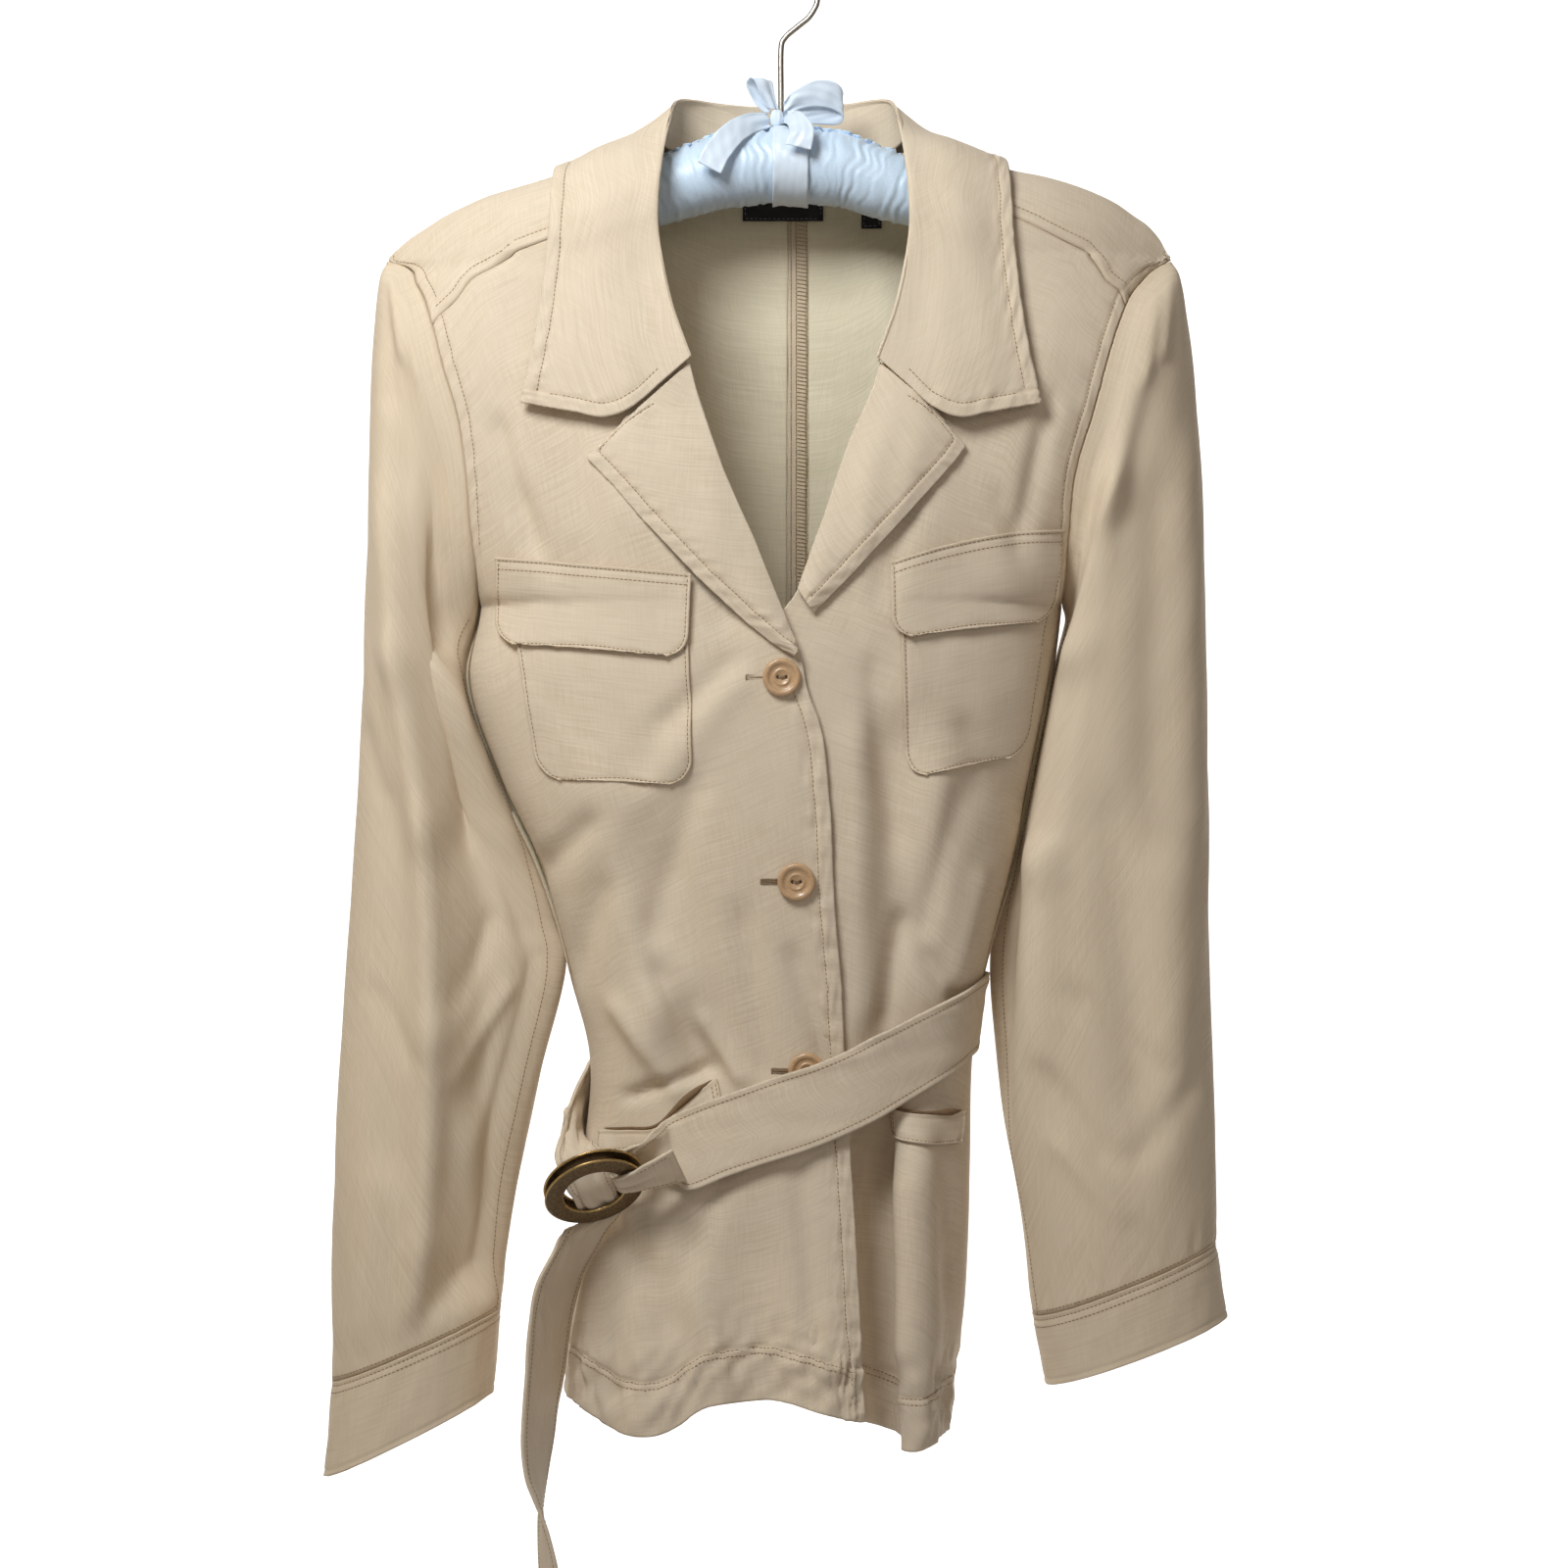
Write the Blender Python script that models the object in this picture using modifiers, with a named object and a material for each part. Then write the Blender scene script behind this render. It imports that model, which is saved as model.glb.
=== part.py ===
"""Safari jacket of slubby linen, hung on a padded hanger with a wire hook.

Sizes are in millimetres. x runs to the viewer's right, y away from the viewer, and
"drop" is the distance below the underside of the hook's crown, which is the origin.
"""

import math

import bpy
import numpy as np

MM = 0.001

# Cloth and gaps
CLOTH = 1.5
TRIM = 1.0
TRIM_LIFT = 0.8
FLAP_CLEAR = 0.8
WELT_LIFT = 2.6
SEAM_GAP = 0.4
LAP = 2.1
UNDER_LAP = 1.0
SIDE_GAP = 0.55
ARM_GAP = 1.3
SIDE_POWER = 2.2
SHOULDER_POWER = 4.0
RIDGE_ROLL = 45.0

# Columns of the panels as shares of the half width, and rows next to the shoulder line
OUTER_COLUMNS = np.array([1, 0.985, 0.95, 0.9, 0.83, 0.75, 0.66, 0.57, 0.48, 0.4])
NECK_COLUMNS = np.array([0.37, 0.345, 0.3, 0.21, 0.11, 0])
FRONT_NECK = 0.36
FORWARD_STEPS = np.array([1.0, 0.62, 0.3, 0.1, 0.02])
BACK_STEPS = np.array([0.0, 0.003, 0.012, 0.027, 0.045, 0.07])

# Lifts above the cloth below: a least one, and how much more in the middle of the fall
COLLAR_LIFT = 3.1
COLLAR_SWELL = 2.8
COLLAR_ROLL_LIFT = 1.2
LAPEL_LIFT = 1.0
LAPEL_SWELL = 3.0
LABEL_LIFT = 1.4
LABEL_CLOTH = 0.6

# Reach over which a trim reads the slope of the cloth, and the mean radius of the belt's round
PROBE = 4.0
BELT_ROUND_RADIUS = 105.0

# Armhole, seen from the side as an upright ellipse
ARM_TOP = 165.5
ARM_LOW = 350.0
ARM_HALF_DEPTH = 36.0

# Body: drop, half width at the viewer's left, at the right, depth of front, depth of back
BODY = np.array([
    (100, 217.0, 215.0, 38, 40),
    (130, 215.0, 213.0, 39, 40),
    (163, 211.5, 209.3, 40, 40),
    (165, 211.5, 209.3, 40, 40),
    (167, 205.0, 205.0, 40, 40),
    (180, 193.5, 190.0, 42, 41),
    (203, 184.0, 178.0, 47, 43),
    (225, 178.0, 171.0, 52, 46),
    (252, 170.0, 163.5, 56, 49),
    (280, 166.0, 155.0, 60, 52),
    (308, 164.0, 152.0, 62, 54),
    (350, 161.0, 150.0, 63, 55),
    (389, 167.0, 144.0, 63, 55),
    (443, 150.0, 133.0, 61, 54),
    (486, 130.0, 124.5, 58, 52),
    (518, 120.0, 116.0, 55, 49),
    (552, 112.0, 108.0, 52, 46),
    (589, 103.0, 103.0, 49, 44),
    (645, 106.0, 101.5, 52, 47),
    (688, 109.0, 100.5, 57, 53),
    (730, 114.0, 98.0, 62, 59),
    (771, 115.5, 92.0, 66, 64),
    (810, 117.0, 89.0, 68, 66),
], dtype=float)

# Shoulder line: fraction of the half width, drop at the left, drop at the right
SHOULDER = np.array([
    (0.00, 99.0, 99.0),
    (0.20, 100.5, 100.5),
    (0.34, 104.5, 103.5),
    (0.47, 113.0, 110.0),
    (0.57, 120.5, 116.5),
    (0.665, 126.5, 120.5),
    (0.735, 131.0, 124.7),
    (0.79, 136.0, 129.0),
    (0.85, 142.0, 135.0),
    (0.89, 147.0, 140.5),
    (0.94, 153.5, 147.5),
    (0.967, 158.0, 153.5),
    (1.00, 165.5, 165.0),
], dtype=float)

# Forward shoulder seam: fraction of the half width, depth below the shoulder line left, right
SHOULDER_SEAM = np.array([
    (0.00, 32.0, 28.0),
    (0.34, 33.0, 28.0),
    (0.59, 38.0, 30.0),
    (0.71, 39.0, 35.5),
    (0.86, 38.5, 37.0),
    (0.93, 41.0, 36.0),
    (1.00, 38.0, 27.0),
], dtype=float)

# Edge of each front towards the middle: drop, x of the left front, x of the right front
FRONT_EDGE = np.array([
    (125, -76.0, 77.0),
    (160, -76.0, 77.0),
    (192, -70.0, 72.0),
    (226, -49.0, 53.0),
    (243, -43.0, 46.5),
    (266, -35.5, 36.0),
    (283, -30.0, 30.0),
    (300, -22.3, 24.5),
    (324, -11.6, 15.8),
    (347, -2.5, 7.6),
    (365, 5.0, -7.0),
    (383, 11.2, -20.0),
    (394, 13.0, -22.0),
    (414, 20.0, -22.0),
    (456, 25.4, -22.0),
    (510, 28.0, -22.0),
    (551, 31.5, -22.0),
    (581, 33.0, -22.0),
    (634, 36.0, -22.0),
    (700, 40.0, -22.0),
    (790, 44.0, -22.0),
], dtype=float)

# Hem of the fronts and of the back: x, drop
FRONT_HEM = np.array([
    (-117, 770), (-105, 773), (-94, 778), (-76, 785), (-57, 783), (-38, 770),
    (-20, 767), (0, 766), (13, 769), (28, 773), (44, 777), (52, 778), (63, 791),
    (72, 794), (82, 792), (90, 789),
], dtype=float)
BACK_HEM = np.array([
    (-117, 770), (-80, 779), (-45, 774), (-10, 778), (30, 775), (65, 782), (90, 789),
], dtype=float)

# Back neck: fraction of the half width, start of the back measured from the shoulder line
BACK_NECK = np.array([
    (0.00, 15.0, 15.0),
    (0.16, 12.5, 12.5),
    (0.27, 6.0, 6.0),
    (0.335, 0.0, 0.0),
    (0.36, -20.0, -18.0),
    (0.39, -33.0, -28.0),
], dtype=float)
CENTRE_BACK = 3.0

# Folds: x and drop of both ends, half width, height outwards
SHARED_FOLDS = (
    (-16, 700, -14, 800, 18, -6),
    (22, 740, 24, 800, 12, 3),
)
LEFT_FOLDS = SHARED_FOLDS + (
    (-62, 500, -36, 590, 20, -7),
    (-96, 455, -70, 560, 18, 6),
    (-60, 560, -86, 600, 16, 5),
    (-76, 720, -78, 800, 17, 7),
    (-120, 215, -104, 320, 22, -4),
)
RIGHT_FOLDS = SHARED_FOLDS + (
    (51, 622, 52, 800, 9, -17),
    (76, 640, 78, 800, 14, 7),
    (60, 430, 57, 575, 13, -7),
    (86, 450, 92, 555, 14, 5),
    (112, 215, 96, 320, 22, -4),
)
BACK_FOLDS = (
    (-60, 420, -52, 780, 20, 6),
    (-20, 600, -24, 790, 18, -6),
    (45, 420, 48, 780, 22, 6),
    (14, 620, 16, 790, 14, -4),
    (-96, 230, -80, 420, 24, -5),
    (92, 230, 78, 420, 24, -5),
)

# Sleeves: outer x, outer drop, inner x, inner drop, y of the middle, half depth,
# and how much of the armhole's own curve is left
LEFT_SLEEVE = np.array([
    (-211.5, 165.5, -161.0, 350.0, 0, 36, 1.0),
    (-215.5, 175.0, -163.5, 361.0, 2, 39, 0.55),
    (-219.0, 205.0, -168.5, 386.0, 6, 43, 0.3),
    (-221.0, 250.0, -164.5, 411.0, 9, 45, 0.15),
    (-222.5, 310.0, -151.5, 443.0, 11, 46, 0.04),
    (-225.0, 375.0, -141.0, 467.0, 12, 45, 0),
    (-228.0, 440.0, -130.5, 490.0, 12, 44, 0),
    (-231.5, 500.0, -120.5, 521.0, 10, 43, 0),
    (-235.0, 560.0, -116.0, 546.0, 7, 42, 0),
    (-238.0, 615.0, -128.0, 598.0, 4, 41, 0),
    (-240.0, 665.0, -141.0, 655.0, 2, 39, 0),
    (-240.5, 715.0, -147.0, 695.0, 0, 38, 0),
    (-240.5, 765.0, -150.5, 726.0, 0, 37, 0),
], dtype=float)
RIGHT_SLEEVE = np.array([
    (209.3, 165.5, 150.0, 350.0, 0, 36, 1.0),
    (214.5, 175.0, 152.5, 361.0, 2, 39, 0.55),
    (220.0, 205.0, 146.5, 386.0, 6, 43, 0.3),
    (224.5, 250.0, 141.0, 413.0, 9, 45, 0.15),
    (227.5, 310.0, 134.5, 444.0, 11, 46, 0.04),
    (229.0, 375.0, 129.0, 470.0, 12, 45, 0),
    (230.0, 435.0, 122.0, 495.0, 12, 44, 0),
    (230.5, 490.0, 114.5, 524.0, 10, 43, 0),
    (231.0, 545.0, 112.5, 552.0, 8, 42, 0),
    (232.0, 600.0, 116.0, 590.0, 5, 41, 0),
    (233.0, 635.0, 120.5, 630.0, 2, 39, 0),
    (233.5, 662.0, 128.5, 676.0, 0, 38, 0),
    (233.0, 691.0, 135.2, 730.0, 0, 37, 0),
], dtype=float)
LEFT_CUFF_END = (-245.0, 816.0, -154.0, 771.0, 0, 37, 0)
RIGHT_CUFF_END = (239.3, 730.0, 141.5, 767.0, 0, 37, 0)

# Collar stations from the viewer's left end to the middle of the back:
# neck seam x, y, drop; roll x, y, drop; outer edge x, y, drop; dip of the lower edge
COLLAR = np.array([
    (-50, -56, 226, -49, -58, 224, -136, -50, 247, 23),
    (-58, -51, 210, -55, -55, 207, -132, -47, 228, 8),
    (-67.5, -45, 192, -60, -51, 190, -128, -44, 207, 0),
    (-73, -35, 160, -66, -43, 156, -124, -36, 175, 0),
    (-73.5, -27, 133, -65, -33, 125, -122, -27, 150, 0),
    (-70, -12, 100.5, -61, -14, 92, -120, -6, 120, 0),
    (-62, 14, 102, -56, 10, 77, -112, 22, 131, 0),
    (-40, 26.5, 109.5, -38, 25, 76, -76, 42, 146, 0),
    (-20, 29.5, 112, -18, 30, 77, -36, 47, 153, 0),
    (0, 30.5, 112.6, 0, 31, 77, 0, 48, 155, 0),
], dtype=float)
COLLAR_MIDDLE = 1.5

# Lapels: roll x, roll drop, outer x, outer drop
LEFT_LAPEL = np.array([
    (-47.5, 226.5, -84.0, 259.5),
    (-43.3, 243.0, -101.3, 276.0),
    (-36.0, 265.0, -87.0, 291.0),
    (-29.6, 283.0, -73.3, 307.0),
    (-21.0, 303.0, -57.5, 323.5),
    (-13.3, 320.0, -43.3, 338.6),
    (-3.2, 345.5, -18.8, 361.5),
    (5.0, 365.5, -3.0, 374.0),
    (9.5, 376.5, 7.0, 379.5),
], dtype=float)
RIGHT_LAPEL = np.array([
    (51.5, 226.0, 81.0, 252.0),
    (48.3, 238.0, 96.4, 270.0),
    (42.5, 252.0, 91.0, 277.5),
    (36.2, 266.0, 80.0, 290.0),
    (25.2, 298.5, 55.0, 317.5),
    (16.0, 324.0, 33.0, 341.0),
    (8.5, 345.0, 16.8, 357.0),
], dtype=float)

# Chest pockets and flaps: corners as x, drop, then the raise of the top edge's middle
LEFT_FLAP = ((-150, 327), (-46.7, 337), (-151, 371), (-48.5, 380), 0)
RIGHT_FLAP = ((57.3, 331), (150, 312.5), (58, 370), (145.5, 359), 4)
LEFT_POCKET = ((-144, 339), (-49, 348), (-128, 443), (-45.5, 446), 0)
RIGHT_POCKET = ((62, 342), (147, 325), (65, 443), (131, 430), 0)
FLAP_CORNER = 12.0
POCKET_CORNER = 15.0
LEFT_WELT = ((-96, 620), (-34, 600), (-94, 634), (-31, 612), 0)
RIGHT_WELT = ((56, 616), (98.5, 619.5), (57, 631), (97, 636), 0)

# Buttons: x, drop
BUTTONS = ((0.5, 390.7), (8.1, 496.7), (13.7, 596.0))
BUTTON_RADIUS = 9.9
BUTTON_PROFILE = (
    (0.0, 0.3), (8.2, 0.3), (9.4, 0.8), (9.9, 1.7), (9.5, 2.8), (8.4, 3.4),
    (7.2, 3.1), (6.2, 2.3), (0.0, 2.1),
)
BUTTON_HOLE_RADIUS = 1.0
BUTTON_HOLE_PITCH = 1.9

# Belt
BELT_WIDTH = 40.0
BELT_CLOTH = 1.9
BELT_LIFT = 5.6
BELT_SIDE_LIFT = 2.4
BELT_BACK_LIFT = 1.4
BELT_CLEAR = 2.6
# Run round the body: turn from the front's middle in degrees, drop of the belt's middle
BELT_ROUND = np.array([
    (-27, 639), (-22, 635), (-7, 624.5), (6, 615), (18, 606), (36, 591), (60, 576),
    (90, 567), (120, 571), (150, 580), (180, 590), (210, 600), (240, 609), (266, 618),
], dtype=float)
# Hanging tail: x, y, drop, turn of the width from +x in degrees, width
BELT_TAIL = np.array([
    (-103, -44, 681, 35, 28), (-108, -43, 691, 50, 35), (-116, -42, 706, 58, 40),
    (-121, -41, 728, 60, 40), (-124, -40, 756, 62, 40), (-127, -40, 783, 70, 40),
    (-128, -40, 805, 95, 38), (-126.5, -40, 820, 140, 34), (-125, -40, 835, 165, 34),
    (-122.5, -39, 855, 150, 38), (-120, -38, 878, 135, 40), (-118, -37, 900, 128, 40),
], dtype=float)

# Rings of the belt
RING_CENTRE = (-96.5, -66.0, 656.9)
RING_OUTER = 26.5
RING_INNER = 16.5
RING_THICK = 2.0
RING_PITCH = 6.2
RING_SLOPE = math.radians(20)
RING_TILT = math.radians(50)
LOOP_PATH = (
    (46, 2.6, 30), (38, 2.8, 27), (30, 3.0, 23), (22, 2.9, 18), (16.4, 2.5, 15),
    (13.2, 1.2, 14), (12.4, -1.5, 14), (12.4, -4.8, 14), (13.4, -7.8, 14),
    (16.6, -9.4, 15), (23, -9.8, 20), (31, -9.6, 26),
)
THREAD_PATH = (
    (-1.5, 12, -17, 24), (-1.5, 7, -12.5, 22), (-1.5, 2, -8, 22), (-1.5, -4, -4.6, 22),
    (-1.5, -11, -3.1, 22), (-1.5, -19, -3.1, 22), (-2, -28, -3.1, 22),
)

# Hanger: x, drop, radius of the padded bar
PAD = np.array([
    (-190, 173.5, 4), (-187, 172.5, 7), (-178, 168, 10), (-165, 161.5, 12.5), (-148, 154.5, 15),
    (-120, 143.5, 18), (-92, 134.7, 18.1), (-78, 133.0, 16.4), (-64, 128.6, 18.1), (-34, 118, 20.3),
    (0, 114, 20.3),
    (34, 117, 20.3), (64, 128.1, 18.3), (78, 132.2, 16.7), (92, 134, 18.3), (120, 142, 18),
    (148, 151.5, 15), (165, 158, 12.5), (178, 164, 10), (187, 168.5, 7), (190, 169.5, 4),
], dtype=float)
HOOK_WIRE_RADIUS = 1.6
HOOK_RADIUS = 20.5
STEM_PATH = ((0, 91.8), (0, 75), (0, 52), (2.2, 45.5), (9, 39.5), (15, 34.5), (18.7, 28.5))
HOOK_ARC = (-18, 208)
BAND_X = (-4.5, 14.5)
RIBBON = 0.7
LABEL = (-21, 23, 118, 138)
TAB = (44, 55, 127, 142)

LINEN = (0.70, 0.60, 0.43)
SATIN = (0.83, 0.85, 0.88)
BLACK = (0.012, 0.012, 0.014)
SAND = (0.62, 0.43, 0.24)
BRONZE = (0.16, 0.11, 0.055)
WIRE = (0.62, 0.58, 0.50)


def clear_scene():
    for thing in list(bpy.data.objects):
        bpy.data.objects.remove(thing, do_unlink=True)


def new_collection(name, hidden=False):
    group = bpy.data.collections.new(name)
    group.hide_render = hidden
    bpy.context.scene.collection.children.link(group)
    return group


def material(name, colour, roughness, metallic=0.0):
    made = bpy.data.materials.new(name)
    made.use_nodes = True
    shader = made.node_tree.nodes["Principled BSDF"]
    shader.inputs["Base Color"].default_value = (*colour, 1.0)
    shader.inputs["Roughness"].default_value = roughness
    shader.inputs["Metallic"].default_value = metallic
    return made


def smooth(table, x, column=1):
    """Cubic curve through a table's column, held level past its ends."""
    xs = table[:, 0]
    ys = table[:, column]
    slopes = np.gradient(ys, xs)
    x = np.clip(np.asarray(x, float), xs[0], xs[-1])
    i = np.clip(np.searchsorted(xs, x) - 1, 0, len(xs) - 2)
    step = xs[i + 1] - xs[i]
    t = (x - xs[i]) / step
    return (
        ys[i] * (1 + 2 * t) * (1 - t) ** 2
        + ys[i + 1] * t**2 * (3 - 2 * t)
        + step * t * (1 - t) * (slopes[i] * (1 - t) - slopes[i + 1] * t)
    )


def ease(x):
    x = np.clip(x, 0.0, 1.0)
    return x * x * (3 - 2 * x)


def shoulder_drop(f):
    return np.where(f < 0, smooth(SHOULDER, np.abs(f), 1), smooth(SHOULDER, np.abs(f), 2))


def half_width(f, drop):
    return np.where(f < 0, smooth(BODY, drop, 1), smooth(BODY, drop, 2))


def fold_height(folds, x, drop):
    """Sum of soft ridges and troughs, each fading out past its two ends."""
    total = np.zeros_like(np.asarray(x, float))
    for x0, d0, x1, d1, width, height in folds:
        length = math.hypot(x1 - x0, d1 - d0)
        ux, ud = (x1 - x0) / length, (d1 - d0) / length
        along = (x - x0) * ux + (drop - d0) * ud
        across = (x - x0) * ud - (drop - d0) * ux
        past = np.maximum(np.maximum(-along, along - length), 0) / (1.6 * width)
        total += height * np.exp(-((across / width) ** 2) - past**2)
    return total


def body_depth(f, drop, below, folds, column):
    """Depth of the cloth from the shoulder plane at a fraction of the width and a drop."""
    off = (drop - (ARM_TOP + ARM_LOW) / 2) / ((ARM_LOW - ARM_TOP) / 2)
    edge = ARM_HALF_DEPTH * np.sqrt(np.clip(1 - off**2, 0, None))
    q = np.clip(np.abs(f), 0, 1)
    low = ease((drop - 300) / 80)
    across = (1 - low) * (1 - q**SHOULDER_POWER)
    across = across + low * (1 - q**SIDE_POWER) ** (1 / SIDE_POWER)
    roll = np.sqrt(1 - (1 - np.clip(below / RIDGE_ROLL, 0, 1)) ** 2)
    middle = smooth(BODY, drop, column)
    fold = fold_height(folds, f * half_width(f, drop), drop) * (1 - q**6) * (roll**3)
    return roll * (edge + (middle - edge) * across) + fold


def front_depth(x, drop, side):
    """Depth of a front's outer face; the left front lies over the right one."""
    f = x / half_width(x, drop)
    below = drop - shoulder_drop(f)
    if side < 0:
        return body_depth(f, drop, below, LEFT_FOLDS, 3) + LAP * ease((x + 72) / 40)
    own = body_depth(f, drop, below, RIGHT_FOLDS, 3)
    under = body_depth(f, drop, below, LEFT_FOLDS, 3) - UNDER_LAP
    return np.where(x < 46, own + (np.minimum(own, under) - own) * ease((46 - x) / 12), own)


def back_depth(x, drop):
    f = x / half_width(x, drop)
    return body_depth(f, drop, drop - shoulder_drop(f), BACK_FOLDS, 4)


def facing_out(points, faces, inside):
    """The faces, all turned round if most of their area looks towards the inside points."""
    corners = points[faces]
    normals = np.cross(corners[:, 2] - corners[:, 0], corners[:, 3] - corners[:, 1])
    outward = (normals * (corners.mean(axis=1) - inside)).sum()
    return faces if outward > 0 else faces[:, ::-1]


def mesh_object(name, grid, group, look, closed=False, thickness=CLOTH, offset=-1.0):
    """Open sheet or tube from rows of points, given its thickness by a Solidify modifier."""
    grid = np.asarray(grid, float) * (MM, MM, -MM)
    rows, columns = grid.shape[:2]
    points = grid.reshape(-1, 3)
    i, j = np.meshgrid(np.arange(rows - 1), np.arange(columns if closed else columns - 1), indexing="ij")
    after = (j + 1) % columns
    faces = [i * columns + j, (i + 1) * columns + j, (i + 1) * columns + after, i * columns + after]
    faces = np.stack(faces, -1).reshape(-1, 4)
    if closed:
        inside = np.repeat(grid.mean(axis=1)[:-1], columns, axis=0)
    else:
        inside = points[faces].mean(axis=1) * (1, 0, 1)
    faces = facing_out(points, faces, inside)
    mesh = bpy.data.meshes.new(name)
    mesh.from_pydata(points.tolist(), [], faces.tolist())
    mesh.materials.append(look)
    mesh.shade_smooth()
    made = bpy.data.objects.new(name, mesh)
    group.objects.link(made)
    wall = made.modifiers.new("wall", "SOLIDIFY")
    wall.thickness = thickness * MM
    wall.offset = offset
    wall.use_even_offset = True
    return made


def with_y(x, drop, y):
    return np.stack([x, y, drop], -1)


def front_panel(side, rows=26):
    """Front from the forward shoulder seam to the hem, bounded by the neck, roll and closing edge."""
    share = np.append((1 - OUTER_COLUMNS) / (1 - FRONT_NECK), 1.0)[None, :]
    down = np.linspace(0, 1, rows)[:, None] ** 1.05
    f = side * (1 - 0.65 * share) * np.ones_like(down)
    column = 1 if side < 0 else 2
    for _ in range(12):
        top = shoulder_drop(f) + smooth(SHOULDER_SEAM, np.abs(f), column) + SEAM_GAP
        drop = top * (1 - down)
        hem = smooth(FRONT_HEM, f * half_width(f, drop + 700 * down))
        drop = drop + hem * down
        inner = smooth(FRONT_EDGE, drop[:, -1:], column)
        limit = inner / half_width(inner, drop[:, -1:])
        f = side + (limit - side) * share
    x = f * half_width(f, drop)
    return with_y(x, drop, np.minimum(-front_depth(x, drop, side), -SIDE_GAP))


def back_panel(side, rows=25):
    """Back from the forward shoulder seam over the shoulder line and down to the hem."""
    inner = CENTRE_BACK / half_width(CENTRE_BACK, 400.0)
    across = np.concatenate([OUTER_COLUMNS, NECK_COLUMNS])
    share = np.linspace(0, 1, len(across))
    f = (side * across + inner * share**8)[None, :]
    column = 1 if side < 0 else 2
    seam = -smooth(SHOULDER_SEAM, np.abs(f), column) + SEAM_GAP
    neck = np.interp(np.abs(f), BACK_NECK[:, 0], BACK_NECK[:, column])
    start = np.where(np.abs(f) < BACK_NECK[-1, 0], neck, seam)
    turned = start < 0
    settle = 0.9 * np.arange(len(FORWARD_STEPS))[:, None]
    before = np.where(turned, start * FORWARD_STEPS[:, None], start + settle)
    first = np.where(turned, 0.0, start + 0.9 * len(FORWARD_STEPS))
    steps = np.concatenate([BACK_STEPS, np.linspace(0.1, 1, rows - len(BACK_STEPS))])[:, None]
    hem = smooth(BACK_HEM, f * half_width(f, 760.0)) - shoulder_drop(f)
    below = np.concatenate([before, first + (hem - first) * steps])
    drop = shoulder_drop(f) + np.abs(below)
    x = f * half_width(f, drop)
    folds = LEFT_FOLDS if side < 0 else RIGHT_FOLDS
    y_front = -body_depth(f, drop, np.abs(below), folds, 3)
    y_back = body_depth(f, drop, np.abs(below), BACK_FOLDS, 4)
    y = np.where(below < 0, y_front, y_back)
    lower = len(FORWARD_STEPS) + 1
    y[lower:] = np.maximum(y[lower:], SIDE_GAP)
    return with_y(x + side * SEAM_GAP * share**20, drop, y)


def armhole(side, turn):
    """The body's edge at the sleeve, from the shoulder tip round the front to the underarm and up the back."""
    drop = (ARM_TOP + ARM_LOW) / 2 - (ARM_LOW - ARM_TOP) / 2 * np.cos(turn)
    f = np.full_like(turn, float(side))
    below = drop - shoulder_drop(f)
    front = -body_depth(f, drop, below, (), 3)
    back = body_depth(f, drop, below, (), 4)
    return with_y(f * half_width(f, drop), drop, np.where(turn <= math.pi, front, back))


def sleeve_ring(row, turn):
    outer_x, outer_drop, inner_x, inner_drop, middle, half_depth, _ = row
    c = np.sign(np.cos(turn)) * np.abs(np.cos(turn)) ** (2 / SIDE_POWER)
    s = np.sign(np.sin(turn)) * np.abs(np.sin(turn)) ** (2 / SIDE_POWER)
    x = (outer_x + inner_x) / 2 + (outer_x - inner_x) / 2 * c
    drop = (outer_drop + inner_drop) / 2 + (outer_drop - inner_drop) / 2 * c
    return with_y(x, drop, middle - half_depth * s)


def sleeve(side, table, around=20):
    turn = np.arange(around) / around * 2 * math.pi
    own = armhole(side, turn) + (side * ARM_GAP, 0, 0)
    first = sleeve_ring(table[0], turn)
    kept = 0.25 + 0.75 * np.sin(turn)[:, None] ** 2
    rings = [own] + [sleeve_ring(row, turn) + row[6] * kept * (own - first) for row in table[1:]]
    return np.array(rings)


def cuff(table, end, around=20):
    turn = np.arange(around) / around * 2 * math.pi
    top = np.array(table[-1]) + (0, 0.4, 0, 0.4, 0, 0.6, 0)
    bottom = np.array(end) + (0, 0, 0, 0, 0, 0.6, 0)
    return np.array([sleeve_ring(top + (bottom - top) * t, turn) for t in (0, 0.5, 1)])


def push_out(points, lift):
    """Moves points out from the shoulder and body until they stand clear by the given lift."""
    x, y, drop = points[..., 0], points[..., 1], points[..., 2]
    f = np.clip(x / half_width(x, drop), -1, 1)
    ridge = shoulder_drop(f)
    pivot = np.maximum(drop, ridge + 30)
    direction = np.stack([y, drop - pivot], -1)
    length = np.maximum(np.hypot(direction[..., 0], direction[..., 1]), 1e-6)
    unit = direction / length[..., None]
    low, high = np.zeros_like(length), np.full_like(length, 120.0)
    for _ in range(24):
        r = (low + high) / 2
        py = unit[..., 0] * r
        pd = pivot + unit[..., 1] * r
        f_here = np.clip(x / half_width(x, pd), -1, 1)
        below = pd - shoulder_drop(f_here)
        depth = np.where(
            py < 0,
            np.maximum(body_depth(f_here, pd, below, LEFT_FOLDS, 3), body_depth(f_here, pd, below, RIGHT_FOLDS, 3))
            + LAP * ease((x + 72) / 40) * (x < 30),
            body_depth(f_here, pd, below, BACK_FOLDS, 4),
        )
        inside = (below > 0) & (np.abs(py) < depth)
        low = np.where(inside, r, low)
        high = np.where(inside, high, r)
    wanted = low + lift
    soft = 1.5
    reach = (length + wanted + np.sqrt((length - wanted) ** 2 + soft**2)) / 2
    return with_y(x, pivot + unit[..., 1] * reach, unit[..., 0] * reach)


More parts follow.
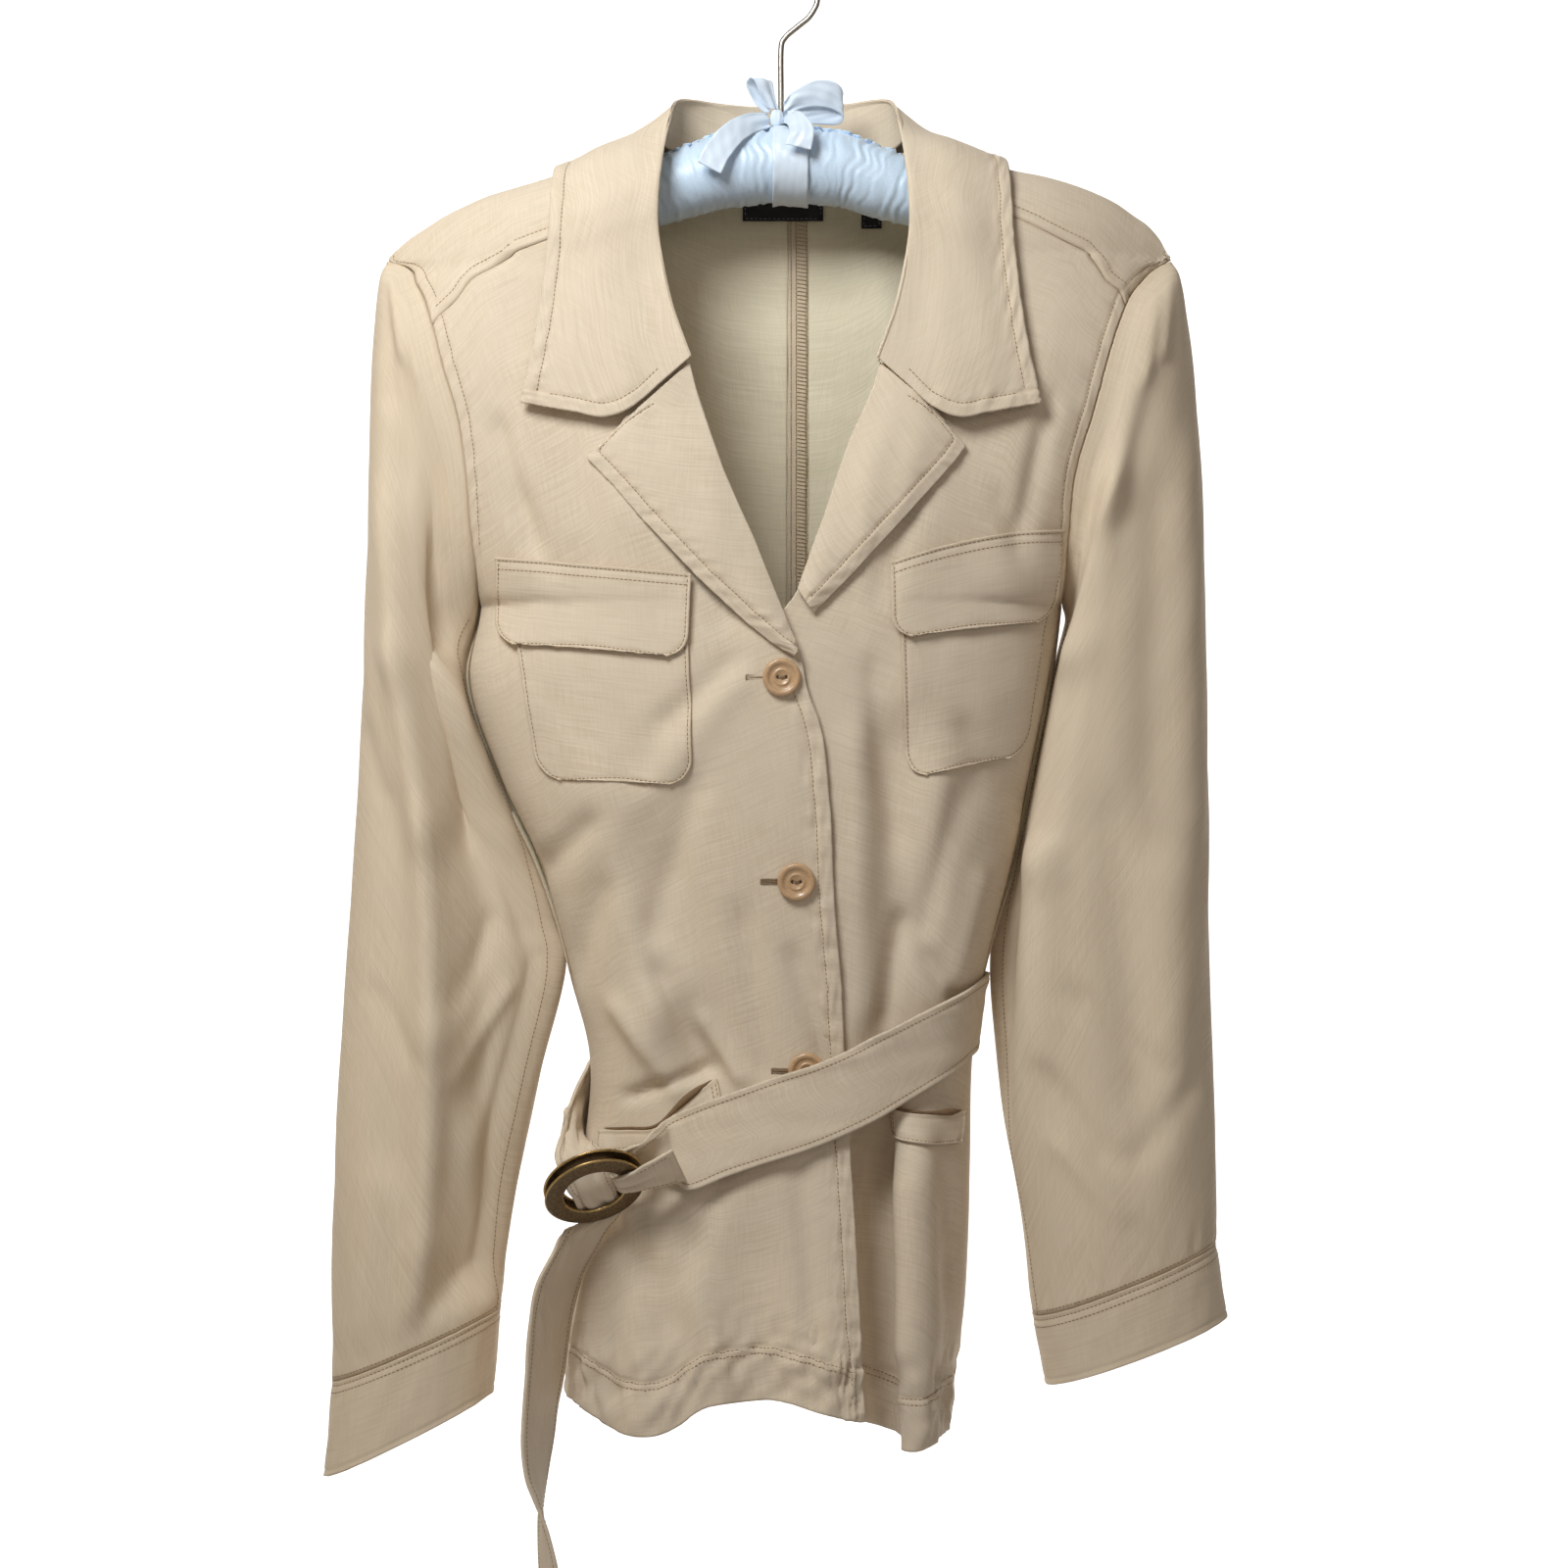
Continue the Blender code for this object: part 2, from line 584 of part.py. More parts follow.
def collar_grid(columns_fall=7):
    """Stand from the neck seam up to the roll, then the fall out to the edge, at every station."""
    left = COLLAR
    right = COLLAR[-2::-1] * (-1, 1, 1, -1, 1, 1, -1, 1, 1, 1)
    full = np.concatenate([left, right])
    full[:, 3] += COLLAR_MIDDLE
    fine = np.arange(0, len(full) - 0.99, 0.5)
    index = np.arange(len(full), dtype=float)
    full = np.stack([smooth(np.stack([index, full[:, c]], -1), fine) for c in range(10)], -1)
    neck, roll, outer, dip = full[:, 0:3], full[:, 3:6], full[:, 6:9], full[:, 9:10]
    stand = [neck + (roll - neck) * t for t in (0.0, 0.5, 0.9)]
    fall = []
    for t in np.linspace(0, 1, columns_fall):
        sag = dip * min(t / 0.42, (1 - t) / 0.58)
        point = roll + (outer - roll) * t
        point = point + np.concatenate([np.zeros_like(dip), np.zeros_like(dip), sag], -1)
        swell = COLLAR_SWELL * math.sin(math.pi * min(t * 1.15, 1.0))
        lift = COLLAR_LIFT + CLOTH + swell + COLLAR_ROLL_LIFT * (t == 0)
        fall.append(push_out(point, lift))
    return np.array(stand + fall)


def lapel_grid(table, side, columns=6):
    share = np.linspace(0, 1, columns)
    index = np.arange(len(table), dtype=float)
    fine = np.arange(0, len(table) - 0.99, 0.5)
    rows = np.stack([np.interp(fine, index, table[:, c]) for c in range(4)], -1)
    x = rows[:, 0:1] * (1 - share) + rows[:, 2:3] * share
    drop = rows[:, 1:2] * (1 - share) + rows[:, 3:4] * share
    lift = LAPEL_LIFT + CLOTH + LAPEL_SWELL * np.sin(math.pi * share)
    return with_y(x, drop, -front_depth(x, drop, side) - lift)


def facet_depth(p, q, r, x, drop):
    """Depth of flat facets p, q, r at the given points, each on the facet that holds it."""
    area = (q[:, 0] - p[:, 0]) * (r[:, 2] - p[:, 2]) - (r[:, 0] - p[:, 0]) * (q[:, 2] - p[:, 2])
    gx = x.reshape(-1, 1) - p[:, 0]
    gd = drop.reshape(-1, 1) - p[:, 2]
    s = (gx * (r[:, 2] - p[:, 2]) - (r[:, 0] - p[:, 0]) * gd) / area
    t = ((q[:, 0] - p[:, 0]) * gd - gx * (q[:, 2] - p[:, 2])) / area
    best = np.argmax(np.minimum(np.minimum(s, t), 1 - s - t), axis=1)
    row = np.arange(len(best))
    y = p[best, 1] + s[row, best] * (q[best, 1] - p[best, 1]) + t[row, best] * (r[best, 1] - p[best, 1])
    return -y.reshape(x.shape)


def panel_depth(panel, x, drop):
    """Depth of a front's own facets, whichever way its four-cornered faces are split."""
    corner = panel[:-1, :-1], panel[1:, :-1], panel[1:, 1:], panel[:-1, 1:]
    a, b, c, d = (part.reshape(-1, 3) for part in corner)
    one_way = facet_depth(np.concatenate([a, a]), np.concatenate([b, c]), np.concatenate([c, d]), x, drop)
    other_way = facet_depth(np.concatenate([b, b]), np.concatenate([c, d]), np.concatenate([d, a]), x, drop)
    return np.maximum(one_way, other_way)


def patch_grid(corners, side, corner_radius, columns=12, rows=9, lift=TRIM_LIFT + TRIM):
    """Flap or pocket: a four-cornered piece with rounded lower corners, lying on a front."""
    (x0, d0), (x1, d1), (x2, d2), (x3, d3), raised = corners
    u = np.linspace(0, 1, columns)[None, :]
    height = (d2 + d3 - d0 - d1) / 2
    v = np.linspace(0, 1, rows)[:, None]
    if corner_radius:
        turn = np.linspace(0, math.pi / 2, 4)
        low = 1 - corner_radius / height + corner_radius / height * np.sin(turn)
        v = np.concatenate([np.linspace(0, low[0], rows - 3), low[1:]])[:, None]
    inset = np.zeros_like(v)
    if corner_radius:
        over = np.clip((v - low[0]) * height / corner_radius, 0, 1)
        inset = corner_radius * (1 - np.sqrt(1 - over**2 * 0.985))
    width = abs(x1 - x0)
    u = u * (1 - 2 * inset / width) + inset / width
    x = (x0 * (1 - u) + x1 * u) * (1 - v) + (x2 * (1 - u) + x3 * u) * v
    drop = (d0 * (1 - u) + d1 * u) * (1 - v) + (d2 * (1 - u) + d3 * u) * v
    drop = drop - raised * 4 * u * (1 - u) * (1 - v)
    panel = front_panel(side)
    slope = (panel_depth(panel, x + PROBE, drop) - panel_depth(panel, x - PROBE, drop)) / (2 * PROBE)
    steepness = np.sqrt(1 + np.minimum(slope**2, 6.0))
    return with_y(x, drop, -panel_depth(panel, x, drop) - lift * steepness)


def belt_round(steps=31):
    """The belt's run round the body: its middle, and points across it, stood off the cloth."""
    turn = np.linspace(BELT_ROUND[0, 0], BELT_ROUND[-1, 0], steps)
    middle = smooth(BELT_ROUND, turn)
    slope = np.gradient(middle, np.radians(turn)) / BELT_ROUND_RADIUS
    across = np.linspace(-BELT_WIDTH / 2, BELT_WIDTH / 2, 4)
    lean = 1 / np.sqrt(1 + slope**2)
    drop = middle[:, None] + across * lean[:, None]
    angle = np.radians(turn)[:, None] - across * (slope * lean)[:, None] / BELT_ROUND_RADIUS
    s = np.sin(angle)
    c = np.cos(angle)
    x_unit = np.sign(s) * np.abs(s) ** (2 / SIDE_POWER)
    y_unit = np.sign(c) * np.abs(c) ** (2 / SIDE_POWER)
    f = np.clip(x_unit, -1, 1)
    wide = half_width(f, drop)
    ahead = c > 0
    depth = np.where(ahead, smooth(BODY, drop, 3), smooth(BODY, drop, 4)) * np.abs(y_unit)
    lap = LAP * ease((f * wide + 72) / 40) * ease((70 - f * wide) / 30)
    over_left = fold_height(LEFT_FOLDS, f * wide, drop)
    over_right = fold_height(RIGHT_FOLDS, f * wide, drop)
    over_front = np.maximum(np.maximum(over_left, over_right), 0) * (1 - np.abs(f) ** 6)
    over_back = np.maximum(fold_height(BACK_FOLDS, f * wide, drop), 0)
    fold = np.where(ahead, lap + over_front, over_back)
    normal = np.stack([x_unit / wide, -y_unit / np.maximum(np.abs(depth).max(), 1)], -1)
    normal = normal / np.linalg.norm(normal, axis=-1, keepdims=True)
    out = BELT_SIDE_LIFT + BELT_BACK_LIFT * ease((-c - 0.3) / 0.4)
    out = out + (BELT_LIFT - BELT_SIDE_LIFT) * ease((c - 0.25) / 0.4)
    x = f * wide + normal[..., 0] * out
    y = -np.sign(c) * (depth + fold) + normal[..., 1] * out
    return with_y(x, drop, y)


def ring_axes():
    a = np.array([math.cos(RING_SLOPE), 0, -math.sin(RING_SLOPE)])
    v = np.array([
        -math.sin(RING_SLOPE) * math.cos(RING_TILT),
        -math.sin(RING_TILT),
        -math.cos(RING_SLOPE) * math.cos(RING_TILT),
    ])
    n = -np.cross(a, v)
    return a, v, n


def strip(centres, directions, widths, columns=4):
    across = np.linspace(-0.5, 0.5, columns)[None, :, None]
    directions = directions / np.linalg.norm(directions, axis=-1, keepdims=True)
    return centres[:, None, :] + directions[:, None, :] * widths[:, None, None] * across


def belt_grid():
    """Whole belt as one strip: end lap, loop through the rings, round the body, through the rings, tail."""
    a, v, n = ring_axes()
    centre = np.array(RING_CENTRE)
    loop = np.array(LOOP_PATH)
    loop_points = centre + loop[:, 0:1] * a + loop[:, 1:2] * n
    loop_grid = strip(loop_points, np.tile(-v, (len(loop), 1)), loop[:, 2])
    body = belt_round()
    thread = np.array(THREAD_PATH)
    thread_points = centre + thread[:, 0:1] * a + thread[:, 1:2] * v + thread[:, 2:3] * n
    thread_grid = strip(thread_points, np.tile(a, (len(thread), 1)), thread[:, 3])
    tail = BELT_TAIL
    angle = np.radians(tail[:, 3])
    tail_dir = np.stack([np.cos(angle), np.sin(angle), np.zeros(len(tail))], -1)
    tail_grid = strip(tail[:, 0:3], tail_dir, tail[:, 4])
    start, stop = loop_grid[-1], body[0]
    join = [start + (stop - start) * t for t in (0.33, 0.66)]
    side_end = body[-1]
    rise = thread_grid[0]
    turn = [side_end * (1 - t) + rise * t + (-3.5 * math.sin(math.pi * t), 0, 0) for t in (0.25, 0.5, 0.75)]
    whole = np.concatenate([loop_grid, join, body, turn, thread_grid, tail_grid])
    x, y, drop = whole[..., 0], whole[..., 1], whole[..., 2]
    near = (y < 0) & (np.abs(x) < half_width(x, drop))
    clear = np.where(near, -front_depth(x, drop, -1) - BELT_CLEAR, y)
    return with_y(x, drop, np.where(x < 0, np.minimum(y, clear), y))


def closed_mesh(name, points, faces, group, look):
    mesh = bpy.data.meshes.new(name)
    mesh.from_pydata((np.asarray(points) * (MM, MM, -MM)).tolist(), [], faces)
    mesh.materials.append(look)
    mesh.shade_smooth()
    made = bpy.data.objects.new(name, mesh)
    group.objects.link(made)
    return made


def tube_faces(rings, around):
    faces = []
    for i in range(rings - 1):
        for j in range(around):
            k = (j + 1) % around
            faces.append((i * around + j, i * around + k, (i + 1) * around + k, (i + 1) * around + j))
    faces.append(tuple(range(around))[::-1])
    faces.append(tuple((rings - 1) * around + j for j in range(around)))
    return [face[::-1] for face in faces]


def padded_bar(group, look, around=14):
    turn = np.arange(around) / around * 2 * math.pi
    slope = np.gradient(PAD[:, 1], PAD[:, 0])
    lean = np.sqrt(1 + slope**2)
    rings = []
    for (x, drop, radius), m, size in zip(PAD, slope, lean):
        up = np.cos(turn) * radius
        rings.append(with_y(x + up * m / size, drop - up / size, np.sin(turn) * radius))
    return closed_mesh("hanger_pad", np.concatenate(rings), tube_faces(len(PAD), around), group, look)


def wire_hook(group, look):
    points = [(x, 0.0, -drop) for x, drop in STEM_PATH]
    angles = np.radians(np.linspace(HOOK_ARC[0], HOOK_ARC[1], 22))
    middle = HOOK_RADIUS - HOOK_WIRE_RADIUS
    points += [(HOOK_RADIUS * math.cos(t), 0.0, HOOK_RADIUS * math.sin(t) - middle) for t in angles]
    curve = bpy.data.curves.new("hanger_hook", "CURVE")
    curve.dimensions = "3D"
    curve.bevel_depth = HOOK_WIRE_RADIUS * MM
    curve.bevel_resolution = 2
    curve.use_fill_caps = True
    spline = curve.splines.new("POLY")
    spline.points.add(len(points) - 1)
    for target, point in zip(spline.points, points):
        target.co = (point[0] * MM, point[1] * MM, point[2] * MM, 1.0)
    curve.materials.append(look)
    made = bpy.data.objects.new("hanger_hook", curve)
    group.objects.link(made)
    return made


def lathe(name, profile, steps, group, look):
    """Turned piece about its own z axis, from a profile of radius and height."""
    mesh = bpy.data.meshes.new(name)
    points = [(radius * MM, 0.0, height * MM) for radius, height in profile]
    mesh.from_pydata(points, [(i, i + 1) for i in range(len(points) - 1)], [])
    mesh.materials.append(look)
    made = bpy.data.objects.new(name, mesh)
    group.objects.link(made)
    turn = made.modifiers.new("turn", "SCREW")
    turn.steps = steps
    turn.render_steps = steps
    turn.use_merge_vertices = True
    turn.merge_threshold = 0.00001
    turn.use_normal_flip = True
    turn.use_smooth_shade = True
    return made


def buttons(group, cutters, look):
    for number, (x, drop) in enumerate(BUTTONS, start=1):
        made = lathe(f"button_{number}", BUTTON_PROFILE, 18, group, look)
        reach = 0.8 * BUTTON_RADIUS
        depth = front_depth(np.array([x, x - reach, x + reach, x, x]),
                            np.array([drop, drop, drop, drop - reach, drop + reach]), -1)
        tilt_x = math.atan2(depth[4] - depth[3], 2 * reach)
        tilt_z = math.atan2(depth[2] - depth[1], 2 * reach)
        stand = max(depth[0], (depth[1] + depth[2]) / 2, (depth[3] + depth[4]) / 2) + 0.4
        made.location = (x * MM, -stand * MM, -drop * MM)
        made.rotation_euler = (math.pi / 2 - tilt_x, 0.0, tilt_z)
        for hole, where in enumerate((-1, 1)):
            tool = lathe(f"cut_{number}_{hole}",
                         ((0, -2), (BUTTON_HOLE_RADIUS, -2), (BUTTON_HOLE_RADIUS, 6), (0, 6)), 8, cutters, look)
            tool.location = (where * BUTTON_HOLE_PITCH * MM, 0.0, 0.0)
            tool.parent = made
            tool.display_type = "WIRE"
            cut = made.modifiers.new(f"hole_{hole}", "BOOLEAN")
            cut.operation = "DIFFERENCE"
            cut.solver = "EXACT"
            cut.object = tool


def ring(name, along_normal, slide, group, look):
    half = RING_THICK / 2
    soft = 0.5
    profile = (
        (RING_INNER, -half + soft), (RING_INNER, half - soft), (RING_INNER + soft, half),
        (RING_OUTER - soft, half), (RING_OUTER, half - soft), (RING_OUTER, -half + soft),
        (RING_OUTER - soft, -half), (RING_INNER + soft, -half), (RING_INNER, -half + soft),
    )
    around = 24
    turn = np.arange(around) / around * 2 * math.pi
    a, v, n = ring_axes()
    centre = np.array(RING_CENTRE) + along_normal * n + slide * a
    loop = np.array(profile[:-1])
    points = []
    for t in turn:
        radial = a * math.cos(t) + v * math.sin(t)
        points.append(centre + loop[:, 0:1] * radial + loop[:, 1:2] * n)
    points = np.concatenate(points)
    size = len(loop)
    faces = []
    for i in range(around):
        k = (i + 1) % around
        for j in range(size):
            m = (j + 1) % size
            faces.append((i * size + j, i * size + m, k * size + m, k * size + j))
    return closed_mesh(name, points, faces, group, look)


def ribbon_band(group, look):
    around = 14
    turn = np.arange(around) / around * 2 * math.pi
    rings = []
    for x in np.linspace(BAND_X[0], BAND_X[1], 4):
        radius = np.interp(x, PAD[:, 0], PAD[:, 2]) + 0.4 + RIBBON
        drop = np.interp(x, PAD[:, 0], PAD[:, 1])
        rings.append(with_y(np.full(around, x), drop - radius * np.cos(turn), radius * np.sin(turn)))
    return mesh_object("ribbon_band", rings, group, look, closed=True, thickness=RIBBON)


# Bow of ribbon: middle line x, y, drop with the width of the ribbon, one table a piece
BOW_PIECES = {
    "ribbon_loop_right": (
        (1.5, -4.6, 85, 8), (8, -6.4, 80, 11), (18, -8, 77, 14), (28, -8, 78, 15), (33, -5.5, 82, 14),
        (31, -3, 86.5, 12), (22, -2, 86.8, 11), (10, -2.4, 87.4, 9), (3, -2.8, 88.3, 7),
    ),
    "ribbon_loop_left": (
        (-3.9, -3.9, 84.6, 6), (-7.5, -6, 76, 9), (-9.5, -7, 70, 11), (-12, -6, 69, 11),
        (-14, -3.5, 73, 10), (-11.5, -2.2, 80, 8), (-7.2, -2.2, 86, 6),
    ),
    "ribbon_tail_left": (
        (-6.5, -4.3, 90.3, 8), (-16, -12.5, 93.5, 11), (-25, -20, 100, 13), (-33, -25, 110, 14), (-38, -27, 120, 14),
    ),
    "ribbon_tail_right": (
        (2.2, -5.2, 89.2, 7), (7, -16.5, 91.5, 10), (11, -25, 100, 13), (9, -27.5, 109, 14),
    ),
}


def bow(group, look):
    for name, rows in BOW_PIECES.items():
        table = np.array(rows, float)
        path = table[:, 0:3]
        heading = np.gradient(path, axis=0)
        heading = heading / np.linalg.norm(heading, axis=1, keepdims=True)
        across = np.stack([-heading[:, 2], np.zeros(len(table)), heading[:, 0]], -1)
        if "loop" in name:
            across = np.tile((0.0, 0.35, 1.0) if "right" in name else (1.0, 0.45, 0.1), (len(table), 1))
        grid = strip(path, across, table[:, 3], 3)
        mesh_object(name, grid, group, look, thickness=RIBBON, offset=0.0)
    knot = lathe("ribbon_knot", ((0, -4.5), (3.4, -3.6), (4.4, 0), (3.4, 3.6), (0, 4.5)), 12, group, look)
    knot.location = (-2.2 * MM, -4.8 * MM, -89.5 * MM)
    knot.scale = (0.8, 0.75, 1.0)


def inside_patch(name, box, group, look):
    x0, x1, d0, d1 = box
    x, drop = np.meshgrid(np.linspace(x0, x1, 4), np.linspace(d0, d1, 4))
    y = back_depth(x, drop) - CLOTH - LABEL_LIFT
    return mesh_object(name, with_y(x, drop, y), group, look, thickness=LABEL_CLOTH)


def main():
    clear_scene()
    group = new_collection("safari jacket on a padded hanger")
    cutters = new_collection("cutters", hidden=True)
    linen = material("linen", LINEN, 0.85)
    satin = material("satin", SATIN, 0.42)
    black = material("black_tape", BLACK, 0.7)
    sand = material("sand_plastic", SAND, 0.4)
    bronze = material("bronze_metal", BRONZE, 0.4, 0.6)
    wire = material("wire_metal", WIRE, 0.3, 1.0)

    mesh_object("front_left", front_panel(-1), group, linen)
    mesh_object("front_right", front_panel(1), group, linen)
    mesh_object("back_left", back_panel(-1), group, linen)
    mesh_object("back_right", back_panel(1), group, linen)
    mesh_object("sleeve_left", sleeve(-1, LEFT_SLEEVE), group, linen, closed=True)
    mesh_object("sleeve_right", sleeve(1, RIGHT_SLEEVE), group, linen, closed=True)
    mesh_object("cuff_left", cuff(LEFT_SLEEVE, LEFT_CUFF_END), group, linen, closed=True)
    mesh_object("cuff_right", cuff(RIGHT_SLEEVE, RIGHT_CUFF_END), group, linen, closed=True)
    mesh_object("collar", collar_grid(), group, linen)
    mesh_object("lapel_left", lapel_grid(LEFT_LAPEL, -1), group, linen)
    mesh_object("lapel_right", lapel_grid(RIGHT_LAPEL, 1), group, linen)
    mesh_object("chest_pocket_left", patch_grid(LEFT_POCKET, -1, POCKET_CORNER), group, linen, thickness=TRIM)
    mesh_object("chest_pocket_right", patch_grid(RIGHT_POCKET, 1, POCKET_CORNER), group, linen, thickness=TRIM)
    flap_lift = 2 * (TRIM_LIFT + TRIM) + FLAP_CLEAR
    mesh_object("chest_flap_left", patch_grid(LEFT_FLAP, -1, FLAP_CORNER, lift=flap_lift), group, linen,
                thickness=TRIM)
    mesh_object("chest_flap_right", patch_grid(RIGHT_FLAP, 1, FLAP_CORNER, lift=flap_lift), group, linen,
                thickness=TRIM)
    mesh_object("hip_welt_left", patch_grid(LEFT_WELT, -1, 0, 10, 4), group, linen, thickness=TRIM)
    mesh_object("hip_welt_right", patch_grid(RIGHT_WELT, 1, 0, 10, 4, WELT_LIFT), group, linen, thickness=TRIM)
    mesh_object("belt", belt_grid(), group, linen, thickness=BELT_CLOTH, offset=0.0)
    buttons(group, cutters, sand)
    ring("ring_front", 0.0, 0.0, group, bronze)
    ring("ring_rear", -RING_PITCH, 0.8, group, bronze)
    inside_patch("neck_label", LABEL, group, black)
    inside_patch("size_tab", TAB, group, black)
    padded_bar(group, satin)
    wire_hook(group, wire)
    ribbon_band(group, satin)
    bow(group, satin)


if __name__ == "__main__":
    main()
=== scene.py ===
"""Safari jacket in sand-coloured linen on a padded satin hanger.

Every length is in millimetres and every height is a drop below the underside of the hook's crown,
where a rail would carry the hanger. Meshes are written in metres with z = -drop.
"""

import logging
import math
from dataclasses import dataclass, field
from enum import Enum

import bpy
import numpy as np
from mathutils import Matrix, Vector


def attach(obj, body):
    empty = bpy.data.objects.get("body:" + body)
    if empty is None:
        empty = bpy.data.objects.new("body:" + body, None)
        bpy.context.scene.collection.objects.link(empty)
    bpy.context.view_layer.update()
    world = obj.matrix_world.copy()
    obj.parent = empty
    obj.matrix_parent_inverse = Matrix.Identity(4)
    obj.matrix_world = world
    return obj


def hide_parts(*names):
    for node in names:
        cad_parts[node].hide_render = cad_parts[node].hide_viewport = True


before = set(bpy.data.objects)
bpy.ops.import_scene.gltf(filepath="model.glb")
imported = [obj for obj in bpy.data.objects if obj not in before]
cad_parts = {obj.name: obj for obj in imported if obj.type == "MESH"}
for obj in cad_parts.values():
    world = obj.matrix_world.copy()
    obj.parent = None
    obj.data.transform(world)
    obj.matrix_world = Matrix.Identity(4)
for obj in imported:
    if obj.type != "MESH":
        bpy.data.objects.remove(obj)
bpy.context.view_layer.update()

log = logging.getLogger("safari jacket")
MM = 0.001
CLOTH = 1.2  # wall of the cloth
LAP = 2.1  # how far the left front stands over the right one
UNDER_LAP = 1.0  # how far the right front stays under the left one's plain face
SIDE_GAP = 0.55  # half the gap between front and back at the side
SEAM_GAP = 0.12  # half the gap at the forward shoulder seam
ARM_GAP = 0.9  # gap between the armhole and the sleeve
CREASE_GAIN = 2.1  # what every small crease is multiplied by
SIDE_POWER = 2.2  # roundness of the body's section, 2 being an ellipse
SHOULDER_POWER = 4.0  # the same at the shoulders
RIDGE_ROLL = 45.0  # drop over which the shoulder rounds off
ARM_TOP, ARM_LOW, ARM_HALF_DEPTH = 165.5, 350.0, 36.0
ARM_MIDDLE, ARM_HALF = (ARM_TOP + ARM_LOW) / 2, (ARM_LOW - ARM_TOP) / 2
CENTRE_BACK = 3.0  # x of the centre back seam
SIDES = ((-1, "left"), (1, "right"))


# Body: drop, half width at the viewer's left, at the right, depth of front, depth of back
BODY = np.array([
    (100, 217, 215, 38, 40), (130, 215, 213, 39, 40), (163, 211.5, 209.3, 40, 40),
    (165, 211.5, 209.3, 40, 40), (167, 205, 205, 40, 40), (180, 193.5, 190, 42, 41),
    (203, 184, 178, 47, 43), (225, 178, 171, 52, 46), (252, 170, 163.5, 56, 49),
    (280, 166, 155, 60, 52), (308, 164, 152, 62, 54), (350, 161, 150, 63, 55), (389, 167, 144, 63, 55),
    (443, 150, 133, 61, 54), (486, 130, 124.5, 58, 52), (518, 120, 116, 55, 49),
    (552, 112, 108, 52, 46), (589, 103, 103, 49, 44), (645, 106, 101.5, 52, 47),
    (688, 109, 100.5, 57, 53), (730, 114, 98, 62, 59), (771, 115.5, 92, 66, 64), (810, 117, 89, 68, 66),
], dtype=float)

# Shoulder line: fraction of the half width, drop at the left, drop at the right
SHOULDER = np.array([
    (0, 99, 99), (0.2, 100.5, 100.5), (0.34, 104.5, 103.5), (0.47, 113, 110), (0.57, 120.5, 116.5),
    (0.665, 126.5, 120.5), (0.735, 131, 124.7), (0.79, 136, 129), (0.85, 142, 135), (0.89, 147, 140.5),
    (0.94, 153.5, 147.5), (0.967, 158, 153.5), (1, 165.5, 165),
], dtype=float)

# Forward shoulder seam: fraction of the half width, depth below the shoulder line left, right
SHOULDER_SEAM = np.array([
    (0, 32, 28), (0.34, 33, 28), (0.59, 38, 30), (0.71, 39, 35.5), (0.86, 38.5, 37), (0.93, 41, 36),
    (1, 38, 27),
], dtype=float)

# Edge of each front towards the middle: drop, x of the left front, x of the right front
FRONT_EDGE = np.array([
    (125, -76, 77), (160, -76, 77), (192, -70, 72), (226, -49, 53), (243, -43, 46.5), (266, -35.5, 36),
    (283, -30, 30), (300, -22.3, 24.5), (324, -11.6, 15.8), (347, -2.5, 7.6), (365, 5, -7),
    (383, 11.2, -20), (394, 13, -22), (414, 20, -22), (456, 25.4, -22), (510, 28, -22),
    (551, 31.5, -22), (581, 33, -22), (634, 36, -22), (700, 40, -22), (790, 44, -22),
], dtype=float)

# Hem of the fronts and of the back: x, drop
FRONT_HEM = np.array([
    (-117, 770), (-105, 773), (-94, 778), (-76, 785), (-57, 783), (-38, 770), (-20, 767), (0, 766),
    (13, 769), (28, 773), (44, 777), (52, 778), (63, 791), (72, 794), (82, 792), (90, 789),
], dtype=float)
BACK_HEM = np.array([
    (-117, 770), (-80, 779), (-45, 774), (-10, 778), (30, 775), (65, 782), (90, 789),
], dtype=float)

# Back neck: fraction of the half width, start of the back measured from the shoulder line
BACK_NECK = np.array([
    (0, 15, 15), (0.16, 12.5, 12.5), (0.27, 6, 6), (0.335, 0, 0), (0.36, -20, -18), (0.39, -33, -28),
], dtype=float)

# Folds: x and drop of both ends, half width, height outwards
SHARED_FOLDS = (
    (-16, 700, -14, 800, 18, -6),
    (22, 740, 24, 800, 12, 3),
)
LEFT_FOLDS = SHARED_FOLDS + (
    (-62, 500, -36, 590, 20, -7),
    (-96, 455, -70, 560, 18, 6),
    (-60, 560, -86, 600, 16, 5),
    (-76, 720, -78, 800, 17, 7),
    (-120, 215, -104, 320, 22, -4),
)
RIGHT_FOLDS = SHARED_FOLDS + (
    (51, 622, 52, 800, 9, -17),
    (76, 640, 78, 800, 14, 7),
    (60, 430, 57, 575, 13, -7),
    (86, 450, 92, 555, 14, 5),
    (112, 215, 96, 320, 22, -4),
)
BACK_FOLDS = (
    (-60, 420, -52, 780, 20, 6),
    (-20, 600, -24, 790, 18, -6),
    (45, 420, 48, 780, 22, 6),
    (14, 620, 16, 790, 14, -4),
    (-96, 230, -80, 420, 24, -5),
    (92, 230, 78, 420, 24, -5),
)

